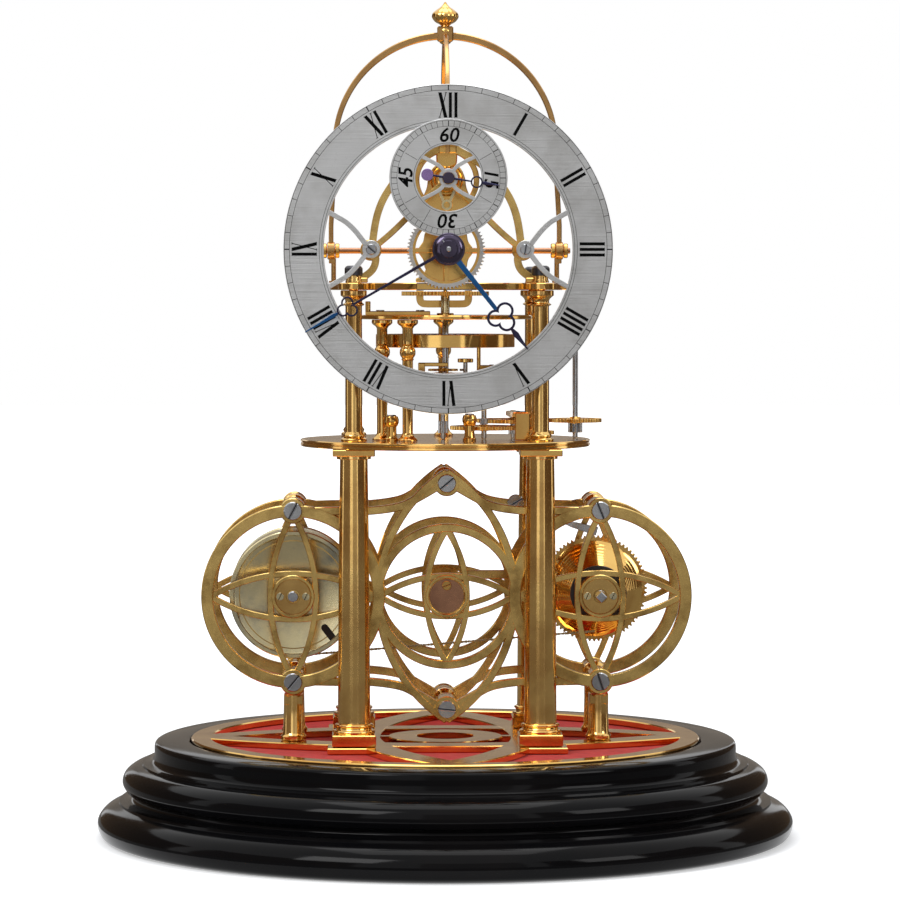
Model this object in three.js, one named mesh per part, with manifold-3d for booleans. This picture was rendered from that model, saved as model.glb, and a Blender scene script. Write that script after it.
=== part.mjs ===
// Skeleton clock: a detent escapement on pillars, a fusee movement below and a pierced dial in front.
// Millimetres, +Z up, the front faces -Y, and the origin is the bottom centre of the wooden base.

import * as THREE from "three";
import * as BufferGeometryUtils from "three/addons/utils/BufferGeometryUtils.js";
import Module from "manifold-3d";

const wasm = await Module();
wasm.setup();

// Clearances
const seat = 0.1;
const runGap = 0.35;
const meshGap = 0.35;
const sliver = 0.02;
const overcut = 1;
const lap = 0.5;

// Felt and base plate
const feltThick = 1.6;
const feltInset = 0.4;
const basePlateRadius = 101.8;
const basePlateThick = 2.8;
const basePlateRim = 8;
const starHalfWidth = 38;
const starBarWidth = 12;
const hubRadius = 23;
const hubHoleRadius = 11.5;
const hubBridgeWidth = 5;
const columnPadSide = 21;

// Wooden base: every ring of the moulding follows from the plate that lies in it
const baseHeight = 39;
const recessDepth = 3.6;
const recessClearance = 0.6;
const baseRimWidth = 14.2;
const baseNeckStep = 8.4;
const baseBeadStep = 4.5;
const baseBeadFall = 4;
const baseFootStep = 9;
const baseSkirtStep = 15;
const baseSkirtFall = 3.5;
const baseRiserHeight = 7.8;
const baseBeadHeight = 14.2;
const baseLipRound = 2;
const recessRadius = basePlateRadius + recessClearance;
const baseRiserRadius = recessRadius + baseRimWidth;
const baseNeckRadius = baseRiserRadius + baseNeckStep;
const baseBeadRadius = baseNeckRadius + baseBeadStep;
const baseFootRadius = baseNeckRadius + baseFootStep;
const baseRadius = baseNeckRadius + baseSkirtStep;
const baseRiserBottom = baseHeight - baseRiserHeight;
const baseNeckHeight = baseRiserBottom - baseBeadHeight;

// Barrel, fusee and chain
const barrelRadius = 25.5;
const barrelLength = 34;
const barrelRimWidth = 2;
const barrelCoverDepth = 1.2;
const barrelHubWidth = 4;
const barrelSlotDepth = 4;
const barrelArborRadius = 2.2;
const barrelCollarRadius = 5.5;
const arborShake = 0.4;
const arborProud = 1.2;
const fuseeLargeRadius = 19.6;
const fuseeSmallRadius = 10.5;
const fuseeLength = 27;
const fuseeGrooves = 6;
const fuseeGrooveDepth = 1.1;
const fuseeRimWidth = 0.8;
const fuseeCapStep = 2.4;
const fuseeArborRadius = 2.2;
const windingSquareSide = 3.4;
const windingSquareLength = 6;
const greatWheelLip = 2.1;
const greatWheelRadius = fuseeLargeRadius + greatWheelLip;
const greatWheelThick = 2.4;
const greatWheelSetback = 9;
const greatWheelTeeth = 36;
const greatToothDepth = 1.1;
const chainWidth = 2.2;
const chainThick = 1.3;
const chainPitch = 6;
const chainShare = 0.67;

// Lower movement frames
const frameSpacing = 46.4;
const frameThick = 4;
const sideRingX = 60.6;
const sideRingClearance = 5.9;
const sideRingWidth = 4.8;
const sideRingBore = barrelRadius + sideRingClearance;
const sideRingRadius = sideRingBore + sideRingWidth;
const sideBossHeight = sideRingBore + sideRingWidth / 2;
const topBossRise = 10.8;
const topBossHeight = sideBossHeight + topBossRise;
const centreRingRadius = 28.7;
const centreRingWidth = 3.3;
const centreRingBore = centreRingRadius - centreRingWidth;
const tallArchHalfWidth = 27;
const tallArchTip = 4.4;
const tallArchHalfHeight = topBossHeight + tallArchTip;
const archBarWidth = 3;
const ogeeBarWidth = 3.2;
const starBarThin = 2.3;
const starTipLap = 1.2;
const centreStarHalfWidth = 8;
const sideStarHalfWidth = 9;
const hubDiscRadius = 8.5;
const hubRimWidth = 1.6;
const hubRecessRadius = hubDiscRadius - hubRimWidth;
const hubRecessDepth = 1.4;
const pillarCollarRadius = 4.9;
const bossMargin = 0.2;
const bossRadius = pillarCollarRadius + bossMargin;
const studRadius = 1.8;
const screwHeadRadius = 3.7;
const screwHeadHeight = 1.6;
const pillarRadius = 2.9;
const pillarTaper = 1.5;
const legY = 15;
const legTopRadius = 4;
const legFootRadius = 5.2;
const legFootHeight = 1.6;
const legTopDrop = 1;
const legRingWidth = 0.9;
const legRingHeight = 0.8;
const legSaddleDepth = 8;
const collarLead = 4.5;
const underFrame = 8.2;
const overFrame = 8.6;
const movementHeight = underFrame + bossRadius + topBossHeight;

// Lower columns: they stand clear of the frames, and their height clears the frames' tops
const columnX = 36.6;
const columnSetback = 6.8;
const columnY = frameSpacing / 2 + frameThick + columnSetback;
const lowerColumnHeight = movementHeight + topBossHeight + bossRadius + overFrame;
const lowerShaftFootRadius = 6.4;
const lowerShaftTopRadius = 5.5;
const columnTorusRadius = 8;
const columnTorusHeight = 1.6;
const columnHollowRadius = 7;
const columnHollowHeight = 0.8;
const columnBeadRadius = 7.4;
const columnBeadHeight = 1.2;
const plinthSide = 17.2;
const plinthHeight = 4.5;
const abacusSide = 16.6;
const abacusHeight = 2.6;

// Contrate wheel and the upright arbor behind the right column
const contratePinionRadius = 2.4;
const contratePinionProud = 1;
const contrateRise = 5.3;
const contrateRadius = 9;
const contrateTeeth = 18;
const contrateToothDepth = 1;
const contrateRimWidth = 2.2;
const contrateRimDepth = 1.6;
const contrateDiscThick = 1.4;
const contrateDiscLap = 0.4;
const contrateBarReach = 4.6;
const contrateBarStart = 6;
const contrateBarHeight = 3.6;
const contrateEyeRadius = 3.2;
const trainArborRadius = 1.1;
const uprightPinionRadius = 2;
const uprightPinionHeight = 3;
const uprightPinionDip = 1.4;
const uprightY = 4;

// Escapement
const platformRadius = 22;
const platformThick = 1.6;
const platformLift = 24.4;
const platformArmWidth = 5;
const platformArmRoot = 3;
const platformEarWidth = 1.6;
const escapeArborX = -1;
const escapeArborY = -7.5;
const escapePinionRadius = 2.2;
const escapePinionLift = 2.4;
const escapePinionHeight = 5;
const escapePinionLeaves = 10;
const escapeTeeth = 15;
const escapeToothDepth = 1.7;
const escapeToothHook = 1.5;
const escapeLift = 1.2;
const escapeThick = 0.9;
const escapeCockLift = 3;
const escapeCockThick = 1.6;
const escapeCockReach = 10;
const escapeCockFoot = 2.8;
const escapeCockFootHalf = 3;
const escapeCockNose = 2;
const escapeCockArmHalf = 1.6;
const balanceRadius = 27.8;
const balanceRimWidth = 2;
const balanceRimHeight = 5.2;
const balanceRimGap = 1.6;
const balanceClearance = 10.6;
const balanceLift = platformLift + platformThick + balanceClearance;
const balanceStaffRadius = 1.2;
const balancePivotRadius = 0.6;
const balanceArmWidth = 4;
const balanceArmThick = 1.8;
const balanceArmDrop = 0.6;
const balanceWeightRadius = 2.3;
const springInnerRadius = 3.2;
const springOuterRadius = 12;
const springTurns = 5;
const springWire = 0.42;
const springLift = 1.2;
const springColletHeight = 2;
const springStudRadius = 0.8;
const springStudGap = 1.4;
const springStudProud = 0.6;
const detentX = 7.8;
const detentY = -9.5;
const detentArborRadius = 0.9;
const detentHubRadius = 3.2;
const detentHubLift = 4.6;
const detentHubHeight = 1.6;
const detentBladeWidth = 0.9;
const detentTipGap = 0.6;
const detentTipSide = 0.4;

// Upper train: each arbor stands where its wheel meets the next pinion
const wheelThick = 1.6;
const wheelToothDepth = 1;
const wheelRim = 1.6;
const wheelHub = 3.4;
const wheelArmWidth = 1.8;
const pinionLeaves = 8;
const leafShare = 0.35;
const pinionRadius = 1.9;
const pinionHeight = 2;
const thirdPinionRadius = 1.75;
const outerPinionRadius = 3;
const outerPinionHeight = 4;
const upperWheelLift = 6.2;
const lowerWheelLift = 3.8;
const driveWheelLift = 1.6;
const driveWheelRadius = 7.2;
const driveToothDepth = 0.9;
const thirdWheelRadius = 13.7;
const outerWheelRadius = 10.8;
const secondWheelTeeth = 30;
const thirdWheelTeeth = 30;
const outerWheelTeeth = 22;
const driveWheelTeeth = 16;
const secondArborY = 4.2;
const thirdArborY = -7.5;
const outerArborY = 9.8;
const contrateX = contratePlaceX();
const secondArborX = contrateX - meetingSpan(driveWheelRadius + pinionRadius, secondArborY - uprightY);
const thirdArborX = escapeArborX
  + meetingSpan(thirdWheelRadius + escapePinionRadius, thirdArborY - escapeArborY);
const secondWheelRadius = Math.hypot(secondArborX - thirdArborX, secondArborY - thirdArborY)
  - thirdPinionRadius - meshGap;
const outerArborX = secondArborX
  + meetingSpan(secondWheelRadius + outerWheelRadius, outerArborY - secondArborY);
const cockFootGap = 1.5;
const cockFootAngle = -38.8;
const cockFootDepth = 5;
const cockFootWidth = 6;
const cockArmLap = 4.5;
const cockArmSide = 2.8;
const cockArmEnd = 3;
const cockArmInset = 1;
const cockArmThick = 2.2;
const cockRoom = 1.1;
const thirdCockLift = 1.8;
const thirdCockThick = 1.8;
const thirdCockNose = 2;
const thirdCockReach = 4.5;
const thirdCockFoot = 2.5;
const thirdCockHalfWidth = 2.4;

// Plates of the upper movement
const outerArborMargin = 5.5;
const midPlateRadius = outerArborX + outerArborMargin;
const midPlateThick = 2.8;
const arborBossRadius = 2;
const arborBossDrop = 0.9;
const uprightBossRadius = 2.6;
const uprightBossDrop = 6;
const studHeadRadius = 3;
const rightStudX = 9;
const rightStudGap = 3.3;
const rightStudHeight = 10.8;
const leftStudX = -21.7;
const leftStudY = -25;
const leftStudHeight = 10.4;
const upperShaftRadius = 3.3;
const upperFootRadius = 5.2;
const upperFootHeight = 4.6;
const upperCapHeight = 6.2;
const upperRingWidth = 0.9;
const columnCollarTaper = 0.4;
const columnNutRadius = 3.6;
const columnNutHeight = 4;
const columnNutBevel = 0.6;
const columnCollarHeight = 2.7;
const columnRoot = 2.95;
const topPlateRadius = Math.hypot(columnX, columnY) - columnRoot;
const topPlateThick = 2.8;
const topPlateEar = 6.2;
const topSlotHalfWidth = 12;
const topSlotBack = 9;
const topArmHalfWidth = 3;
const topArmRoot = 8;
const subPlateRadius = 34.8;
const subPlateThick = 1.6;
const subPlateDrop = 10;
const subBridgeStart = 6;
const subBridgeInset = 2.8;
const subBridgeHalfWidth = 3;
const subBridgeThick = 1.6;
const subPinInset = 3.9;
const subPinHeight = 4;
const balanceHeadroom = 5.8;
const upperColumnHeight = balanceLift + balanceRimHeight + balanceHeadroom + subPlateThick + subPlateDrop;
const stirrupHalfWidth = 11.3;
const stirrupBar = 3;
const stirrupDepth = 4;
const stirrupDrop = 7;
const platePillarReach = 31.8;
const platePillarRadius = 2.2;
const platePillarBall = 3.2;
const platePillarFoot = 1.8;

// Crown wheel, motion work and hands
const crownRadius = 17.6;
const crownTeeth = 36;
const crownThick = 1.8;
const crownHub = 4;
const crownRim = 2;
const crownArmWidth = 2;
const crownGap = 0.5;
const crownArborRadius = 1.8;
const crownPivotRadius = 0.8;
const motionRadius = 15.6;
const motionTeeth = 32;
const motionRim = 1.8;
const motionHub = 3.6;
const motionToothDepth = 1.2;
const motionCollarRadius = 2.6;
const motionY = -17;
const motionArborBackY = -2.4;
const motionGap = 0.1;
const dialAxisHeight = motionRadius - topPlateThick + motionGap;
const motionCockBackY = -5;
const motionCockThick = 3;
const motionCockHalfWidth = 12;
const motionCockTop = 5;
const motionPipeRadius = 3;
const minuteArborRadius = 1;
const hourPipeRadius = 2.4;
const hourPipeDisc = 5.2;
const hourPipeDiscThick = 1.4;
const hourPipeReach = 6;
const minuteHandLength = 64;
const hourHandLength = 49.6;
const secondHandLength = 20;
const handThick = 0.9;
const handGap = 0.7;
const handRingRadius = 3;
const handRingWidth = 1.2;
const handRingShare = 0.66;
const handTipWidth = 0.5;
const hourShaftWidth = 2.4;
const hourTailWidth = 3.2;
const minuteShaftWidth = 1.6;
const minuteTailWidth = 2;
const secondsHandThick = 0.7;
const secondsRingRadius = 2.4;
const secondsRingWidth = 0.7;
const secondsTailRadius = 2.3;
const secondsTailLength = 8;
const secondsShaftWidth = 0.8;
const secondsTipWidth = 0.3;
const secondsArborRadius = 0.8;
const secondsPinionRadius = 2;
const secondsPinionHeight = 3;
const minuteAngle = 240;
const hourAngle = 140;
const secondAngle = 96;
const colletRadius = 5.4;
const minuteColletRadius = 4.6;
const minuteCapRadius = 3;
const minuteCapHeight = 1;

// Dials and their frame
const dialRadius = 63.9;
const dialBore = 48.1;
const dialThick = 1.6;
const dialBackY = -51.4;
const washerX = 29.8;
const washerRadius = 3.9;
const dialArmWidth = 2.2;
const dialScrewRadius = 2.1;
const dialScrewHeight = 1.2;
const dialPostRadius = 1.7;
const dialPostNeck = 1.2;
const secondsRise = 27.5;
const secondsRadius = 22.9;
const secondsBore = 12.8;
const secondsLift = 0.5;
const secondsBossRadius = 3.5;
const secondsArmWidth = 2;
const secondsPostRadius = 1;
const secondsPostShare = 0.584;
const secondsPostRise = 0.735;
const dialFrameBackY = -24;
const dialFrameThick = 3;
const dialFrameBar = 3.4;
const dialFrameInnerBar = 2.6;
const dialFrameTip = 14;
const dialFrameRing = 6;
const dialFrameRingBore = 3;
const dialFrameDisc = 4;
const dialFootShare = 1.174;
const dialFootSide = 8;
const dialFootHeight = 2;
const dialFootFlange = 1;
const dialBeamHalfWidth = 3.5;
const dialBeamHeight = 6;
const dialBeamDrop = 4;
const dialBeamInset = 2;

// Hoops, cross rod and finial
const hoopInset = 3;
const hoopRadius = topPlateRadius - hoopInset;
const hoopFootFlare = 1.6;
const hoopFootX = hoopRadius + hoopFootFlare;
const hoopShoulder = 14;
const hoopRise = dialAxisHeight + secondsRise + hoopShoulder;
const hoopBar = 3;
const hoopPostRadius = 1;
const hoopPostInset = 2.4;
const hoopLugDrop = 1.4;
const hoopLugRise = 1.2;
const hoopLugHalfWidth = 1;
const rodRadius = 1.2;
const rodNutRadius = 3;
const rodNutWidth = 1.8;
const rodEndProud = 1;
const hoopEyeRadius = 3.6;
const finialRadius = 5.4;
const finialHeight = 12;
const finialFlutes = 8;
const finialFluteDepth = 0.05;
const finialStudRadius = 0.9;
const finialNeckRadius = 2.8;
const finialWaistRadius = 1.8;
const finialTipRadius = 0.3;
const finialButtonRadius = 2.6;
const finialButtonHeight = 1.4;

// Facets
const fineRound = 28;
const ringRound = 18;
const midRound = 10;
const smallRound = 8;
const tinyRound = 6;
const archSteps = 3;
const hoopSteps = 16;
const braceSteps = 3;
const springSteps = 8;

// How far across two wheels' axes are when they mesh and are this far apart in depth.
function meetingSpan(radii, offset) {
  return Math.sqrt((radii + meshGap) ** 2 - offset ** 2);
}

function contratePlaceX() {
  const reach = greatWheelRadius + contratePinionRadius + meshGap;
  return sideRingX - Math.sqrt(reach ** 2 - contrateRise ** 2);
}

// Heights that follow from the sizes above
const recessFloor = baseHeight - recessDepth;
const feltBottom = recessFloor + seat;
const basePlateBottom = feltBottom + feltThick + seat;
const basePlateTop = basePlateBottom + basePlateThick;
const movementZ = basePlateTop + movementHeight;
const midPlateBottom = basePlateTop + seat + lowerColumnHeight + seat;
const midPlateTop = midPlateBottom + midPlateThick;
const topPlateBottom = midPlateTop + seat + upperColumnHeight + seat;
const topPlateTop = topPlateBottom + topPlateThick;
const subPlateTop = topPlateBottom - subPlateDrop;
const subPlateBottom = subPlateTop - subPlateThick;
const platformBottom = midPlateTop + platformLift;
const platformTop = platformBottom + platformThick;
const dialAxisZ = topPlateTop + dialAxisHeight;
const secondsAxisZ = dialAxisZ + secondsRise;
const dialFrontY = dialBackY - dialThick;
const secondsFrontY = dialFrontY - secondsLift - dialThick;
const dialFrameFrontY = dialFrameBackY - dialFrameThick;
const dialFrameTop = secondsRise + dialFrameTip;
const secondsHandBackY = secondsFrontY - handGap;
const hourHandBackY = secondsHandBackY - secondsHandThick - handGap;
const minuteHandBackY = hourHandBackY - handThick - handGap;
const minuteHandFrontY = minuteHandBackY - handThick - minuteCapHeight;
const frameInnerY = frameSpacing / 2;
const frameOuterY = frameInnerY + frameThick;
const greatWheelFrontY = frameInnerY - greatWheelSetback;
const fuseeConeFrontY = greatWheelFrontY - seat - fuseeLength;
const balanceBottom = midPlateTop + balanceLift;
const balanceTop = balanceBottom + balanceRimHeight;
const escapeWheelRadius = Math.hypot(escapeArborX, escapeArborY) - balanceStaffRadius - runGap;
const springZ = balanceBottom + springLift;

// Materials
function metal(color, roughness) {
  return new THREE.MeshStandardMaterial({ color, roughness, metalness: 1 });
}

const polishedBrass = metal(0xd9a441, 0.18);
const satinBrass = metal(0xb08a45, 0.38);
const paleBrass = metal(0xcdbb85, 0.35);
const polishedSteel = metal(0x9aa0a8, 0.2);
const darkSteel = metal(0x3b3f49, 0.3);
const bluedSteel = metal(0x223a7a, 0.22);
const silveredBrass = metal(0xb9bcc0, 0.45);
const copperRod = metal(0xb5653a, 0.28);
const blackLacquer = new THREE.MeshStandardMaterial({ color: 0x0b0a0a, roughness: 0.12, metalness: 0 });
const redFelt = new THREE.MeshStandardMaterial({ color: 0x8c1d1f, roughness: 0.95, metalness: 0 });

const clock = new THREE.Group();

function addPiece(name, solid, material) {
  const mesh = new THREE.Mesh(toGeometry(solid), material.clone());
  mesh.name = name;
  clock.add(mesh);
}

// A closed geometry becomes a solid, and a solid a geometry again.
function toSolid(geometry) {
  const bare = new THREE.BufferGeometry();
  bare.setAttribute("position", geometry.getAttribute("position"));
  bare.setIndex(geometry.getIndex());
  const welded = BufferGeometryUtils.mergeVertices(bare, 1e-4);
  const corners = welded.getIndex().array;
  const faces = [];
  for (let i = 0; i < corners.length; i += 3) {
    const [a, b, c] = [corners[i], corners[i + 1], corners[i + 2]];
    if (a !== b && b !== c && c !== a) {
      faces.push(a, b, c);
    }
  }
  return new wasm.Manifold(new wasm.Mesh({
    numProp: 3,
    vertProperties: new Float32Array(welded.getAttribute("position").array),
    triVerts: new Uint32Array(faces),
  }));
}

function toGeometry(solid) {
  const mesh = solid.getMesh();
  const geometry = new THREE.BufferGeometry();
  geometry.setAttribute("position", new THREE.BufferAttribute(mesh.vertProperties, 3));
  geometry.setIndex(new THREE.BufferAttribute(mesh.triVerts, 1));
  geometry.computeVertexNormals();
  return geometry;
}

// Flat faces of what was joined grow together, and slivers below the tolerance close up.
function merged(solid) {
  return solid.asOriginal().setTolerance(sliver);
}

function join(solids) {
  return merged(solids.reduce((whole, piece) => whole.add(piece)));
}

function cut(solid, tools) {
  return merged(tools.reduce((whole, tool) => whole.subtract(tool), solid));
}

// Basic solids, each placed by its real limits.
function box(x0, x1, y0, y1, z0, z1) {
  const geometry = new THREE.BoxGeometry(x1 - x0, y1 - y0, z1 - z0);
  geometry.translate((x0 + x1) / 2, (y0 + y1) / 2, (z0 + z1) / 2);
  return toSolid(geometry);
}

function uprightRod(radius, z0, z1, x, y, facets = smallRound) {
  const geometry = new THREE.CylinderGeometry(radius, radius, z1 - z0, facets);
  geometry.rotateX(Math.PI / 2);
  geometry.translate(x, y, (z0 + z1) / 2);
  return toSolid(geometry);
}

function depthRod(radius, y0, y1, x, z, facets = smallRound) {
  const geometry = new THREE.CylinderGeometry(radius, radius, y1 - y0, facets);
  geometry.translate(x, (y0 + y1) / 2, z);
  return toSolid(geometry);
}

function sideRod(radius, x0, x1, y, z, facets = smallRound) {
  const geometry = new THREE.CylinderGeometry(radius, radius, x1 - x0, facets);
  geometry.rotateZ(Math.PI / 2);
  geometry.translate((x0 + x1) / 2, y, z);
  return toSolid(geometry);
}

// Round holes: the flats of the faceted hole, not its corners, lie at the given radius.
function roundedOut(radius, facets) {
  return radius / Math.cos(Math.PI / facets);
}

function uprightHole(radius, z0, z1, x, y, facets = smallRound) {
  return uprightRod(roundedOut(radius, facets), z0, z1, x, y, facets);
}

function depthHole(radius, y0, y1, x, z, facets = smallRound) {
  return depthRod(roundedOut(radius, facets), y0, y1, x, z, facets);
}

function sideHole(radius, x0, x1, y, z, facets = smallRound) {
  return sideRod(roundedOut(radius, facets), x0, x1, y, z, facets);
}

// A profile of [radius, height] pairs, from the axis at the bottom to the axis at the top.
function turned(profile, facets) {
  return new THREE.LatheGeometry(profile.map(([r, h]) => new THREE.Vector2(r, h)), facets);
}

function turnedUpright(profile, x, y, facets = smallRound) {
  const geometry = turned(profile, facets);
  geometry.rotateX(Math.PI / 2);
  geometry.translate(x, y, 0);
  return toSolid(geometry);
}

function turnedAlongDepth(profile, x, z, facets = smallRound) {
  const geometry = turned(profile, facets);
  geometry.translate(x, 0, z);
  return toSolid(geometry);
}

// Flat work: a shape lies in X and Y with its thickness in Z, or stands in X and Z with its thickness in Y.
function flatPlate(shape, z0, z1) {
  const geometry = new THREE.ExtrudeGeometry(shape, { depth: z1 - z0, bevelEnabled: false });
  geometry.translate(0, 0, z0);
  return toSolid(geometry);
}

function standingPlates(shapes, y0, y1) {
  const flat = join(shapes.map((shape) => flatPlate(shape, 0, y1 - y0)));
  return flat.rotate([90, 0, 0]).translate([0, y1, 0]);
}

function standingPlate(shape, y0, y1) {
  return standingPlates([shape], y0, y1);
}

function polar(radius, angle, cx = 0, cy = 0) {
  return new THREE.Vector2(cx + radius * Math.cos(angle), cy + radius * Math.sin(angle));
}

function circlePoints(radius, facets, cx = 0, cy = 0) {
  const points = [];
  for (let i = 0; i < facets; i += 1) {
    points.push(polar(radius, (i / facets) * 2 * Math.PI, cx, cy));
  }
  return points;
}

function discShape(radius, facets, cx = 0, cy = 0) {
  return new THREE.Shape(circlePoints(radius, facets, cx, cy));
}

function ringShape(outer, inner, facets, cx = 0, cy = 0) {
  const shape = discShape(outer, facets, cx, cy);
  shape.holes.push(new THREE.Path(circlePoints(inner, facets, cx, cy)));
  return shape;
}

// A bar of even width along a line of points.
function barShape(points, width) {
  const left = [];
  const right = [];
  points.forEach((point, i) => {
    const before = points[Math.max(i - 1, 0)];
    const after = points[Math.min(i + 1, points.length - 1)];
    const along = after.clone().sub(before).normalize();
    const side = new THREE.Vector2(-along.y, along.x).multiplyScalar(width / 2);
    left.push(point.clone().add(side));
    right.unshift(point.clone().sub(side));
  });
  return new THREE.Shape(left.concat(right));
}

function smoothBar(points, width, steps) {
  const line = new THREE.SplineCurve(points.map(([x, y]) => new THREE.Vector2(x, y)));
  return barShape(line.getPoints(steps), width);
}

function mirrored(points) {
  return points.map(([x, y]) => [-x, y]);
}

// One side of a pointed arch: an arc that starts and ends on the long axis.
function archSide(halfWidth, halfHeight, side, vertical, steps, cx, cy) {
  const radius = (halfWidth ** 2 + halfHeight ** 2) / (2 * halfWidth);
  const spread = Math.asin(halfHeight / radius);
  const points = [];
  for (let i = 0; i <= steps; i += 1) {
    const angle = spread * (2 * (i / steps) - 1);
    const across = side * (radius * Math.cos(angle) - radius + halfWidth);
    const along = radius * Math.sin(angle);
    points.push(vertical
      ? new THREE.Vector2(cx + across, cy + along)
      : new THREE.Vector2(cx + along, cy + across));
  }
  return points;
}

// Two crossed pointed arches make a star with four tips.
function starShapes(halfWidth, halfHeight, width, steps, cx = 0, cy = 0) {
  const shapes = [];
  for (const vertical of [true, false]) {
    for (const side of [-1, 1]) {
      shapes.push(barShape(archSide(halfWidth, halfHeight, side, vertical, steps, cx, cy), width));
    }
  }
  return shapes;
}

// A toothed rim: each tooth has a root point and a tip point, like a fine clock wheel's pointed teeth.
function toothedPoints(radius, teeth, depth) {
  const points = [];
  for (let i = 0; i < teeth; i += 1) {
    const pitch = (2 * Math.PI) / teeth;
    points.push(polar(radius - depth, (i - 0.5) * pitch), polar(radius, i * pitch));
  }
  return points;
}

// Openings between the arms of a wheel, as ring sectors.
function crossings(inner, outer, arms, armWidth) {
  const paths = [];
  for (let i = 0; i < arms; i += 1) {
    const middle = ((i + 0.5) / arms) * 2 * Math.PI;
    const points = [];
    const outerHalf = Math.PI / arms - armWidth / 2 / outer;
    const innerHalf = Math.PI / arms - armWidth / 2 / inner;
    for (let k = -1; k <= 1; k += 1) {
      points.push(polar(outer, middle + k * outerHalf));
    }
    points.push(polar(inner, middle + innerHalf), polar(inner, middle - innerHalf));
    paths.push(new THREE.Path(points));
  }
  return paths;
}

function wheelShape({ radius, teeth, toothDepth, rim, hub, arms, armWidth }) {
  const shape = new THREE.Shape(toothedPoints(radius, teeth, toothDepth));
  if (arms) {
    shape.holes.push(...crossings(hub, radius - toothDepth - rim, arms, armWidth));
  }
  return shape;
}

function flatWheel(spec, z0, z1, x, y) {
  return flatPlate(wheelShape(spec), z0, z1).translate([x, y, 0]);
}

function standingWheel(spec, y0, y1, x, z) {
  return standingPlate(wheelShape(spec), y0, y1).translate([x, 0, z]);
}

function flatPinion(radius, leaves, z0, z1, x, y) {
  const shape = new THREE.Shape(toothedPoints(radius, leaves, radius * leafShare));
  return flatPlate(shape, z0, z1).translate([x, y, 0]);
}

// Base: a turned wooden moulding with a recess for the felt and the brass plate.
function makeBase() {
  const foot = new THREE.SplineCurve([
    new THREE.Vector2(baseFootRadius, 0),
    new THREE.Vector2(baseRadius, baseNeckHeight * 0.3),
    new THREE.Vector2(baseRadius - baseSkirtFall, baseNeckHeight * 0.68),
    new THREE.Vector2(baseNeckRadius, baseNeckHeight),
  ]).getPoints(4);
  const bead = new THREE.SplineCurve([
    new THREE.Vector2(baseNeckRadius, baseNeckHeight),
    new THREE.Vector2(baseBeadRadius, baseNeckHeight + baseBeadHeight * 0.38),
    new THREE.Vector2(baseBeadRadius - baseBeadFall, baseNeckHeight + baseBeadHeight * 0.76),
    new THREE.Vector2(baseRiserRadius, baseRiserBottom),
  ]).getPoints(3).slice(1);
  const profile = [[0, 0]];
  for (const point of foot.concat(bead)) {
    profile.push([point.x, point.y]);
  }
  profile.push([baseRiserRadius, baseHeight - baseLipRound]);
  profile.push([baseRiserRadius - baseLipRound, baseHeight]);
  profile.push([recessRadius, baseHeight], [recessRadius, recessFloor], [0, recessFloor]);
  addPiece("wood_base", turnedUpright(profile, 0, 0, fineRound), blackLacquer);

  const felt = uprightRod(basePlateRadius - feltInset, feltBottom, feltBottom + feltThick, 0, 0, fineRound);
  addPiece("felt_disc", felt, redFelt);
}

function makeBasePlate() {
  const inner = basePlateRadius - basePlateRim;
  const shapes = starShapes(starHalfWidth - starBarWidth / 2, inner, starBarWidth, archSteps + 1);
  shapes.push(ringShape(basePlateRadius, inner, fineRound));
  shapes.push(ringShape(hubRadius, hubHoleRadius, midRound));
  const parts = shapes.map((shape) => flatPlate(shape, basePlateBottom, basePlateTop));
  const half = columnPadSide / 2;
  for (const sx of [-1, 1]) {
    for (const sy of [-1, 1]) {
      const x = sx * columnX;
      const y = sy * columnY;
      parts.push(box(x - half, x + half, y - half, y + half, basePlateBottom, basePlateTop));
    }
  }
  const bridge = starHalfWidth - starBarWidth / 2;
  parts.push(box(-bridge, bridge, -hubBridgeWidth / 2, hubBridgeWidth / 2, basePlateBottom, basePlateTop));
  const low = basePlateBottom - overcut;
  const high = basePlateTop + overcut;
  const plate = join(parts).intersect(uprightRod(basePlateRadius, low, high, 0, 0, fineRound));
  const hole = uprightHole(hubHoleRadius, low, high, 0, 0, midRound);
  addPiece("base_plate", cut(plate, [hole]), polishedBrass);
}

// Lower columns: plinth, turned foot, tapered shaft and square abacus.
function makeLowerColumn(name, x, y) {
  const bottom = basePlateTop + seat;
  const top = bottom + lowerColumnHeight;
  const plinthTop = bottom + plinthHeight;
  const abacusBottom = top - abacusHeight;
  const plinth = plinthSide / 2;
  const abacus = abacusSide / 2;
  const hollow = plinthTop + columnTorusHeight + columnHollowHeight;
  const shaft = turnedUpright([
    [0, plinthTop - lap],
    [columnTorusRadius, plinthTop - lap],
    [columnTorusRadius, plinthTop + columnTorusHeight],
    [columnHollowRadius, hollow],
    [columnBeadRadius, hollow + columnBeadHeight],
    [lowerShaftFootRadius, hollow + 2 * columnBeadHeight],
    [lowerShaftTopRadius, abacusBottom + lap],
    [0, abacusBottom + lap],
  ], x, y, smallRound);
  const column = join([
    box(x - plinth, x + plinth, y - plinth, y + plinth, bottom, plinthTop),
    shaft,
    box(x - abacus, x + abacus, y - abacus, y + abacus, abacusBottom, top),
  ]);
  addPiece(name, column, polishedBrass);
}

// Short tapered legs: each is saddled under a lower frame pillar.
function makeLeg(name, x, y) {
  const bottom = basePlateTop + seat;
  const pillarZ = movementZ - sideBossHeight;
  const top = pillarZ - legTopDrop;
  const leg = turnedUpright([
    [0, bottom],
    [legFootRadius, bottom],
    [legFootRadius, bottom + legFootHeight],
    [legTopRadius + legRingWidth, bottom + legFootHeight + legRingHeight],
    [legTopRadius, top],
    [0, top],
  ], x, y, smallRound);
  const reach = legSaddleDepth;
  const saddle = depthHole(pillarCollarRadius + seat, y - reach, y + reach, x, pillarZ, midRound);
  addPiece(name, cut(leg, [saddle]), satinBrass);
}

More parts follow.
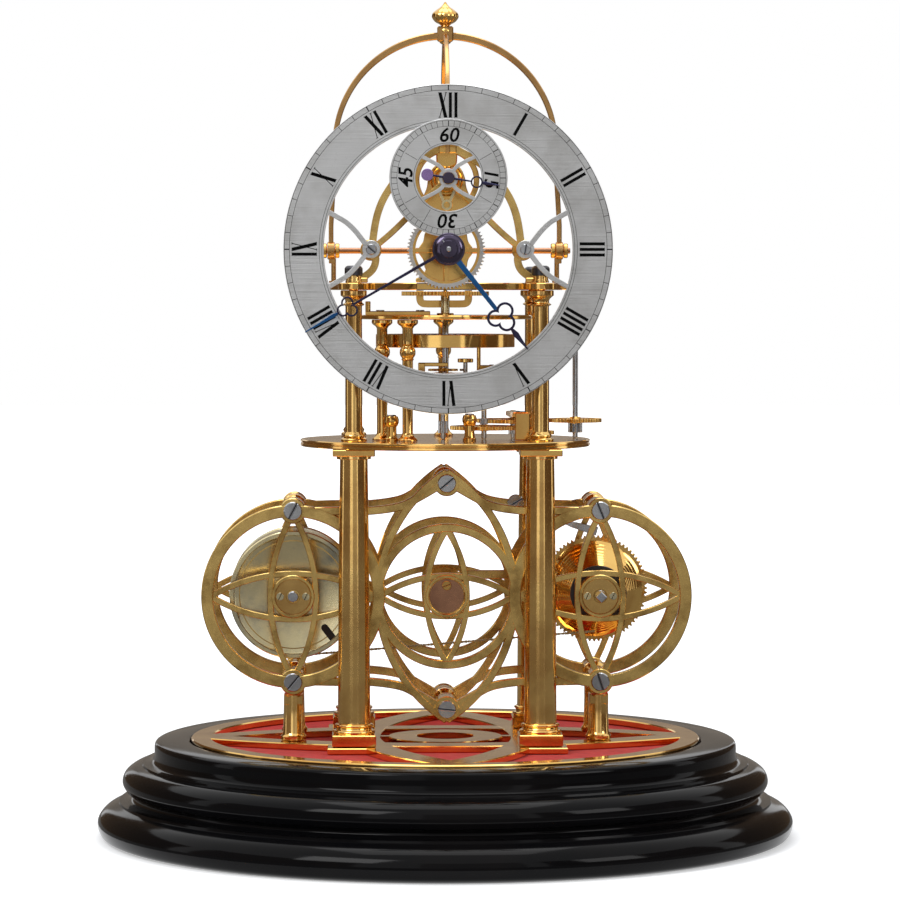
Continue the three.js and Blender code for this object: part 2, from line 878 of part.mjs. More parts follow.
// Movement frames: three pierced rings, a tall pointed arch, ogee braces and six bosses.
const framePillarPlaces = [
  ["frame_pillar_top", 0, topBossHeight],
  ["frame_pillar_bottom", 0, -topBossHeight],
  ["frame_pillar_left_top", -sideRingX, sideBossHeight],
  ["frame_pillar_left_bottom", -sideRingX, -sideBossHeight],
  ["frame_pillar_right_top", sideRingX, sideBossHeight],
  ["frame_pillar_right_bottom", sideRingX, -sideBossHeight],
];

function frameShapes() {
  const braceTop = [[0.025, 1], [0.186, 0.472], [0.304, 0.157], [0.498, 0], [0.693, 0], [1, -0.037]]
    .map(([along, up]) => [-sideRingX * along, sideBossHeight + topBossRise * up]);
  const braceBottom = braceTop.map(([x, z]) => [x, -z]);
  const shapes = [
    ringShape(sideRingRadius, sideRingBore, ringRound, -sideRingX, 0),
    ringShape(sideRingRadius, sideRingBore, ringRound, sideRingX, 0),
    ringShape(centreRingRadius, centreRingBore, ringRound),
    ...starShapes(centreStarHalfWidth, centreRingBore + starTipLap, starBarThin, archSteps - 1),
    ...starShapes(sideStarHalfWidth, sideRingBore + starTipLap, starBarThin, archSteps, -sideRingX, 0),
    ...starShapes(sideStarHalfWidth, sideRingBore + starTipLap, starBarThin, archSteps, sideRingX, 0),
    barShape(archSide(tallArchHalfWidth, tallArchHalfHeight, 1, true, archSteps + 2, 0, 0), archBarWidth),
    barShape(archSide(tallArchHalfWidth, tallArchHalfHeight, -1, true, archSteps + 2, 0, 0), archBarWidth),
    smoothBar(braceTop, ogeeBarWidth, braceSteps),
    smoothBar(mirrored(braceTop), ogeeBarWidth, braceSteps),
    smoothBar(braceBottom, ogeeBarWidth, braceSteps),
    smoothBar(mirrored(braceBottom), ogeeBarWidth, braceSteps),
    discShape(hubDiscRadius, midRound),
    discShape(hubDiscRadius, midRound, -sideRingX, 0),
    discShape(hubDiscRadius, midRound, sideRingX, 0),
  ];
  for (const [, x, z] of framePillarPlaces) {
    shapes.push(discShape(bossRadius, smallRound, x, z));
  }
  return shapes;
}

function makeFrame(name, y0, y1, outerY) {
  const solid = standingPlates(frameShapes(), y0, y1);
  const middle = outerY < 0 ? y0 : y1 - hubRecessDepth;
  const holes = [];
  for (const [, x, z] of framePillarPlaces) {
    holes.push(depthHole(studRadius + seat, y0 - overcut, y1 + overcut, x, z, tinyRound));
  }
  for (const x of [-sideRingX, 0, sideRingX]) {
    holes.push(depthHole(hubRecessRadius, middle, middle + hubRecessDepth, x, 0, midRound));
  }
  holes.push(depthHole(barrelArborRadius + runGap, y0 - overcut, y1 + overcut, -sideRingX, 0));
  holes.push(depthHole(fuseeArborRadius + runGap, y0 - overcut, y1 + overcut, sideRingX, 0));
  return cut(solid, holes).translate([0, 0, movementZ]);
}

function makeFrames() {
  const front = makeFrame("front_frame", -frameOuterY, -frameInnerY, -1);
  addPiece("front_frame", front, satinBrass);
  const back = makeFrame("back_frame", frameInnerY, frameOuterY, 1);
  const contrateZ = movementZ + contrateRise;
  const barInner = frameInnerY - contrateBarReach;
  const barOuter = frameInnerY + lap;
  const half = contrateBarHeight / 2;
  const bar = box(contrateBarStart, contrateX, barInner, barOuter, contrateZ - half, contrateZ + half);
  const eye = depthRod(contrateEyeRadius, barInner, barOuter, contrateX, contrateZ);
  const through = trainArborRadius + runGap;
  const pivot = depthHole(through, barInner - overcut, frameOuterY + overcut, contrateX, contrateZ);
  addPiece("back_frame", cut(join([back, bar, eye]), [pivot]), satinBrass);
}

// Frame pillars: turned bars whose studs pass both frames and end in round screw heads.
function makeFramePillar(name, x, z) {
  const shoulder = frameInnerY - seat;
  const outside = frameOuterY + seat;
  const tip = outside + screwHeadHeight;
  const half = [
    [studRadius, shoulder],
    [studRadius, outside],
    [screwHeadRadius, outside],
    [screwHeadRadius, tip],
    [0, tip],
  ];
  const body = [
    [pillarCollarRadius, shoulder],
    [pillarCollarRadius, legY - collarLead],
    [pillarRadius, legY - collarLead - pillarTaper],
  ];
  const back = body.slice().reverse().concat(half);
  const profile = back.slice().reverse().map(([r, y]) => [r, -y]).concat(back);
  addPiece(name, turnedAlongDepth(profile, x, movementZ + z, smallRound), polishedBrass);
}

// Mainspring barrel: a drum with a raised rim and the slot for the chain hook.
function makeBarrel() {
  const front = -barrelLength / 2;
  const back = barrelLength / 2;
  const inner = barrelRadius - barrelRimWidth;
  const bore = barrelArborRadius + runGap;
  const drum = turnedAlongDepth([
    [bore, front],
    [bore + barrelHubWidth, front],
    [bore + barrelHubWidth, front + barrelCoverDepth],
    [inner, front + barrelCoverDepth],
    [inner, front],
    [barrelRadius, front],
    [barrelRadius, back],
    [bore, back],
    [bore, front],
  ], 0, 0, fineRound - 6);
  const slotPoints = [[0.494, -0.722], [0.659, -0.565], [0.604, -0.502], [0.439, -0.659]]
    .map(([x, z]) => new THREE.Vector2(x * barrelRadius, z * barrelRadius));
  const slot = standingPlate(new THREE.Shape(slotPoints), front - overcut, front + barrelSlotDepth);
  const barrel = cut(drum, [slot]).translate([-sideRingX, 0, movementZ]);
  addPiece("mainspring_barrel", barrel, paleBrass);

  const arborEnd = frameOuterY + arborProud;
  const arbor = turnedAlongDepth([
    [0, -arborEnd],
    [barrelArborRadius, -arborEnd],
    [barrelArborRadius, -frameInnerY + arborShake],
    [barrelCollarRadius, -frameInnerY + arborShake],
    [barrelCollarRadius, front - runGap],
    [barrelArborRadius, front - runGap],
    [barrelArborRadius, arborEnd],
    [0, arborEnd],
  ], -sideRingX, movementZ, smallRound);
  addPiece("barrel_arbor", arbor, polishedSteel);
}

// Fusee: a grooved cone whose radius grows towards the great wheel.
function fuseeRadiusAt(share) {
  const curve = fuseeLargeRadius * fuseeSmallRadius;
  return curve / (fuseeLargeRadius + (fuseeSmallRadius - fuseeLargeRadius) * share);
}

function makeFusee() {
  const wheelFront = greatWheelFrontY;
  const coneBack = wheelFront - seat;
  const coneFront = fuseeConeFrontY;
  const arborTip = -frameOuterY - windingSquareLength;
  const arborFront = -frameOuterY - lap;
  const arborEnd = frameOuterY + arborProud;
  const capRadius = fuseeSmallRadius - fuseeCapStep;
  const profile = [
    [0, arborFront],
    [fuseeArborRadius, arborFront],
    [fuseeArborRadius, coneFront - fuseeCapStep],
    [capRadius, coneFront - fuseeCapStep],
    [capRadius, coneFront],
  ];
  for (let i = 0; i < fuseeGrooves; i += 1) {
    const start = fuseeRadiusAt(i / fuseeGrooves);
    const y0 = coneFront + (i / fuseeGrooves) * fuseeLength;
    const step = fuseeLength / fuseeGrooves;
    profile.push([start, y0 + step * 0.2], [start - fuseeGrooveDepth, y0 + step * 0.7]);
  }
  profile.push([fuseeLargeRadius, coneBack - fuseeRimWidth], [fuseeLargeRadius, coneBack]);
  profile.push([fuseeArborRadius, coneBack], [fuseeArborRadius, arborEnd], [0, arborEnd]);
  const half = windingSquareSide / 2;
  const cone = join([
    turnedAlongDepth(profile, 0, 0, ringRound - 4),
    box(-half, half, arborTip, -frameOuterY, -half, half),
  ]);
  addPiece("fusee", cone.translate([sideRingX, 0, movementZ]), polishedBrass);

  const wheelBack = wheelFront + greatWheelThick;
  const spec = { radius: greatWheelRadius, teeth: greatWheelTeeth, toothDepth: greatToothDepth };
  const wheel = standingWheel(spec, wheelFront, wheelBack, sideRingX, movementZ);
  const through = fuseeArborRadius + seat;
  const bore = depthHole(through, wheelFront - overcut, wheelBack + overcut, sideRingX, movementZ);
  addPiece("great_wheel", cut(wheel, [bore]), polishedBrass);
}

// Drive chain: the straight run under the barrel and the fusee, with a waist between its links.
function makeChain() {
  const barrelLow = barrelRadius + runGap + chainThick / 2;
  const fuseeLow = fuseeRadiusAt(chainShare) + runGap + chainThick / 2;
  const start = new THREE.Vector2(-sideRingX, -barrelLow);
  const end = new THREE.Vector2(sideRingX, -fuseeLow);
  const run = end.clone().sub(start);
  const links = Math.round(run.length() / chainPitch);
  const along = run.clone().normalize();
  const across = new THREE.Vector2(-along.y, along.x);
  const upper = [];
  const lower = [];
  for (let i = 0; i <= links * 2; i += 1) {
    const half = (i % 2 === 0 ? 0.3 : 0.5) * chainThick;
    const point = start.clone().addScaledVector(run, i / (links * 2));
    upper.push(point.clone().addScaledVector(across, half));
    lower.unshift(point.clone().addScaledVector(across, -half));
  }
  const shape = new THREE.Shape(upper.concat(lower));
  const chainY = fuseeConeFrontY + chainShare * fuseeLength;
  const chain = standingPlate(shape, chainY - chainWidth / 2, chainY + chainWidth / 2);
  addPiece("drive_chain", chain.translate([0, 0, movementZ]), darkSteel);
}

// Contrate wheel: its pinion is driven by the great wheel, and its face teeth turn the upright arbor.
function makeContrateWheel() {
  const z = movementZ + contrateRise;
  const pinionFront = greatWheelFrontY - contratePinionProud;
  const pinionBack = greatWheelFrontY + greatWheelThick + contratePinionProud;
  const faceY = uprightY + uprightPinionRadius + meshGap;
  const discFront = faceY + contrateRimDepth;
  const discBack = discFront + contrateDiscThick;
  const rimBore = contrateRadius - contrateRimWidth;
  const rim = new THREE.Shape(toothedPoints(contrateRadius, contrateTeeth, contrateToothDepth));
  rim.holes.push(new THREE.Path(circlePoints(rimBore, midRound)));
  const wheel = join([
    standingPlate(rim, faceY, discBack),
    depthRod(rimBore + contrateDiscLap, discFront, discBack, 0, 0, midRound),
    depthRod(contratePinionRadius, pinionFront, pinionBack, 0, 0, smallRound),
    depthRod(trainArborRadius, discFront, frameOuterY - lap, 0, 0, tinyRound),
  ]);
  addPiece("contrate_wheel", wheel.translate([contrateX, 0, z]), polishedBrass);

  const pinionBottom = z + contrateRadius - uprightPinionDip;
  const wheelBottom = midPlateTop + driveWheelLift;
  const wheelTop = wheelBottom + wheelThick;
  const pinionTop = pinionBottom + uprightPinionHeight;
  const spec = { radius: driveWheelRadius, teeth: driveWheelTeeth, toothDepth: driveToothDepth };
  const upright = join([
    uprightRod(trainArborRadius, pinionBottom - lap, wheelTop + lap, contrateX, uprightY, tinyRound),
    flatPinion(uprightPinionRadius, pinionLeaves, pinionBottom, pinionTop, contrateX, uprightY),
    flatWheel(spec, wheelBottom, wheelTop, contrateX, uprightY),
  ]);
  addPiece("upright_arbor", upright, polishedSteel);
}

// Plates of the upper movement
function columnPlaces() {
  return [
    ["front_left", -columnX, -columnY],
    ["front_right", columnX, -columnY],
    ["back_left", -columnX, columnY],
    ["back_right", columnX, columnY],
  ];
}

// A stud with a round head; its pairs are shares of the head's radius and of the height.
function turnedStud(x, y, height) {
  const shares = [[0.9, 0.11], [0.7, 0.2], [0.7, 0.57], [1, 0.69], [0.93, 0.91]];
  const profile = shares.map(([out, up]) => [out * studHeadRadius, midPlateTop + up * height]);
  const foot = midPlateTop - lap;
  const start = [[0, foot], [0.9 * studHeadRadius, foot]];
  return turnedUpright([...start, ...profile, [0, midPlateTop + height]], x, y);
}

function makeMidPlate() {
  const low = midPlateBottom - arborBossDrop;
  const uprightLow = midPlateBottom - uprightBossDrop;
  const inside = midPlateBottom + lap;
  const plate = join([
    uprightRod(midPlateRadius, midPlateBottom, midPlateTop, 0, 0, fineRound),
    uprightRod(arborBossRadius, low, inside, escapeArborX, escapeArborY, tinyRound),
    uprightRod(arborBossRadius, low, inside, thirdArborX, thirdArborY, tinyRound),
    uprightRod(uprightBossRadius, uprightLow, inside, contrateX, uprightY, smallRound),
    turnedStud(rightStudX, thirdArborY - thirdWheelRadius - rightStudGap, rightStudHeight),
    turnedStud(leftStudX, leftStudY, leftStudHeight),
  ]);
  const hole = pivotHole(uprightLow - overcut, midPlateTop + overcut, contrateX, uprightY);
  addPiece("mid_plate", cut(plate, [hole]), polishedBrass);
}

function pivotHole(z0, z1, x, y) {
  return uprightHole(trainArborRadius + runGap, z0, z1, x, y, tinyRound);
}

function makeUpperColumn(name, x, y) {
  const bottom = midPlateTop + seat;
  const top = topPlateBottom - seat;
  const above = topPlateTop + seat;
  const nutBottom = above + columnCollarHeight;
  const nutTop = nutBottom + columnNutHeight;
  const column = turnedUpright([
    [0, bottom],
    [upperFootRadius, bottom],
    [upperFootRadius, bottom + upperFootHeight / 3],
    [upperShaftRadius, bottom + upperFootHeight],
    [upperShaftRadius, top - upperCapHeight],
    [upperShaftRadius + upperRingWidth, top - upperCapHeight * 0.9],
    [upperShaftRadius, top - upperCapHeight * 0.75],
    [upperFootRadius, top - upperCapHeight * 0.37],
    [upperFootRadius, top],
    [studRadius, top],
    [studRadius, above],
    [upperShaftRadius, above],
    [upperShaftRadius - columnCollarTaper, nutBottom],
    [columnNutRadius, nutBottom],
    [columnNutRadius, nutTop - columnNutBevel],
    [columnNutRadius - 2 * columnNutBevel, nutTop],
    [0, nutTop],
  ], x, y, smallRound);
  addPiece(name, column, polishedBrass);
}

function makeTopPlate() {
  const parts = [uprightRod(topPlateRadius, topPlateBottom, topPlateTop, 0, 0, fineRound)];
  const holes = [];
  const low = topPlateBottom - overcut;
  const high = topPlateTop + overcut;
  for (const [, x, y] of columnPlaces()) {
    parts.push(uprightRod(topPlateEar, topPlateBottom, topPlateTop, x, y, smallRound));
    holes.push(uprightHole(studRadius + seat, low, high, x, y, tinyRound));
  }
  const half = topArmHalfWidth;
  parts.push(box(topPlateRadius - topArmRoot, outerArborX, outerArborY - half, outerArborY + half,
    topPlateBottom, topPlateTop));
  parts.push(uprightRod(half, topPlateBottom, topPlateTop, outerArborX, outerArborY, smallRound));
  holes.push(pivotHole(low, high, 0, 0));
  const slot = topSlotHalfWidth;
  holes.push(box(-slot, slot, -topPlateRadius - overcut, -topSlotBack, low, high));
  addPiece("top_plate", cut(join(parts), holes), polishedBrass);
}

// Three turned pillars carry the sub plate and the escapement platform, clear of the balance.
function platePillarPlaces() {
  const reach = platePillarReach;
  return [217, 241, 90].map((degrees) => {
    const angle = THREE.MathUtils.degToRad(degrees);
    return [reach * Math.cos(angle), reach * Math.sin(angle)];
  });
}

function makePlatePillar(name, x, y) {
  const bottom = midPlateTop + seat;
  const top = subPlateBottom - seat;
  const ball = platePillarBall;
  const ballZ = balanceBottom - ball / 2;
  const r = platePillarRadius;
  const foot = platePillarFoot;
  const pillar = turnedUpright([
    [0, bottom],
    [r + foot, bottom],
    [r + foot, bottom + foot * 0.8],
    [r, bottom + foot * 1.6],
    [r, ballZ - ball * 0.8],
    [ball * 0.85, ballZ - ball * 0.5],
    [ball, ballZ],
    [ball * 0.85, ballZ + ball * 0.5],
    [r, ballZ + ball * 0.8],
    [r, top - foot * 1.6],
    [r + foot, top - foot * 0.9],
    [r + foot, top],
    [0, top],
  ], x, y, smallRound);
  addPiece(name, pillar, polishedBrass);
}

function makeSubPlate() {
  const armTop = subPlateTop + subBridgeThick;
  const armEnd = subPlateRadius - subBridgeInset;
  const half = subBridgeHalfWidth;
  const pinX = subPlateRadius - subPinInset;
  const plate = join([
    uprightRod(subPlateRadius, subPlateBottom, subPlateTop, 0, 0, ringRound),
    box(-armEnd, -subBridgeStart, -half, half, subPlateTop - lap, armTop),
    uprightRod(trainArborRadius, armTop - lap, armTop + subPinHeight, -pinX, 0, tinyRound),
  ]);
  const hole = pivotHole(subPlateBottom - overcut, subPlateTop + overcut, 0, 0);
  addPiece("sub_plate", cut(plate, [hole]), polishedBrass);
}

function makeStirrup() {
  const half = stirrupHalfWidth;
  const hole = half - stirrupBar;
  const y0 = crownRadius - runGap;
  const y1 = y0 + stirrupDepth;
  const bottom = topPlateBottom - stirrupDrop;
  const top = topPlateBottom - seat;
  const outside = box(-half, half, y0, y1, bottom, top);
  const inside = box(-hole, hole, y0 - overcut, y1 + overcut, bottom + stirrupBar, top + overcut);
  addPiece("stirrup_bracket", cut(outside, [inside]), polishedBrass);
}

// Upper train: wheels on upright arbors between the middle plate, the cock and the platform.
function trainWheel({ name, x, y, radius, teeth, lift, pinionLift, leafHeight, pinion, top, arms }) {
  const wheelBottom = midPlateTop + lift;
  const spec = {
    radius,
    teeth,
    toothDepth: wheelToothDepth,
    rim: wheelRim,
    hub: wheelHub,
    arms,
    armWidth: wheelArmWidth,
  };
  const parts = [
    uprightRod(trainArborRadius, midPlateTop + seat, top, x, y, tinyRound),
    flatWheel(spec, wheelBottom, wheelBottom + wheelThick, x, y),
  ];
  const pinionBottom = midPlateTop + pinionLift;
  parts.push(flatPinion(pinion, pinionLeaves, pinionBottom, pinionBottom + leafHeight, x, y));
  addPiece(name, join(parts), polishedBrass);
}

function makeTrain() {
  const cockBottom = midPlateTop + upperWheelLift + wheelThick + cockRoom;
  trainWheel({
    name: "second_wheel",
    x: secondArborX,
    y: secondArborY,
    radius: secondWheelRadius,
    teeth: secondWheelTeeth,
    lift: upperWheelLift,
    pinionLift: driveWheelLift,
    leafHeight: pinionHeight,
    pinion: pinionRadius,
    top: cockBottom - seat,
    arms: 4,
  });
  trainWheel({
    name: "third_wheel",
    x: thirdArborX,
    y: thirdArborY,
    radius: thirdWheelRadius,
    teeth: thirdWheelTeeth,
    lift: lowerWheelLift,
    pinionLift: upperWheelLift,
    leafHeight: pinionHeight,
    pinion: thirdPinionRadius,
    top: platformTop + thirdCockLift - seat,
    arms: 4,
  });
  trainWheel({
    name: "outer_wheel",
    x: outerArborX,
    y: outerArborY,
    radius: outerWheelRadius,
    teeth: outerWheelTeeth,
    lift: upperWheelLift,
    pinionLift: driveWheelLift,
    leafHeight: outerPinionHeight,
    pinion: outerPinionRadius,
    top: topPlateBottom - seat,
    arms: 0,
  });
  const armTop = cockBottom + cockArmThick;
  const foot = polar(thirdWheelRadius + cockFootGap, THREE.MathUtils.degToRad(cockFootAngle),
    thirdArborX, thirdArborY);
  const back = foot.y - cockFootDepth;
  const cock = join([
    box(foot.x, foot.x + cockFootWidth, back, foot.y, midPlateTop + seat, armTop),
    box(secondArborX - cockArmSide, foot.x + cockArmLap, back + cockArmInset, secondArborY + cockArmEnd,
      cockBottom, armTop),
  ]);
  addPiece("train_cock", cock, polishedBrass);
}

// Escapement platform: a thin plate with ears on the pillars and cocks for its arbors.
function makePlatform() {
  const low = platformBottom - overcut;
  const high = platformTop + overcut;
  const parts = [uprightRod(platformRadius, platformBottom, platformTop, 0, 0, ringRound - 6)];
  const holes = [
    pivotHole(low, high, escapeArborX, escapeArborY),
    pivotHole(low, high, thirdArborX, thirdArborY),
  ];
  for (const [x, y] of platePillarPlaces()) {
    const angle = Math.atan2(y, x);
    const inner = polar(platformRadius - platformArmRoot, angle);
    const line = [inner, new THREE.Vector2(x, y)];
    const ear = platePillarRadius + platformEarWidth;
    parts.push(flatPlate(barShape(line, platformArmWidth), platformBottom, platformTop));
    parts.push(uprightRod(ear, platformBottom, platformTop, x, y, smallRound));
    holes.push(uprightHole(platePillarRadius + seat, low, high, x, y, smallRound));
  }
  const root = platformTop - lap;
  const thirdLow = platformTop + thirdCockLift;
  const thirdHigh = thirdLow + thirdCockThick;
  const thirdEnd = thirdArborX + thirdCockReach;
  const thirdFront = thirdArborY - thirdCockHalfWidth;
  const thirdBack = thirdArborY + thirdCockHalfWidth;
  parts.push(box(thirdArborX - thirdCockNose, thirdEnd, thirdFront, thirdBack, thirdLow, thirdHigh));
  parts.push(box(thirdEnd - thirdCockFoot, thirdEnd, thirdFront, thirdBack, root, thirdHigh));
  const escapeLow = platformTop + escapeCockLift;
  const escapeHigh = escapeLow + escapeCockThick;
  const escapeEnd = escapeArborX - escapeCockReach;
  parts.push(box(escapeEnd, escapeEnd + escapeCockFoot, escapeArborY - escapeCockFootHalf,
    escapeArborY + escapeCockFootHalf, root, escapeHigh));
  parts.push(box(escapeEnd, escapeArborX + escapeCockNose, escapeArborY - escapeCockArmHalf,
    escapeArborY + escapeCockArmHalf, escapeLow, escapeHigh));
  parts.push(uprightRod(springStudRadius, root, springZ + springStudProud,
    springOuterRadius + springStudGap, 0, tinyRound));
  addPiece("escapement_platform", cut(join(parts), holes), polishedBrass);
}

function makeEscapeWheel() {
  const wheelBottom = platformTop + escapeLift;
  const points = [];
  for (let i = 0; i < escapeTeeth; i += 1) {
    const angle = (i / escapeTeeth) * 2 * Math.PI;
    const pitch = (2 * Math.PI) / escapeTeeth;
    points.push(polar(escapeWheelRadius - escapeToothDepth, angle));
    points.push(polar(escapeWheelRadius, angle + pitch * 0.55));
    points.push(polar(escapeWheelRadius - escapeToothHook, angle + pitch * 0.7));
  }
  const wheel = flatPlate(new THREE.Shape(points), wheelBottom, wheelBottom + escapeThick);
  const pinionBottom = midPlateTop + escapePinionLift;
  const pinionTop = pinionBottom + escapePinionHeight;
  const tip = platformTop + escapeCockLift - seat;
  const [x, y] = [escapeArborX, escapeArborY];
  const escape = join([
    wheel.translate([x, y, 0]),
    uprightRod(trainArborRadius, midPlateTop + seat, tip, x, y, tinyRound),
    flatPinion(escapePinionRadius, escapePinionLeaves, pinionBottom, pinionTop, x, y),
  ]);
  addPiece("escape_wheel", escape, polishedSteel);
}

// Balance: a cut rim on one bar, with a round weight near each free end.
function makeBalance() {
  const inner = balanceRadius - balanceRimWidth;
  const armBottom = balanceTop - balanceArmThick - balanceArmDrop;
  const rim = flatPlate(ringShape(balanceRadius, inner, ringRound), balanceBottom, balanceTop);
  const reach = balanceRadius + overcut;
  const edge = balanceArmWidth / 2 + balanceRimGap / 2;
  const cuts = [1, -1].map((side) => {
    const y0 = side > 0 ? edge : -edge - balanceRimGap;
    const x0 = side > 0 ? 0 : -reach;
    return box(x0, x0 + reach, y0, y0 + balanceRimGap, balanceBottom - overcut, balanceTop + overcut);
  });
  const arm = box(-inner - lap, inner + lap, -balanceArmWidth / 2, balanceArmWidth / 2,
    armBottom, armBottom + balanceArmThick);
  const weightBottom = balanceBottom + balanceArmDrop;
  const weightTop = balanceTop - balanceArmDrop;
  const weights = [0, Math.PI].map((turn) => {
    const place = polar(inner - balanceWeightRadius + lap, turn + Math.PI * 0.62);
    return uprightRod(balanceWeightRadius, weightBottom, weightTop, place.x, place.y, tinyRound);
  });
  const staffBottom = platformTop + seat;
  const pivotTaper = balanceStaffRadius - balancePivotRadius;
  const colletLow = springZ - springColletHeight / 2;
  const colletHigh = springZ + springColletHeight / 2;
  const springCollet = springInnerRadius - springWire - runGap;
  const staff = turnedUpright([
    [0, staffBottom],
    [balancePivotRadius, staffBottom],
    [balanceStaffRadius, staffBottom + pivotTaper],
    [balanceStaffRadius, colletLow],
    [springCollet, colletLow],
    [springCollet, colletHigh],
    [balanceStaffRadius, colletHigh],
    [balanceStaffRadius, subPlateBottom - runGap - pivotTaper],
    [balancePivotRadius, subPlateBottom - runGap],
    [balancePivotRadius, subPlateBottom + subPlateThick / 3],
    [0, subPlateBottom + subPlateThick / 3],
  ], 0, 0, smallRound);
  addPiece("balance_wheel", join([cut(rim, cuts), arm, ...weights, staff]), polishedBrass);
}

// The least distance between the surface points of one turn and those of the next.
function leastTurnGap(positions, sides) {
  const perTurn = springSteps * sides;
  let least = Infinity;
  const here = new THREE.Vector3();
  const there = new THREE.Vector3();
  for (let i = 0; i + perTurn < positions.length / 3; i += 1) {
    here.fromArray(positions, 3 * i);
    const ring = Math.floor(i / sides) + springSteps;
    for (let k = -sides; k < 2 * sides; k += 1) {
      const other = ring * sides + k;
      if (other < positions.length / 3) {
        least = Math.min(least, here.distanceTo(there.fromArray(positions, 3 * other)));
      }
    }
  }
  return least;
}

// Balance spring: one unbroken flat spiral, swept as a tube of five sides.
function makeBalanceSpring() {
  const steps = springTurns * springSteps;
  const sides = 5;
  const rise = (springOuterRadius - springInnerRadius) / springTurns;
  const positions = [];
  const faces = [];
  for (let i = 0; i <= steps; i += 1) {
    const angle = (i / springSteps) * 2 * Math.PI;
    const radius = springInnerRadius + (rise * i) / springSteps;
    for (let k = 0; k < sides; k += 1) {
      const around = (k / sides) * 2 * Math.PI;
      const r = radius + springWire * Math.cos(around);
      positions.push(r * Math.cos(angle), r * Math.sin(angle), springZ + springWire * Math.sin(around));
    }
  }
  for (let i = 0; i < steps; i += 1) {
    for (let k = 0; k < sides; k += 1) {
      const a = i * sides + k;
      const b = i * sides + ((k + 1) % sides);
      faces.push(a, a + sides, b, b, a + sides, b + sides);
    }
  }
  const last = steps * sides;
  for (let k = 1; k < sides - 1; k += 1) {
    faces.push(0, k, k + 1, last, last + k + 1, last + k);
  }
  const geometry = new THREE.BufferGeometry();
  geometry.setAttribute("position", new THREE.Float32BufferAttribute(positions, 3));
  geometry.setIndex(faces);
  const least = leastTurnGap(positions, sides).toFixed(2);
  console.log("balance spring, least gap between its turns:", least, "mm");
  addPiece("balance_spring", toSolid(geometry), bluedSteel);
}

function makeDetent() {
  const bladeZ = platformTop + escapeLift;
  const hubBottom = platformTop + detentHubLift;
  const tipX = escapeArborX + escapeWheelRadius + detentTipGap;
  const tip = new THREE.Vector2(tipX, escapeArborY - detentTipSide);
  const blade = barShape([tip, new THREE.Vector2(detentX, detentY)], detentBladeWidth);
  const detent = join([
    uprightRod(detentArborRadius, platformTop + seat, hubBottom + lap, detentX, detentY, tinyRound),
    uprightRod(detentHubRadius, hubBottom, hubBottom + detentHubHeight, detentX, detentY, smallRound),
    flatPlate(blade, bladeZ, bladeZ + escapeThick),
  ]);
  addPiece("detent", detent, polishedSteel);
}

// Crown wheel under the top plate, and the wheel of the minute arbor that stands on it.
function makeCrownWheel() {
  const wheelTop = topPlateBottom - crownGap;
  const wheelBottom = wheelTop - crownThick;
  const spec = {
    radius: crownRadius,
    teeth: crownTeeth,
    toothDepth: motionToothDepth,
    rim: crownRim,
    hub: crownHub,
    arms: 4,
    armWidth: crownArmWidth,
  };
  const wheel = flatWheel(spec, wheelBottom, wheelTop, 0, 0);
  const bore = uprightHole(crownArborRadius + seat, wheelBottom - overcut, wheelTop + overcut, 0, 0);
  addPiece("crown_wheel", cut(wheel, [bore]), polishedBrass);

  const arbor = turnedUpright([
    [0, subPlateTop - subPlateThick / 3],
    [crownPivotRadius, subPlateTop - subPlateThick / 3],
    [crownPivotRadius, subPlateTop + runGap],
    [crownArborRadius, subPlateTop + runGap],
    [crownArborRadius, topPlateBottom - runGap],
    [crownPivotRadius, topPlateBottom - runGap],
    [crownPivotRadius, topPlateTop],
    [0, topPlateTop],
  ], 0, 0, smallRound);
  addPiece("crown_arbor", arbor, paleBrass);
}

function makeMotionWheel() {
  const spec = {
    radius: motionRadius,
    teeth: motionTeeth,
    toothDepth: motionToothDepth,
    rim: motionRim,
    hub: motionHub,
    arms: 4,
    armWidth: wheelArmWidth,
  };
  const wheelFront = motionY - wheelThick / 2;
  const wheelBack = motionY + wheelThick / 2;
  const front = minuteHandFrontY - lap;
  const wheel = join([
    standingWheel(spec, wheelFront, wheelBack, 0, dialAxisZ),
    depthRod(minuteArborRadius, front, motionArborBackY, 0, dialAxisZ, tinyRound),
    depthRod(motionCollarRadius, wheelFront - wheelThick, motionY, 0, dialAxisZ, smallRound),
  ]);
  addPiece("motion_wheel", wheel, silveredBrass);
}

function makeMotionCock() {
  const bottom = topPlateTop + seat;
  const top = dialAxisZ + motionCockTop;
  const side = [[1, 0], [1, 0.09], [0.72, 0.22], [0.55, 0.45], [0.42, 0.72], [0.29, 0.92]]
    .map(([across, up]) => [across * motionCockHalfWidth, bottom + up * (top - bottom)]);
  const points = side.map(([x, z]) => new THREE.Vector2(x, z));
  points.push(new THREE.Vector2(0, top));
  for (const [x, z] of side.slice().reverse()) {
    points.push(new THREE.Vector2(-x, z));
  }
  const front = motionCockBackY - motionCockThick;
  const plate = standingPlate(new THREE.Shape(points), front, motionCockBackY);
  const pipeFront = motionY + wheelThick;
  const pipe = depthRod(motionPipeRadius, pipeFront, motionCockBackY, 0, dialAxisZ, smallRound);
  const hole = depthHole(minuteArborRadius + runGap, motionY, 0, 0, dialAxisZ, smallRound);
  addPiece("motion_cock", cut(join([plate, pipe]), [hole]), polishedBrass);
}

// Hands: an open trefoil of three rings below a slim tip. Angles are clockwise from twelve.
function taperShape(lowWidth, low, highWidth, high) {
  return new THREE.Shape([
    new THREE.Vector2(-lowWidth / 2, low),
    new THREE.Vector2(lowWidth / 2, low),
    new THREE.Vector2(highWidth / 2, high),
    new THREE.Vector2(-highWidth / 2, high),
  ]);
}

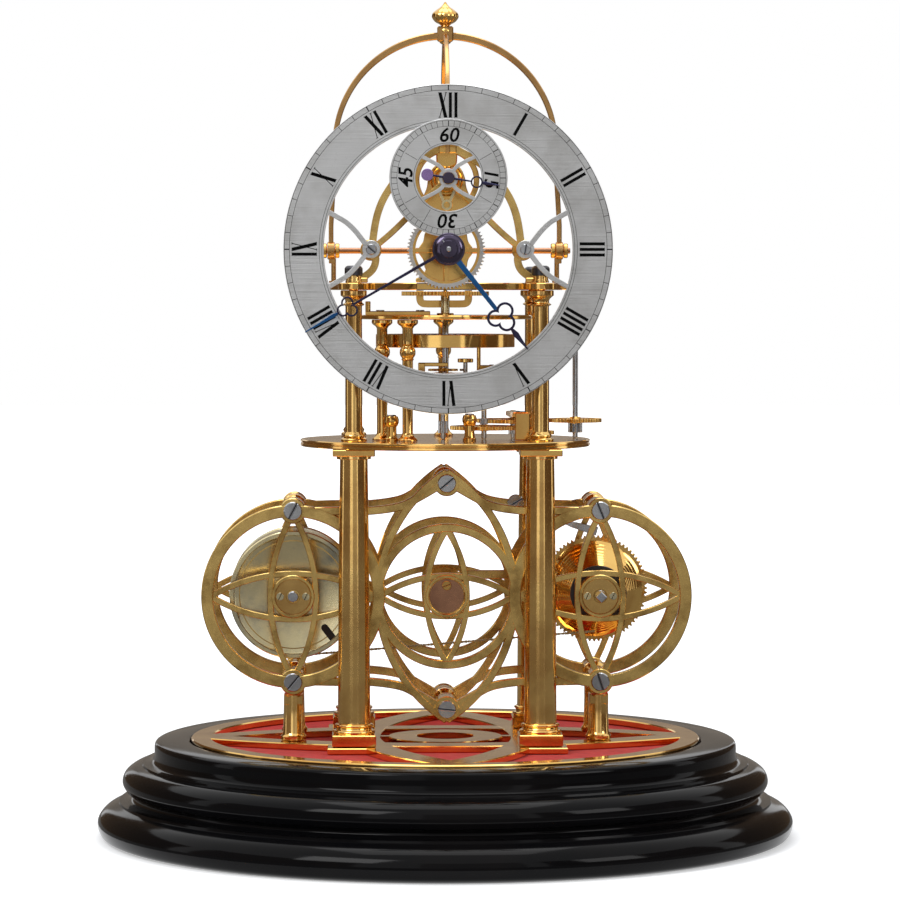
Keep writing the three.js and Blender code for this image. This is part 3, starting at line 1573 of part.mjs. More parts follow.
function handShapes({ length, shaftWidth, tailWidth }) {
  const r = handRingRadius;
  const low = length * handRingShare;
  const high = low + r * 1.6;
  const half = handRingWidth / 2;
  const places = [[-r, low], [r, low], [0, high]];
  const shapes = places.map(([x, z]) => ringShape(r + half, r - half, smallRound, x, z));
  shapes.push(taperShape(tailWidth, 0, shaftWidth, low - r * 0.2));
  shapes.push(taperShape(shaftWidth, high + r - half, handTipWidth, length));
  return shapes;
}

function makeHand({ name, spec, y, angle, collet, bore, extra }) {
  const shapes = handShapes(spec).concat(discShape(collet, midRound));
  const hand = join([standingPlates(shapes, y - handThick, y)].concat(extra));
  const hole = depthHole(bore, -dialRadius, 0, 0, 0, smallRound);
  addPiece(name, cut(hand, [hole]).rotate([0, angle, 0]).translate([0, 0, dialAxisZ]), bluedSteel);
}

function makeHands() {
  const pipeBack = dialBackY + hourPipeReach;
  makeHand({
    name: "hour_hand",
    spec: { length: hourHandLength, shaftWidth: hourShaftWidth, tailWidth: hourTailWidth },
    y: hourHandBackY,
    angle: hourAngle,
    collet: colletRadius,
    bore: minuteArborRadius + runGap,
    extra: [
      depthRod(hourPipeRadius, hourHandBackY - handThick / 2, pipeBack, 0, 0, smallRound),
      depthRod(hourPipeDisc, pipeBack - hourPipeDiscThick, pipeBack, 0, 0, midRound),
    ],
  });
  makeHand({
    name: "minute_hand",
    spec: { length: minuteHandLength, shaftWidth: minuteShaftWidth, tailWidth: minuteTailWidth },
    y: minuteHandBackY,
    angle: minuteAngle,
    collet: minuteColletRadius,
    bore: minuteArborRadius + seat,
    extra: [depthRod(minuteCapRadius, minuteHandFrontY, minuteHandBackY - handThick / 2, 0, 0, smallRound)],
  });
}

function makeSecondsHand() {
  const y = secondsHandBackY;
  const ringAt = secondHandLength * 0.6;
  const ringEdge = secondsRingRadius - secondsRingWidth / 2;
  const pinionBack = dialFrameFrontY - secondsPinionHeight;
  const shapes = [
    ringShape(secondsRingRadius, secondsRingRadius - secondsRingWidth, smallRound, 0, ringAt),
    discShape(secondsTailRadius, smallRound, 0, -secondsTailLength),
    taperShape(secondsShaftWidth, -secondsTailLength, secondsShaftWidth, ringAt - ringEdge),
    taperShape(secondsShaftWidth, ringAt + ringEdge, secondsTipWidth, secondHandLength),
  ];
  const blade = standingPlates(shapes, y - secondsHandThick, y);
  const arborFront = y - secondsHandThick / 2;
  const arbor = depthRod(secondsArborRadius, arborFront, dialFrameBackY + lap, 0, 0, tinyRound);
  const pinionFront = pinionBack - secondsPinionHeight;
  const pinion = depthRod(secondsPinionRadius, pinionFront, pinionBack, 0, 0, tinyRound);
  const hand = join([blade, arbor, pinion]).rotate([0, secondAngle, 0]);
  addPiece("seconds_hand", hand.translate([0, 0, secondsAxisZ]), bluedSteel);
}

// Dials: pierced rings with curved arms to the screws that hold them.
function makeDial() {
  const ring = ringShape(dialRadius, dialBore, fineRound + 2);
  const shapes = [ring];
  for (const side of [-1, 1]) {
    for (const way of [-1, 1]) {
      const span = dialBore - washerX;
      const arm = [[1.066, 0.683], [0.672, 0.492], [0.328, 0.12], [0.055, 0.033]]
        .map(([out, up]) => [side * (washerX + out * span), way * up * span]);
      shapes.push(smoothBar(arm, dialArmWidth, 3));
    }
    shapes.push(discShape(washerRadius, smallRound, side * washerX, 0));
  }
  const holes = [-1, 1].map((side) => depthHole(dialPostNeck + seat, -overcut, dialThick + overcut,
    side * washerX, 0, tinyRound));
  const plate = standingPlates(shapes, 0, dialThick);
  const dial = cut(plate, holes).translate([0, dialFrontY, dialAxisZ]);
  addPiece("chapter_ring", dial, silveredBrass);
}

function makeSecondsDial() {
  const backY = secondsFrontY + dialThick;
  const shapes = [ringShape(secondsRadius, secondsBore, ringRound)];
  for (const [sx, sz] of [[-1, -1], [-1, 1], [1, -1], [1, 1]]) {
    const arm = [[0.12, 0.12], [0.42, 0.33], [0.75, 0.77]]
      .map(([out, up]) => [sx * out * secondsBore, sz * up * secondsBore]);
    shapes.push(smoothBar(arm, secondsArmWidth, 3));
  }
  shapes.push(discShape(secondsBossRadius, smallRound));
  const parts = [standingPlates(shapes, secondsFrontY, backY)];
  const postX = washerX * secondsPostShare;
  const postZ = dialFrameTop * secondsPostRise - secondsRise;
  const postFront = backY - dialThick / 2;
  for (const side of [-1, 1]) {
    parts.push(depthRod(secondsPostRadius, postFront, dialFrameFrontY - seat,
      side * postX, postZ, tinyRound));
  }
  const through = secondsArborRadius + runGap;
  const bore = depthHole(through, secondsFrontY - overcut, backY + overcut, 0, 0, tinyRound);
  addPiece("seconds_ring", cut(join(parts), [bore]).translate([0, 0, secondsAxisZ]), silveredBrass);
}

// Dial frame: a gothic arch with crossed inner arms, standing on the top plate.
function makeDialFrame() {
  const foot = topPlateTop + seat - dialAxisZ;
  const footX = washerX * dialFootShare;
  const flank = [[0, 0], [0.09, 0.333], [0.252, 0.571], [0.53, 0.795], [1, 1]]
    .map(([across, up]) => [-washerX * (1 - across), dialFrameTop * up]);
  const outer = [[-footX, foot + dialFootHeight / 2], [-(footX + washerX) / 2, foot / 2], ...flank];
  const inner = [[0, 0], [0.262, 0.236], [0.513, 0.502], [0.748, 0.764], [1, 1]]
    .map(([across, up]) => [-washerX * (1 - across), secondsRise * up]);
  const shapes = [
    smoothBar(outer, dialFrameBar, 7),
    smoothBar(mirrored(outer), dialFrameBar, 7),
    smoothBar(inner, dialFrameInnerBar, 4),
    smoothBar(mirrored(inner), dialFrameInnerBar, 4),
    ringShape(dialFrameRing, dialFrameRingBore, midRound, 0, secondsRise),
    discShape(dialFrameDisc, smallRound, -washerX, 0),
    discShape(dialFrameDisc, smallRound, washerX, 0),
  ];
  const parts = [standingPlates(shapes, dialFrameFrontY, dialFrameBackY)];
  for (const side of [-1, 1]) {
    const x = side * washerX;
    const headBack = dialFrontY - seat;
    const tipY = headBack - dialScrewHeight;
    const footX0 = side * footX - dialFootSide / 2;
    parts.push(box(footX0, footX0 + dialFootSide, dialFrameFrontY - dialFootFlange,
      dialFrameBackY + dialFootFlange, foot, foot + dialFootHeight));
    parts.push(turnedAlongDepth([
      [0, tipY],
      [dialScrewRadius, tipY],
      [dialScrewRadius, headBack],
      [dialPostNeck, headBack],
      [dialPostNeck, dialBackY + seat],
      [dialPostRadius, dialBackY + seat],
      [dialPostRadius, dialFrameFrontY + lap],
      [0, dialFrameFrontY + lap],
    ], x, 0, tinyRound));
  }
  const beamBottom = dialFrameTop - dialBeamDrop;
  parts.push(box(-dialBeamHalfWidth, dialBeamHalfWidth, -hoopRadius + dialBeamInset, dialFrameBackY,
    beamBottom, beamBottom + dialBeamHeight));
  const boreFront = dialFrameFrontY - overcut;
  const boreBack = dialFrameBackY + overcut;
  const bore = depthHole(secondsArborRadius + runGap, boreFront, boreBack, 0, secondsRise, tinyRound);
  const frame = cut(join(parts), [bore]).translate([0, 0, dialAxisZ]);
  addPiece("dial_frame", frame, polishedBrass);
}

// Hoops: two half circles that cross under the finial with a halved joint.
const hoopCentreZ = topPlateTop + hoopRise;
const hoopTopZ = hoopCentreZ + hoopRadius;

function hoopShape(leftFoot, rightFoot) {
  const points = [...leftFoot];
  for (let i = 0; i <= hoopSteps; i += 1) {
    points.push(polar(hoopRadius, Math.PI - (i / hoopSteps) * Math.PI, 0, hoopCentreZ));
  }
  points.push(...rightFoot);
  return barShape(points, hoopBar);
}

function hoopPinHole() {
  return uprightHole(finialStudRadius + seat, hoopTopZ - hoopBar, hoopTopZ + hoopBar, 0, 0, tinyRound);
}

function makeSideHoop() {
  const half = hoopBar / 2;
  const eyeTop = dialAxisZ + hoopEyeRadius;
  const eyeLow = dialAxisZ - hoopEyeRadius;
  const arch = hoopShape(
    [new THREE.Vector2(-hoopFootX, dialAxisZ), new THREE.Vector2(-hoopFootX, eyeTop)],
    [new THREE.Vector2(hoopFootX, eyeTop), new THREE.Vector2(hoopFootX, dialAxisZ)],
  );
  const parts = [standingPlate(arch, -half, half)];
  const holes = [];
  for (const side of [-1, 1]) {
    const x = side * hoopFootX;
    parts.push(sideRod(hoopEyeRadius, x - half, x + half, 0, dialAxisZ, smallRound));
    const postX = side * (topPlateRadius - hoopPostInset);
    parts.push(uprightRod(hoopPostRadius, topPlateTop + seat, eyeLow, postX, 0, tinyRound));
    const lugInner = side * (hoopFootX - half);
    parts.push(box(Math.min(x, lugInner), Math.max(x, lugInner), -hoopLugHalfWidth, hoopLugHalfWidth,
      eyeLow - hoopLugDrop, eyeLow + hoopLugRise));
    holes.push(sideHole(rodRadius + seat, x - hoopBar, x + hoopBar, 0, dialAxisZ, smallRound));
  }
  const notch = box(-half - seat, half + seat, -half - overcut, half + overcut,
    hoopTopZ - half - overcut, hoopTopZ + seat);
  holes.push(notch, hoopPinHole());
  addPiece("side_hoop", cut(join(parts), holes), polishedBrass);
}

function makeCrossHoop() {
  const half = hoopBar / 2;
  const frontFoot = dialAxisZ + dialFrameTop - dialBeamDrop;
  const arch = hoopShape(
    [new THREE.Vector2(-hoopRadius, frontFoot)],
    [new THREE.Vector2(hoopRadius, topPlateTop + seat)],
  );
  const blade = standingPlate(arch, -half, half).rotate([0, 0, 90]);
  const notch = box(-half - overcut, half + overcut, -half - seat, half + seat,
    hoopTopZ - seat, hoopTopZ + half + overcut);
  addPiece("cross_hoop", cut(blade, [notch, hoopPinHole()]), polishedBrass);
}

function makeCrossRod() {
  const eye = hoopFootX + hoopBar / 2 + seat;
  const eyeInner = hoopFootX - hoopBar / 2 - seat;
  const end = eye + rodNutWidth + rodEndProud;
  const parts = [sideRod(rodRadius, -end, end, 0, dialAxisZ, tinyRound)];
  for (const side of [-1, 1]) {
    for (const [a, b] of [[eye, eye + rodNutWidth], [eyeInner - rodNutWidth, eyeInner]]) {
      parts.push(sideRod(rodNutRadius, Math.min(side * a, side * b), Math.max(side * a, side * b),
        0, dialAxisZ, smallRound));
    }
  }
  addPiece("cross_rod", join(parts), copperRod);
}

// Finial: a fluted onion on a neck, with a stud through the crossing and a button below.
function makeFinial() {
  const bottom = hoopTopZ + hoopBar / 2 + seat;
  const archDrop = finialButtonRadius * Math.tan(Math.PI / (2 * hoopSteps));
  const under = hoopTopZ - hoopBar / 2 - archDrop - seat;
  const top = bottom + finialHeight;
  const onion = [[0.37, 0.25], [0.82, 0.38], [1, 0.52], [0.8, 0.68], [0.36, 0.82]]
    .map(([out, up]) => [out * finialRadius, bottom + up * finialHeight]);
  const profile = [
    [0, under - finialButtonHeight],
    [finialButtonRadius * 0.7, under - finialButtonHeight],
    [finialButtonRadius, under],
    [finialStudRadius, under],
    [finialStudRadius, bottom],
    [finialNeckRadius, bottom],
    [finialNeckRadius * 0.93, bottom + finialHeight * 0.12],
    [finialWaistRadius, bottom + finialHeight * 0.17],
    ...onion,
    [finialTipRadius, top],
    [0, top],
  ];
  const geometry = turned(profile, finialFlutes * 2);
  geometry.rotateX(Math.PI / 2);
  const place = geometry.getAttribute("position");
  const point = new THREE.Vector3();
  for (let i = 0; i < place.count; i += 1) {
    point.fromBufferAttribute(place, i);
    const radius = Math.hypot(point.x, point.y);
    if (point.z > bottom + finialHeight * 0.3 && radius > finialTipRadius * 2) {
      const flute = 1 - Math.cos(finialFlutes * Math.atan2(point.y, point.x));
      const wave = 1 - finialFluteDepth * flute;
      place.setXYZ(i, point.x * wave, point.y * wave, point.z);
    }
  }
  addPiece("finial", toSolid(geometry), polishedBrass);
}

makeBase();
makeBasePlate();
for (const [place, x, y] of columnPlaces()) {
  makeLowerColumn(`lower_column_${place}`, x, y);
  makeUpperColumn(`upper_column_${place}`, x, y);
  makeLeg(`movement_leg_${place}`, Math.sign(x) * sideRingX, Math.sign(y) * legY);
}
makeFrames();
framePillarPlaces.forEach(([name, x, z]) => makeFramePillar(name, x, z));
makeBarrel();
makeFusee();
makeChain();
makeContrateWheel();
makeMidPlate();
makeTopPlate();
platePillarPlaces().forEach(([x, y], i) => makePlatePillar(`plate_pillar_${i + 1}`, x, y));
makeSubPlate();
makeStirrup();
makeTrain();
makePlatform();
makeEscapeWheel();
makeBalance();
makeBalanceSpring();
makeDetent();
makeCrownWheel();
makeMotionWheel();
makeMotionCock();
makeHands();
makeSecondsHand();
makeDial();
makeSecondsDial();
makeDialFrame();
makeSideHoop();
makeCrossHoop();
makeCrossRod();
makeFinial();

export default clock;
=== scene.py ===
"""A skeleton clock on a turned black base, dressed for a studio picture.

Sizes are millimetres, +Z is up and the front faces -Y. Every piece takes its
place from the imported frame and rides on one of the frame's bodies.
"""

import logging
import math
from collections.abc import Callable, Sequence
from dataclasses import dataclass
from enum import Enum

import bmesh
import bpy
from mathutils import Matrix, Vector


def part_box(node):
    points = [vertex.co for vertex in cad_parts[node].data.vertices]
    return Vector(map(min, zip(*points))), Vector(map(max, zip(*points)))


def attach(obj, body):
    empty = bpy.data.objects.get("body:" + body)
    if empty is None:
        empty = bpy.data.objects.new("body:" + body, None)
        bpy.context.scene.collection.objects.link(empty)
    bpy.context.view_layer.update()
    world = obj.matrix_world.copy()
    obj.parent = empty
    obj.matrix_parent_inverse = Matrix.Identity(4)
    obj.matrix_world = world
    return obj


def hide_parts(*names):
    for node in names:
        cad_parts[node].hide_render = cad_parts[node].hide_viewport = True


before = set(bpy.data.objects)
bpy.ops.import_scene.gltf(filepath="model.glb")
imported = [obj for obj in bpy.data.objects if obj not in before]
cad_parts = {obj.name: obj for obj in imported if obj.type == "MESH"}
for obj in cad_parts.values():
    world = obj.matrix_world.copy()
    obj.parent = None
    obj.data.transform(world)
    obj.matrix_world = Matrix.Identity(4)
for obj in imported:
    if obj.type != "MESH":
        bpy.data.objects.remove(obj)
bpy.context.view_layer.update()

LOG = logging.getLogger("clock")
MM = 0.001
FULL_TURN = 2 * math.pi
WELD = 1e-4
SHARP_ANGLE = math.radians(32)
CHAMFER_ANGLE = math.radians(40)
SIDES = (-1, 1)
CORNERS = ("front_left", "front_right", "back_left", "back_right")
COLUMN_X, COLUMN_Y = 36.6, 34.0

Point = tuple[float, float]
Line = tuple[Point, ...]
Place = tuple[float, float, float]
Colour = tuple[float, float, float]
Shell = bmesh.types.BMesh
Socket = bpy.types.NodeSocket


class Graph:
    """A node tree in the making, with short calls to add and join nodes."""

    def __init__(self, tree: bpy.types.NodeTree) -> None:
        """Takes over a tree and empties it."""
        self.tree = tree
        tree.nodes.clear()

    def node(self, kind: str, inputs: dict | None = None, **settings: object) -> bpy.types.Node:
        """Adds one node.

        Args:
            kind: The node's type name.
            inputs: Values or sockets for its inputs, by name or number.
            settings: Properties of the node itself.

        Returns:
            The new node.
        """
        made = self.tree.nodes.new(kind)
        for key, value in settings.items():
            setattr(made, key, value)
        for key, value in (inputs or {}).items():
            if isinstance(value, bpy.types.NodeSocket):
                self.tree.links.new(value, made.inputs[key])
            else:
                made.inputs[key].default_value = value
        return made

    def math(self, operation: str, *values: object) -> Socket:
        """Works out one number from numbers or sockets."""
        return self.node("ShaderNodeMath", dict(enumerate(values)), operation=operation).outputs[0]

    def noise(self, place: Socket, **inputs: object) -> Socket:
        """A cloudy pattern; the inputs are named as on the node."""
        return self.node("ShaderNodeTexNoise", {"Vector": place, **inputs}).outputs["Fac"]

    def group(self, tree: bpy.types.NodeTree, **inputs: object) -> Socket:
        """Places a shared group and gives its only output."""
        return self.node("ShaderNodeGroup", inputs, node_tree=tree).outputs[0]

    def ramp(self, value: Socket, low: float, high: float) -> Socket:
        """Spreads the range from low to high over 0 to 1, with soft ends."""
        inputs = {"Value": value, "From Min": low, "From Max": high}
        return self.node("ShaderNodeMapRange", inputs, interpolation_type="SMOOTHSTEP").outputs["Result"]

    def seen_by(self, *rays: str) -> Socket:
        """A mask that is 1 for the named kinds of ray.

        Args:
            rays: The names of the rays.

        Returns:
            The mask's socket.
        """
        path = self.node("ShaderNodeLightPath")
        seen = path.outputs[rays[0]]
        for ray in rays[1:]:
            seen = self.math("MAXIMUM", seen, path.outputs[ray])
        return seen


def new_group(
    name: str, inputs: dict[str, object], output: str, kind: str
) -> tuple[Graph, dict[str, Socket]]:
    """Starts a shader node group with named sockets.

    Args:
        name: The group's name.
        inputs: Each input's default value; its type follows from the value.
        output: The output's name.
        kind: The output's socket type.

    Returns:
        The graph to fill and the sockets of its inputs.
    """
    tree = bpy.data.node_groups.new(name, "ShaderNodeTree")
    graph = Graph(tree)
    for key, value in inputs.items():
        shape = "Float" if isinstance(value, float) else {4: "Color", 3: "Vector"}[len(value)]
        socket = tree.interface.new_socket(key, in_out="INPUT", socket_type=f"NodeSocket{shape}")
        socket.default_value = value
    tree.interface.new_socket(output, in_out="OUTPUT", socket_type=kind)
    given = graph.node("NodeGroupInput")
    return graph, {key: given.outputs[key] for key in inputs}


def with_alpha(colour: Colour) -> tuple[float, float, float, float]:
    """Adds the fourth number that a colour socket asks for."""
    return (*colour, 1.0)


@dataclass(frozen=True)
class SurfaceEffects:
    """The node groups that the finishes share."""

    aged: bpy.types.NodeTree
    handled: bpy.types.NodeTree
    grain: bpy.types.NodeTree

    @classmethod
    def build(cls) -> "SurfaceEffects":
        """Makes the three groups once."""
        return cls(cls.aged_colour(), cls.handled_roughness(), cls.drawn_grain())

    @staticmethod
    def aged_colour() -> bpy.types.NodeTree:
        """Clean metal with broad tarnish and small specks.

        Returns:
            The node group.
        """
        inputs = {
            "Vector": (0.0, 0.0, 0.0), "Clean": (0.8, 0.8, 0.8, 1.0), "Tarnish": (0.4, 0.4, 0.4, 1.0),
            "Amount": 0.5, "Scale": 60.0,
        }
        graph, given = new_group("Aged colour", inputs, "Color", "NodeSocketColor")
        cloud_low, cloud_high = 0.38, 0.72
        speck_low, speck_high = 0.6, 0.78
        speck_share, speck_scale = 0.7, 14.0
        broad = graph.noise(given["Vector"], Scale=given["Scale"], Detail=4.0, Roughness=0.6)
        small = graph.math("MULTIPLY", given["Scale"], speck_scale)
        fine = graph.noise(given["Vector"], Scale=small, Detail=3.0, Roughness=0.7)
        clouds = graph.ramp(broad, cloud_low, cloud_high)
        specks = graph.math("MULTIPLY", graph.ramp(fine, speck_low, speck_high), speck_share)
        mask = graph.math("MULTIPLY", graph.math("MAXIMUM", clouds, specks), given["Amount"])
        colours = {0: mask, 6: given["Clean"], 7: given["Tarnish"]}
        mixed = graph.node("ShaderNodeMix", colours, data_type="RGBA")
        graph.node("NodeGroupOutput", {"Color": mixed.outputs[2]})
        return graph.tree

    @staticmethod
    def handled_roughness() -> bpy.types.NodeTree:
        """Polish that wanders with smears and wiping marks.

        Returns:
            The node group.
        """
        inputs = {"Vector": (0.0, 0.0, 0.0), "Polish": 0.2, "Spread": 0.1}
        graph, given = new_group("Handled roughness", inputs, "Roughness", "NodeSocketFloat")
        mark_share, middle, least = 0.4, 0.55, 0.03
        smears = graph.noise(given["Vector"], Scale=90.0, Detail=5.0, Distortion=0.6)
        marks = graph.noise(given["Vector"], Scale=900.0, Detail=2.0)
        blend = graph.math("ADD", smears, graph.math("MULTIPLY", marks, mark_share))
        offset = graph.math("MULTIPLY", graph.math("SUBTRACT", blend, middle), given["Spread"])
        rough = graph.math("MAXIMUM", graph.math("ADD", given["Polish"], offset), least)
        graph.node("NodeGroupOutput", {"Roughness": rough})
        return graph.tree

    @staticmethod
    def drawn_grain() -> bpy.types.NodeTree:
        """Fine lines drawn along one direction, as a height.

        Returns:
            The node group.
        """
        inputs = {"Vector": (0.0, 0.0, 0.0), "Lines": (1.0, 1.0, 1.0), "Fineness": 900.0}
        graph, given = new_group("Drawn grain", inputs, "Height", "NodeSocketFloat")
        stretch = {0: given["Vector"], 1: given["Lines"]}
        drawn = graph.node("ShaderNodeVectorMath", stretch, operation="MULTIPLY").outputs[0]
        lines = graph.noise(drawn, Scale=given["Fineness"], Detail=4.0, Roughness=0.65)
        graph.node("NodeGroupOutput", {"Height": lines})
        return graph.tree


EFFECTS = SurfaceEffects.build()


class Grain(Enum):
    """The direction that a finish is worked in, as a stretch of its pattern."""

    EVEN = (1.0, 1.0, 1.0)
    ACROSS = (0.02, 1.0, 1.0)
    UPRIGHT = (1.0, 1.0, 0.03)


@dataclass(frozen=True)
class Finish:
    """One surface finish, built as a material when it is first used."""

    name: str
    slot: str
    clean: Colour
    tarnish: Colour
    amount: float
    polish: float
    spread: float
    relief: float = 0.05
    scale: float = 60.0
    metallic: float = 1.0
    grain: Grain = Grain.EVEN
    fineness: float = 900.0
    sheen: float = 0.0
    specular: float = 0.5
    depth: float = 0.0002

    def material(self) -> bpy.types.Material:
        """Gives the material, built on the first call.

        Returns:
            The material of this finish.
        """
        name = f"{self.name}_finish"
        made = bpy.data.materials.get(name)
        if made is None:
            made = bpy.data.materials.new(name)
            made.use_nodes = True
            self.fill(Graph(made.node_tree))
        return made

    def fill(self, graph: Graph) -> None:
        """Joins the shared effects to the surface shader.

        Args:
            graph: The material's empty graph.
        """
        place = graph.node("ShaderNodeTexCoord").outputs["Object"]
        colour = graph.group(
            EFFECTS.aged, Vector=place, Clean=with_alpha(self.clean), Tarnish=with_alpha(self.tarnish),
            Amount=self.amount, Scale=self.scale,
        )
        rough = graph.group(EFFECTS.handled, Vector=place, Polish=self.polish, Spread=self.spread)
        height = graph.group(EFFECTS.grain, Vector=place, Lines=self.grain.value, Fineness=self.fineness)
        raised = {"Height": height, "Strength": self.relief, "Distance": self.depth}
        bump = graph.node("ShaderNodeBump", raised)
        worn = {
            "Base Color": colour, "Roughness": rough, "Normal": bump.outputs["Normal"],
            "Metallic": self.metallic, "Sheen Weight": self.sheen, "Specular IOR Level": self.specular,
        }
        shader = graph.node("ShaderNodeBsdfPrincipled", worn)
        graph.node("ShaderNodeOutputMaterial", {"Surface": shader.outputs[0]})


POLISHED_BRASS = Finish(
    "polished_brass", "polished_brass", (0.9, 0.57, 0.18), (0.6, 0.29, 0.07), 0.55, 0.1, 0.12, 0.03
)
TURNED_BRASS = Finish(
    "turned_brass", "polished_brass", (0.88, 0.57, 0.2), (0.55, 0.28, 0.08), 0.55, 0.12, 0.12, 0.04,
    grain=Grain.ACROSS, fineness=500.0,
)
SATIN_BRASS = Finish(
    "satin_brass", "satin_brass", (0.95, 0.66, 0.23), (0.4, 0.23, 0.065), 0.85, 0.16, 0.22, 0.1, 85.0,
    grain=Grain.UPRIGHT,
)
AGED_BRASS = Finish("aged_brass", "polished_brass", (0.66, 0.39, 0.15), (0.4, 0.21, 0.08), 0.7, 0.2, 0.16)
PALE_BRASS = Finish(
    "pale_brass", "pale_brass", (0.85, 0.74, 0.44), (0.36, 0.37, 0.32), 0.95, 0.19, 0.2, scale=48.0
)
COPPER = Finish("copper", "copper", (0.56, 0.29, 0.17), (0.3, 0.14, 0.09), 0.8, 0.2, 0.15, 0.04)
POLISHED_STEEL = Finish(
    "polished_steel", "polished_steel", (0.62, 0.64, 0.67), (0.28, 0.28, 0.3), 0.6, 0.16, 0.12
)
DARK_STEEL = Finish(
    "dark_steel", "dark_steel", (0.1, 0.1, 0.115), (0.05, 0.045, 0.045), 0.5, 0.28, 0.15, 0.08
)
CHAIN_STEEL = Finish("chain_steel", "dark_steel", (0.55, 0.4, 0.2), (0.22, 0.14, 0.07), 0.6, 0.25, 0.15)
BLUED_STEEL = Finish(
    "blued_steel", "blued_steel", (0.05, 0.055, 0.12), (0.05, 0.032, 0.055), 0.8, 0.16, 0.1, 0.02, 70.0
)
# Painted highlight: a brighter blue than the blued steel, laid on parts of the hands to stand in for light
# caught on them.
PAINTED_HIGHLIGHT_BLUE = Finish(
    "painted_highlight_blue", "blued_steel", (0.03, 0.15, 0.4), (0.02, 0.05, 0.17), 0.8, 0.16, 0.1, 0.02, 70.0
)
VIOLET_STEEL = Finish(
    "violet_steel", "blued_steel", (0.42, 0.28, 0.62), (0.25, 0.17, 0.36), 0.7, 0.22, 0.1, 0.02, 90.0
)
COLLET_STEEL = Finish(
    "collet_steel", "blued_steel", (0.1, 0.085, 0.135), (0.06, 0.048, 0.07), 0.8, 0.16, 0.1, 0.03, 70.0
)
SILVERED = Finish(
    "silvered", "silvered_brass", (0.74, 0.75, 0.76), (0.52, 0.52, 0.51), 0.6, 0.3, 0.16, 0.45,
    grain=Grain.ACROSS, fineness=1500.0,
)
BLACK_LACQUER = Finish(
    "lacquer", "black_lacquer", (0.003, 0.003, 0.0035), (0.006, 0.005, 0.005), 0.6, 0.09, 0.08, 0.02, 25.0,
    metallic=0.0, specular=0.1,
)
RED_FELT = Finish(
    "felt", "red_felt", (0.66, 0.035, 0.03), (0.42, 0.016, 0.016), 0.55, 0.95, 0.05, 0.9, 260.0,
    metallic=0.0, fineness=2200.0, sheen=0.15, specular=0.05,
)
BLACK_PRINT = Finish(
    "print", "silvered_brass", (0.002, 0.002, 0.002), (0.006, 0.006, 0.006), 0.4, 0.55, 0.1,
    metallic=0.0, specular=0.03,
)
# Painted shade: near-black steel laid where a slot lies in shadow.
SHADOWED_STEEL = Finish(
    "shadowed_steel", "dark_steel", (0.02, 0.018, 0.018), (0.04, 0.03, 0.02), 0.5, 0.6, 0.1, metallic=0.3
)


def polar(radius: float, turn: float) -> Point:
    """The point at a radius and an angle."""
    return (radius * math.cos(turn), radius * math.sin(turn))


def arc(radius: float, start: float, end: float, steps: int) -> list[Point]:
    """Points along an arc round 0, with both its ends.

    Args:
        radius: The arc's radius.
        start: The angle where it starts.
        end: The angle where it ends.
        steps: Steps along it.

    Returns:
        The points.
    """
    return [polar(radius, start + (end - start) * i / steps) for i in range(steps + 1)]


def circle(radius: float, steps: int) -> list[Point]:
    """Points round a circle, anticlockwise."""
    return arc(radius, 0.0, FULL_TURN, steps)[:-1]


def smooth_run(points: Sequence[Point], spans: int) -> list[Point]:
    """A smooth line through given points.

    Args:
        points: The points that the line passes.
        spans: Steps between two of them.

    Returns:
        The finer line.
    """
    ends = [points[0], *points, points[-1]]
    line = []
    for i in range(len(points) - 1):
        a, b, c, d = (Vector(p) for p in ends[i : i + 4])
        for t in (k / spans for k in range(spans)):
            bend = (2 * a - 5 * b + 4 * c - d) * t**2 + (3 * b - a - 3 * c + d) * t**3
            line.append(tuple(0.5 * (2 * b + (c - a) * t + bend)))
    return [*line, points[-1]]


def strip(points: Sequence[Point], width: float, tip: float | None = None) -> list[Point]:
    """The outline of a bar along a line.

    Args:
        points: The line.
        width: The bar's width at its start.
        tip: Its width at the end, or None for an even bar.

    Returns:
        The outline, the right-hand side first.
    """
    growth = 0.0 if tip is None else tip - width
    last = len(points) - 1
    left, right = [], []
    for i, point in enumerate(points):
        along = (Vector(points[min(i + 1, last)]) - Vector(points[max(i - 1, 0)])).normalized()
        side = Vector((-along.y, along.x)) * 0.5 * (width + growth * i / last)
        left.append(tuple(Vector(point) + side))
        right.append(tuple(Vector(point) - side))
    return right + left[::-1]


def mirrored(points: Sequence[Point]) -> list[Point]:
    """The same points on the other side of the upright axis."""
    return [(-x, y) for x, y in points]


def closed_over(points: Sequence[Point]) -> list[Point]:
    """A half outline and its mirror image, as one closed outline."""
    return [*points, *mirrored(points)[::-1]]


def four_ways(points: Sequence[Point]) -> list[list[Point]]:
    """The same line in each of the four quarters."""
    return [[(across * x, up * y) for x, y in points] for up in (1, -1) for across in (1, -1)]


def pointed_arches(half_width: float, half_height: float, steps: int) -> list[list[Point]]:
    """A pointed star of four arcs, each between two tips.

    Args:
        half_width: How far each arc bulges.
        half_height: Half the distance between its tips.
        steps: Steps along each arc.

    Returns:
        The two upright arcs, then the two level ones.
    """
    radius = (half_width**2 + half_height**2) / (2 * half_width)
    spread = math.asin(half_height / radius)
    bow = [(x - radius + half_width, y) for x, y in arc(radius, -spread, spread, steps)]
    upright = [[(side * x, y) for x, y in bow] for side in SIDES]
    return upright + [[(y, x) for x, y in line] for line in upright]


def cut_rim(teeth: int, tooth: Sequence[Point]) -> list[Point]:
    """A rim of equal teeth.

    Args:
        teeth: How many.
        tooth: Pairs of a share of the pitch and a radius.

    Returns:
        The outline.
    """
    pitch = FULL_TURN / teeth
    return [polar(radius, (i + share) * pitch) for i in range(teeth) for share, radius in tooth]


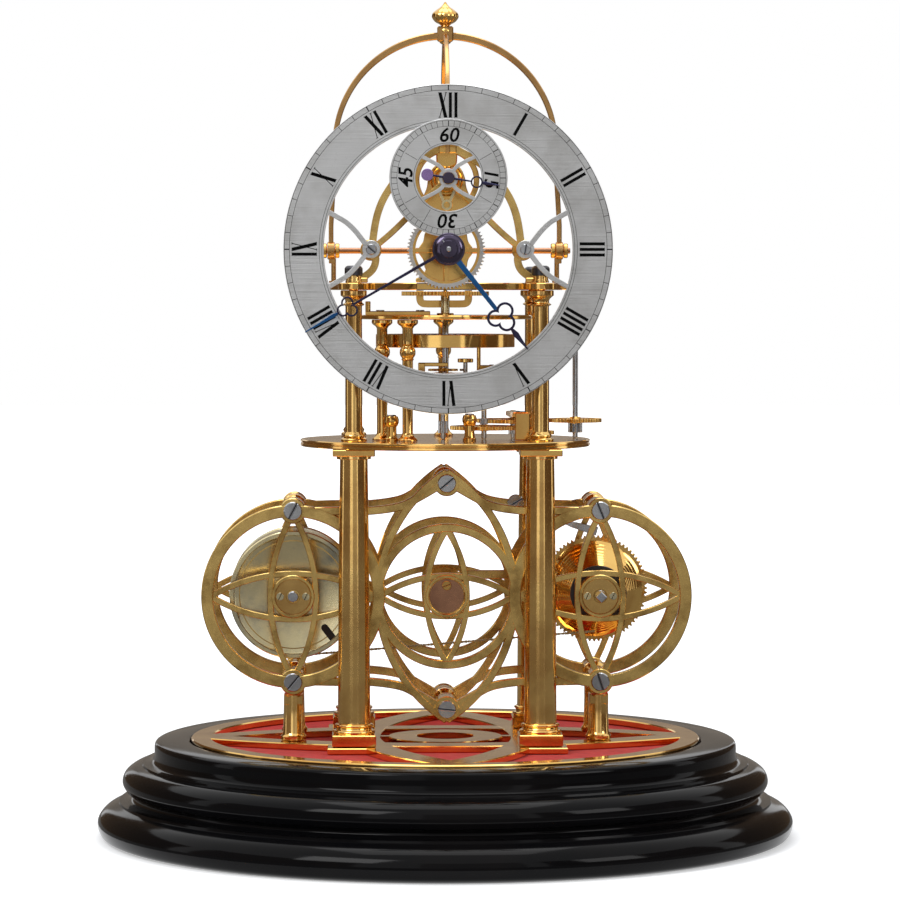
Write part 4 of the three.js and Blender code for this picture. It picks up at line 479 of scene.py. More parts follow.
def toothed(radius: float, teeth: int, depth: float) -> list[Point]:
    """A rim of rounded teeth, from the radius at their tips and their depth."""
    shape = ((0.0, 1.0), (0.2, 1.0), (0.3, 0.35), (0.5, 0.0), (0.7, 0.0), (0.8, 0.55))
    return cut_rim(teeth, [(share, radius - depth * (1 - height)) for share, height in shape])


def chamfered(shell: Shell, width: float) -> Shell:
    """Takes the sharp corners off a shell.

    Args:
        shell: The shell to soften.
        width: The chamfer's width; nothing happens at 0.

    Returns:
        The same shell.
    """
    if width > 0:
        sharp = [edge for edge in shell.edges if edge.calc_face_angle(0.0) > CHAMFER_ANGLE]
        bmesh.ops.bevel(
            shell, geom=sharp, offset=width, offset_type="OFFSET", segments=1,
            profile=0.5, affect="EDGES", material=-1, clamp_overlap=True,
        )
        bmesh.ops.remove_doubles(shell, verts=shell.verts, dist=WELD)
    return shell


def closed_line(shell: Shell, outline: Sequence[Point]) -> list[bmesh.types.BMEdge]:
    """Draws a closed line in the plane and gives its edges."""
    corners = [shell.verts.new((x, y, 0.0)) for x, y in outline]
    return [shell.edges.new(pair) for pair in zip(corners, corners[1:] + corners[:1])]


def thickened(shell: Shell, faces: list[bmesh.types.BMFace], thick: float, chamfer: float) -> Shell:
    """Pulls flat faces up into a plate.

    Args:
        shell: The mesh that holds the faces.
        faces: The flat faces.
        thick: The plate's thickness.
        chamfer: The width taken off its corners.

    Returns:
        The same mesh.
    """
    raised = bmesh.ops.extrude_face_region(shell, geom=faces)
    corners = [item for item in raised["geom"] if isinstance(item, bmesh.types.BMVert)]
    bmesh.ops.translate(shell, verts=corners, vec=(0.0, 0.0, thick))
    return chamfered(shell, chamfer)


def plate(outline: Sequence[Point], thick: float, chamfer: float = 0.0) -> Shell:
    """A flat plate with its underside at 0.

    Args:
        outline: The plate's outline.
        thick: Its thickness.
        chamfer: The width taken off its corners.

    Returns:
        The shell.
    """
    shell = bmesh.new()
    face = shell.faces.new([shell.verts.new((x, y, 0.0)) for x, y in outline])
    return thickened(shell, [face], thick, chamfer)


def bar(line: Sequence[Point], width: float, thick: float, chamfer: float, tip: float | None = None) -> Shell:
    """A flat bar along a line, narrowed to its tip where one is given."""
    return plate(strip(line, width, tip), thick, chamfer)


def open_plate(outer: Sequence[Point], inner: Sequence[Point], thick: float, chamfer: float) -> Shell:
    """A flat ring of any outline, both lines with as many points.

    Args:
        outer: The outer line.
        inner: The line round the opening.
        thick: The plate's thickness.
        chamfer: The width taken off its corners.

    Returns:
        The shell.
    """
    shell = bmesh.new()
    edges = closed_line(shell, outer) + closed_line(shell, inner)
    band = bmesh.ops.bridge_loops(shell, edges=edges)
    return thickened(shell, band["faces"], thick, chamfer)


def lathe(profile: Sequence[Point], steps: int, closed: bool = False) -> Shell:
    """A form turned about its own axis.

    Args:
        profile: Pairs of radius and height, from axis to axis unless closed.
        steps: Steps round the turn.
        closed: True for a profile that closes on itself, away from the axis.

    Returns:
        The shell.
    """
    shell = bmesh.new()
    points = [shell.verts.new((r, 0.0, h)) for r, h in profile]
    pairs = list(zip(points, points[1:]))
    if closed:
        pairs.append((points[-1], points[0]))
    edges = [shell.edges.new(pair) for pair in pairs]
    bmesh.ops.spin(
        shell, geom=points + edges, cent=(0.0, 0.0, 0.0), axis=(0.0, 0.0, 1.0), dvec=(0.0, 0.0, 0.0),
        angle=FULL_TURN, steps=steps, use_merge=True,
    )
    bmesh.ops.remove_doubles(shell, verts=shell.verts, dist=WELD)
    return shell


def rod(radius: float, length: float, steps: int = 24, chamfer: float = 0.15) -> Shell:
    """A round rod from 0 upwards with softened ends.

    Args:
        radius: The rod's radius.
        length: Its length.
        steps: Steps round it.
        chamfer: What is taken off its ends.

    Returns:
        The shell.
    """
    c = min(chamfer, radius / 2, length / 4)
    end = [(0.0, 0.0), (radius - c, 0.0), (radius, c)]
    return lathe(end + [(r, length - h) for r, h in reversed(end)], steps)


def block(x: float, y: float, z: float, chamfer: float = 0.2) -> Shell:
    """A box of a width, depth and height, standing on 0, with softened corners.

    Args:
        x: Its width.
        y: Its depth.
        z: Its height.
        chamfer: The width taken off its corners.

    Returns:
        The shell.
    """
    shell = bmesh.new()
    place = Matrix.Translation((0.0, 0.0, z / 2)) @ Matrix.Diagonal((x, y, z, 1.0))
    bmesh.ops.create_cube(shell, size=1.0, matrix=place)
    return chamfered(shell, chamfer)


def ring_bar(outer: float, inner: float, thick: float, steps: int, chamfer: float = 0.25) -> Shell:
    """A flat round ring with chamfered corners.

    Args:
        outer: The outer radius.
        inner: The inner radius.
        thick: The thickness.
        steps: Steps round it.
        chamfer: The width taken off its corners.

    Returns:
        The shell.
    """
    c = chamfer
    profile = [
        (inner + c, 0.0), (outer - c, 0.0), (outer, c), (outer, thick - c),
        (outer - c, thick), (inner + c, thick), (inner, thick - c), (inner, c),
    ]
    return lathe(profile, steps, closed=True)


class Facing(Enum):
    """Where a shell's own top looks; its second axis points up unless it looks up."""

    UP = Matrix.Identity(4)
    FRONT = Matrix.Rotation(math.pi / 2, 4, "X")
    BACK = Matrix.Rotation(math.pi, 4, "Z") @ Matrix.Rotation(math.pi / 2, 4, "X")
    RIGHT = Matrix.Rotation(math.pi / 2, 4, "Z") @ Matrix.Rotation(math.pi / 2, 4, "X")


def at(
    x: float = 0.0, y: float = 0.0, z: float = 0.0, facing: Facing = Facing.UP, turn: float = 0.0
) -> Matrix:
    """The place of a shell.

    Args:
        x: Where its origin goes, across.
        y: Where its origin goes, in depth.
        z: Where its origin goes, in height.
        facing: Where its top looks.
        turn: A turn about its own axis, in degrees.

    Returns:
        The matrix that puts it there.
    """
    own = Matrix.Rotation(math.radians(turn), 4, "Z")
    return Matrix.Translation((x, y, z)) @ facing.value @ own


def ahead(x: float, y: float, z: float, turn: float = 0.0) -> Matrix:
    """The place of a shell whose top looks to the front."""
    return at(x, y, z, Facing.FRONT, turn)


@dataclass
class Span:
    """The box of one frame node, in millimetres."""

    x0: float
    x1: float
    y0: float
    y1: float
    z0: float
    z1: float

    @classmethod
    def of(cls, node: str) -> "Span":
        """Reads a node's box from the frame."""
        return cls(*(value / MM for pair in zip(*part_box(node)) for value in pair))

    @property
    def x(self) -> float:
        """The middle, across."""
        return (self.x0 + self.x1) / 2

    @property
    def y(self) -> float:
        """The middle, in depth."""
        return (self.y0 + self.y1) / 2

    @property
    def z(self) -> float:
        """The middle, in height."""
        return (self.z0 + self.z1) / 2

    @property
    def deep(self) -> float:
        """The depth."""
        return self.y1 - self.y0

    @property
    def tall(self) -> float:
        """The height."""
        return self.z1 - self.z0


class Piece:
    """One visible piece in the making: closed shells, each with its finish."""

    def __init__(self, name: str, finish: Finish, node: str, body: str = "clock_frame") -> None:
        """Starts an empty piece.

        Args:
            name: The piece's name.
            finish: Its main finish.
            node: The frame node that it stands for.
            body: The frame body that carries it.
        """
        self.name = name
        self.node = node
        self.body = body
        self.box = Span.of(node)
        self.finishes = [finish]
        self.mesh = bmesh.new()

    def add(self, shell: Shell, place: Matrix, finish: Finish | None = None) -> None:
        """Adds a closed shell.

        Args:
            shell: The shell, which is used up.
            place: Where it goes.
            finish: Its finish, or None for the main one.
        """
        worn = finish or self.finishes[0]
        if worn not in self.finishes:
            self.finishes.append(worn)
        number = self.finishes.index(worn)
        bmesh.ops.transform(shell, matrix=place, verts=shell.verts)
        bmesh.ops.recalc_face_normals(shell, faces=shell.faces)
        for face in shell.faces:
            face.material_index = number
        loose = bpy.data.meshes.new("loose_shell")
        shell.to_mesh(loose)
        shell.free()
        self.mesh.from_mesh(loose)
        bpy.data.meshes.remove(loose)

    def screw(self, place: Matrix, radius: float, height: float, turn: float, finish: Finish) -> None:
        """Puts on a slotted screw head: a floor painted near-black as shade in the slot, and two halves that
        leave the slot open.

        Args:
            place: Where the head stands.
            radius: Its radius.
            height: Its height.
            turn: The slot's turn, in degrees.
            finish: The head's finish.
        """
        least, share, most_edge, edge_share = 0.28, 0.12, 0.35, 0.3
        start = math.asin(max(least, radius * share) / 2 / radius)
        half = arc(radius, start, math.pi - start, 16)
        # Painted shade: the slot's floor is near-black, standing in for the shadow in the slot.
        floor = rod(radius * 0.97, height * 0.55, 24, 0.05)
        self.add(floor, place @ at(turn=turn), SHADOWED_STEEL)
        for side_turn in (0.0, 180.0):
            shell = plate(half, height, min(most_edge, height * edge_share))
            self.add(shell, place @ at(turn=turn + side_turn), finish)

    def place(self) -> None:
        """Turns the piece into an object that rides on its body."""
        bmesh.ops.scale(self.mesh, vec=(MM, MM, MM), verts=self.mesh.verts)
        data = bpy.data.meshes.new(self.name)
        self.mesh.to_mesh(data)
        self.mesh.free()
        data.polygons.foreach_set("use_smooth", [True] * len(data.polygons))
        data.set_sharp_from_angle(angle=SHARP_ANGLE)
        for finish in self.finishes:
            data.materials.append(finish.material())
        made = bpy.data.objects.new(self.name, data)
        bpy.context.scene.collection.objects.link(made)
        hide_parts(self.node)
        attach(made, self.body)
        LOG.info("%s: %d faces on %s", self.name, len(data.polygons), self.body)


@dataclass
class Layers:
    """Flat parts in one plate, each a hair thinner than the last, so that no faces coincide."""

    piece: Piece
    place: Matrix
    thick: float
    step: float = 0.03
    lift: float = 0.0
    finish: Finish | None = None

    def lay(self, make: Callable[[float], Shell], x: float) -> None:
        """Lays the next part.

        Args:
            make: Makes the part in a given thickness.
            x: How far to the right it goes.
        """
        place = self.place @ at(x, 0.0, self.lift)
        self.piece.add(make(self.thick - 2 * self.lift), place, self.finish)
        self.lift += self.step

    def ring(self, outer: float, inner: float, steps: int, chamfer: float, x: float = 0.0) -> None:
        """Lays a round ring."""
        self.lay(lambda thick: ring_bar(outer, inner, thick, steps, chamfer), x)

    def bars(self, lines: Sequence[Sequence[Point]], width: float, chamfer: float, x: float = 0.0) -> None:
        """Lays a bar along each line."""
        for line in lines:
            self.lay(lambda thick: bar(line, width, thick, chamfer), x)


@dataclass
class Wheel:
    """A clock wheel: toothed rim, crossed-out arms, hub disc and collet."""

    radius: float
    teeth: int
    depth: float
    thick: float
    rim: float = 1.6
    arms: int = 4
    arm_width: float = 1.7
    hub: float = 3.2
    collet: float = 2.2
    collet_rise: float = 0.9
    solid: bool = False
    chamfer: float = 0.08

    def onto(self, piece: Piece, place: Matrix, finish: Finish | None = None) -> None:
        """Adds the wheel to a piece, its underside on the place's plane.

        Args:
            piece: The piece that gets the wheel.
            place: Where its middle goes.
            finish: The wheel's finish, or None for the piece's own.
        """
        outline = toothed(self.radius, self.teeth, self.depth)
        root = self.radius - self.depth
        if self.solid:
            piece.add(plate(outline, self.thick, self.chamfer), place, finish)
            line = ring_bar(root - 0.9, root - 1.3, 0.12, 72, 0.02)
            piece.add(line, place @ at(z=self.thick - 0.06), finish)
        else:
            self.crossings(piece, place, outline, root - self.rim, finish)
        collet = rod(self.collet, self.thick + 2 * self.collet_rise, 28, 0.25)
        piece.add(collet, place @ at(z=-self.collet_rise), finish)

    def crossings(
        self, piece: Piece, place: Matrix, outline: list[Point], inner: float, finish: Finish | None
    ) -> None:
        """Adds the rim, the arms and the hub disc.

        Args:
            piece: The piece that gets the wheel.
            place: Where its middle goes.
            outline: The toothed outline.
            inner: The rim's inner radius.
            finish: The wheel's finish, or None for the piece's own.
        """
        piece.add(open_plate(outline, circle(inner, len(outline)), self.thick, self.chamfer), place, finish)
        slim = self.thick - 0.08
        line = [(0.4 * self.hub, 0.0), (inner + 0.4 * self.rim, 0.0)]
        for i in range(self.arms):
            arm = bar(line, self.arm_width * 1.25, slim, self.chamfer, self.arm_width)
            piece.add(arm, place @ at(turn=360.0 * (i + 0.5) / self.arms) @ at(z=0.04), finish)
        piece.add(rod(self.hub, slim - 0.04, 32, 0.1), place @ at(z=0.06), finish)


def pinion(radius: float, leaves: int, length: float) -> Shell:
    """A pinion of rounded leaves, from the radius at their tips."""
    return plate(toothed(radius, leaves, radius * 0.38), length, 0.08)


@dataclass
class BaseStand:
    """The turned black base, the felt in its recess and the pierced plate."""

    foot: Line = ((133.6, 0.0), (137.6, 1.6), (139.2, 5.1), (138.6, 8.6), (135.6, 12.0), (130.6, 14.3))
    foot_step: Point = (130.4, 15.15)
    cove: Line = ((127.4, 15.3), (125.6, 16.1), (125.1, 17.4), (126.3, 18.6))
    bead: Line = ((127.6, 19.2), (129.2, 22.4), (128.2, 26.0), (124.8, 28.6), (121.4, 29.4))
    bead_step: Point = (121.2, 30.15)
    riser: Line = ((118.8, 30.3), (117.2, 31.2), (116.5, 33.0), (116.4, 36.8), (115.8, 38.3), (114.3, 38.95))
    lip: float = 102.45
    steps: int = 192
    star_half_width: float = 32.0
    star_bar: float = 12.0
    rim: float = 8.0
    hub: Point = (23.0, 11.5)
    pad_side: float = 21.0
    bridge_width: float = 5.0

    def build(self) -> None:
        """Makes the base, the felt and the plate."""
        self.wood()
        self.felt()
        self.pierced_plate()

    def wood(self) -> None:
        """Turns the moulded base."""
        piece = Piece("turned_base", BLACK_LACQUER, "wood_base")
        top = piece.box.z1
        floor = Span.of("felt_disc").z0 - 0.1
        profile = [(0.0, 0.05), (self.foot[0][0] - 1.4, 0.05), *smooth_run(self.foot, 5), self.foot_step]
        profile += [*smooth_run(self.cove, 3), *smooth_run(self.bead, 5), self.bead_step]
        profile += smooth_run(self.riser, 3)
        profile += [(self.lip + 0.5, top - 0.02), (self.lip, top - 0.4), (self.lip, floor), (0.0, floor)]
        piece.add(lathe(profile, self.steps), at())
        piece.place()

    def felt(self) -> None:
        """Lays the felt in the recess."""
        piece = Piece("felt_pad", RED_FELT, "felt_disc")
        piece.add(rod(piece.box.x1, piece.box.tall, 128, 0.5), at(z=piece.box.z0))
        piece.place()

    def pierced_plate(self) -> None:
        """Cuts the plate: rim, crossed arches, hub ring, pads and bridge."""
        piece = Piece("pierced_base_plate", POLISHED_BRASS, "base_plate")
        box, thick = piece.box, piece.box.tall
        inner = box.x1 - self.rim
        layers = Layers(piece, at(z=box.z0), thick)
        layers.ring(box.x1, inner, 160, 0.45)
        layers.bars(pointed_arches(self.star_half_width, inner + 1.2, 40), self.star_bar, 0.4)
        piece.add(ring_bar(*self.hub, thick - 0.3, 72, 0.4), at(z=box.z0 + 0.15))
        hub = self.hub[0]
        reach = self.star_half_width - hub + 2.0
        for side in SIDES:
            bridge = block(reach, self.bridge_width, thick - 0.36, 0.3)
            piece.add(bridge, at(side * (hub + reach / 2 - 1.0), 0.0, box.z0 + 0.18))
        for across in SIDES:
            for back in SIDES:
                pad = block(self.pad_side, self.pad_side, thick - 0.42, 0.35)
                piece.add(pad, at(across * COLUMN_X, back * COLUMN_Y, box.z0 + 0.21))
        piece.place()


@dataclass
class LowerPillars:
    """Four Tuscan columns and four short legs under the movement."""

    steps: int = 56
    plinth: Point = (17.2, 4.5)
    abacus: Point = (16.6, 2.6)
    base: Line = ((8.1, 0.3), (8.35, 0.95), (8.0, 1.55))
    hollow: Line = ((7.2, 1.75), (6.95, 2.3), (7.3, 2.9))
    ring: Line = ((7.45, 3.0), (7.6, 3.4), (7.3, 3.85))
    shaft: Line = ((6.6, 4.1), (6.4, 5.2), (6.25, 30.0), (5.95, 70.0), (5.55, 100.0), (5.45, 107.0))
    capital: Line = ((5.45, -1.3), (6.6, -1.25), (6.75, -1.1), (6.75, -0.2), (6.75, 0.3), (0.0, 0.3))
    leg_foot: Line = (
        (0.0, 0.0), (4.9, 0.0), (5.15, 0.3), (5.15, 1.5), (4.9, 1.8), (4.5, 2.3), (4.15, 3.4), (3.95, 12.0),
    )
    leg_top: float = 3.2
    saddle_half: float = 3.75
    saddle_deep: float = 7.2
    saddle_curve: tuple[float, ...] = (0.62, 0.4, 0.2, 0.0, -0.2, -0.4, -0.62)
    boss: float = 5.2

    def build(self) -> None:
        """Makes the columns and the legs."""
        for corner in CORNERS:
            self.column(corner)
            self.leg(corner)

    def column(self, corner: str) -> None:
        """Makes one column.

        Args:
            corner: Which of the four.
        """
        piece = Piece(f"column_{corner}", TURNED_BRASS, f"lower_column_{corner}")
        box = piece.box
        width, low = self.plinth
        top = box.tall - self.abacus[1]
        profile = [(0.0, low - 0.6), (7.9, low - 0.6)]
        for run, spans in ((self.base, 4), (self.hollow, 3), (self.ring, 4), (self.shaft, 5)):
            profile += [(r, low + h) for r, h in smooth_run(run, spans)]
        profile += [(r, top + h) for r, h in self.capital]
        piece.add(lathe(profile, self.steps), at(box.x, box.y, box.z0))
        piece.add(block(width, width, low, 0.35), at(box.x, box.y, box.z0), POLISHED_BRASS)
        abacus = block(self.abacus[0], *self.abacus, 0.3)
        piece.add(abacus, at(box.x, box.y, box.z0 + top), POLISHED_BRASS)
        piece.place()

    def leg(self, corner: str) -> None:
        """Makes one leg, saddled under a frame pillar.

        Args:
            corner: Which of the four.
        """
        piece = Piece(f"leg_{corner}", TURNED_BRASS, f"movement_leg_{corner}")
        box = piece.box
        top = box.tall - self.leg_top
        piece.add(lathe([*self.leg_foot, (3.85, top), (0.0, top)], self.steps), at(box.x, box.y, box.z0))
        half, boss = self.saddle_half, self.boss
        saddle = [(-half, -6.0), (half, -6.0), (half, -1.6)]
        saddle += [(boss * math.sin(a), 2.05 - boss * math.cos(a)) for a in self.saddle_curve]
        cradle = plate([*saddle, (-half, -1.6)], self.saddle_deep, 0.2)
        piece.add(cradle, ahead(box.x, box.y + self.saddle_deep / 2, box.z1 - 0.9))
        piece.place()


class FramePillar(Enum):
    """The frame pillars: right of and above the movement's axis, and the slot's turn in degrees."""

    TOP = (0.0, 44.6, 40.0)
    BOTTOM = (0.0, -44.6, 174.0)
    LEFT_TOP = (-60.6, 33.8, 62.0)
    LEFT_BOTTOM = (-60.6, -33.8, 50.0)
    RIGHT_TOP = (60.6, 33.8, 112.0)
    RIGHT_BOTTOM = (60.6, -33.8, 108.0)


@dataclass
class MovementFrames:
    """Two pierced frames held apart by six turned pillars."""

    thick: float = 4.0
    side: float = 60.6
    side_ring: Point = (36.2, 31.4)
    centre_ring: Point = (28.7, 25.4)
    star_bar: float = 2.3
    centre_star: Point = (8.0, 26.4)
    side_star: Point = (9.0, 32.4)
    tall_arch: Point = (27.0, 49.0)
    arch_bar: float = 3.0
    brace_bar: float = 3.2
    brace: Line = ((-1.5, 44.6), (-11.3, 38.9), (-18.4, 35.5), (-30.2, 33.8), (-42.0, 33.8), (-60.6, 33.4))
    hub: float = 8.5
    recess: float = 7.1
    recess_deep: float = 2.3
    boss: float = 5.1
    click: Line = ((43.5, 127.2), (52.0, 123.6), (62.0, 120.8))
    click_screw: Point = (29.0, 132.6)
    pillar_half: Line = (
        (2.85, 0.0), (2.75, 4.0), (2.7, 7.6), (3.3, 8.6), (4.75, 9.6), (4.85, 10.4), (4.85, 12.4),
        (4.4, 12.9), (4.4, 13.6), (4.85, 14.0), (4.85, 22.8), (4.6, 23.05), (0.0, 23.05),
    )
    head_radius: float = 3.65
    head: float = 1.55

    def build(self) -> None:
        """Makes both frames and the pillars between them."""
        self.frame("front")
        self.frame("back")
        for spot in FramePillar:
            self.pillar(spot)

    @property
    def axis(self) -> float:
        """The height of the movement's axis."""
        return Span.of("front_frame").z

    def frame(self, place: str) -> None:
        """Makes one frame.

        Args:
            place: "front" or "back".
        """
        piece = Piece(f"{place}_movement_frame", SATIN_BRASS, f"{place}_frame")
        layers = Layers(piece, ahead(0.0, piece.box.y1, self.axis), self.thick, 0.025)
        for side in SIDES:
            layers.ring(*self.side_ring, 112, 0.35, side * self.side)
        layers.ring(*self.centre_ring, 96, 0.35)
        layers.bars(pointed_arches(*self.tall_arch, 36)[:2], self.arch_bar, 0.3)
        layers.bars(four_ways(smooth_run(self.brace, 8)), self.brace_bar, 0.3)
        for x, star in ((0.0, self.centre_star), (-self.side, self.side_star), (self.side, self.side_star)):
            layers.bars(pointed_arches(*star, 24), self.star_bar, 0.2, x)
        if place == "front":
            self.hubs_and_bosses(piece, ahead(0.0, piece.box.y0 + self.thick, self.axis))
            self.hub_faces(piece)
        else:
            self.hubs_and_bosses(piece, at(0.0, piece.box.y1 - self.thick, self.axis, Facing.BACK))
            self.contrate_bar(piece)
            self.click_work(piece)
        piece.place()

    def hubs_and_bosses(self, piece: Piece, inside: Matrix) -> None:
        """Adds the hub discs with their recess and the round bosses.

        Args:
            piece: The frame's piece.
            inside: The middle of its inner face, looking outwards.
        """
        top, floor = self.thick - 0.02, self.thick - self.recess_deep
        profile = [
            (0.0, 0.02), (self.hub - 0.3, 0.02), (self.hub, 0.3), (self.hub, 3.7), (self.hub - 0.3, top),
            (self.recess + 0.2, top), (self.recess, 3.8), (self.recess, floor), (0.0, floor),
        ]
        for x in (-self.side, 0.0, self.side):
            piece.add(lathe(profile, 64), inside @ at(x))
        for spot in FramePillar:
            x, rise, _ = spot.value
            piece.add(rod(self.boss, 3.9, 40, 0.35), inside @ at(x, rise, 0.05))

    def hub_faces(self, piece: Piece) -> None:
        """Adds the caps in the outer hubs, the copper disc in the middle and their screws.

        Args:
            piece: The front frame's piece.
        """
        face, z = piece.box.y0, self.axis
        for x in (-self.side, self.side):
            cap = ring_bar(self.recess - 0.05, 2.6, 2.0, 56, 0.15)
            piece.add(cap, ahead(x, face + 2.4, z), TURNED_BRASS)
            for side in SIDES:
                piece.screw(ahead(x + side * 5.1, face + 0.35, z), 1.5, 0.3, 65.0, PALE_BRASS)
        floor = face + self.recess_deep
        piece.add(rod(self.recess - 0.3, 0.3, 56, 0.1), ahead(0.0, floor + 0.05, z), COPPER)
        piece.screw(ahead(0.0, floor - 0.2, z + 4.2), 1.9, 0.6, 20.0, POLISHED_BRASS)

    def click_work(self, piece: Piece) -> None:
        """Adds the steel click over the great wheel and the screw beside it.

        Args:
            piece: The back frame's piece.
        """
        face = piece.box.y0 + 0.1
        piece.add(bar(self.click, 1.4, 1.2, 0.15, 3.6), ahead(0.0, face, 0.0), POLISHED_STEEL)
        x, z = self.click_screw
        piece.screw(ahead(x, face, z), 3.3, 1.4, 30.0, POLISHED_STEEL)

    def contrate_bar(self, piece: Piece) -> None:
        """Adds the bar and eye that carry the contrate wheel's pivot.

        Args:
            piece: The back frame's piece.
        """
        eye = Span.of("contrate_wheel")
        piece.add(block(31.0, 4.4, 3.5, 0.3), at(21.6, piece.box.y0 + 2.35, eye.z - 1.75))
        profile = [(1.5, 0.0), (2.9, 0.0), (3.15, 0.3), (3.15, 5.2), (2.9, 5.5), (1.5, 5.5)]
        piece.add(lathe(profile, 36, closed=True), ahead(eye.x, piece.box.y0 + 5.6, eye.z))

    def pillar(self, spot: FramePillar) -> None:
        """Makes one frame pillar with its two slotted screw heads.

        Args:
            spot: Which of the six.
        """
        name = spot.name.lower()
        piece = Piece(f"pillar_{name}", TURNED_BRASS, f"frame_pillar_{name}")
        x, rise, turn = spot.value
        z = self.axis + rise
        front, back = piece.box.y0, piece.box.y1
        profile = [*((r, -y) for r, y in self.pillar_half[:0:-1]), *self.pillar_half]
        piece.add(lathe(profile, 40), ahead(x, 0.0, z))
        piece.add(rod(1.7, piece.box.deep - 2.0, 20, 0.1), ahead(x, back - 1.0, z), POLISHED_STEEL)
        for place, own in (
            (ahead(x, front + self.head, z), turn),
            (at(x, back - self.head, z, Facing.BACK), turn + 40.0),
        ):
            piece.screw(place, self.head_radius, self.head, own, POLISHED_STEEL)
        piece.place()


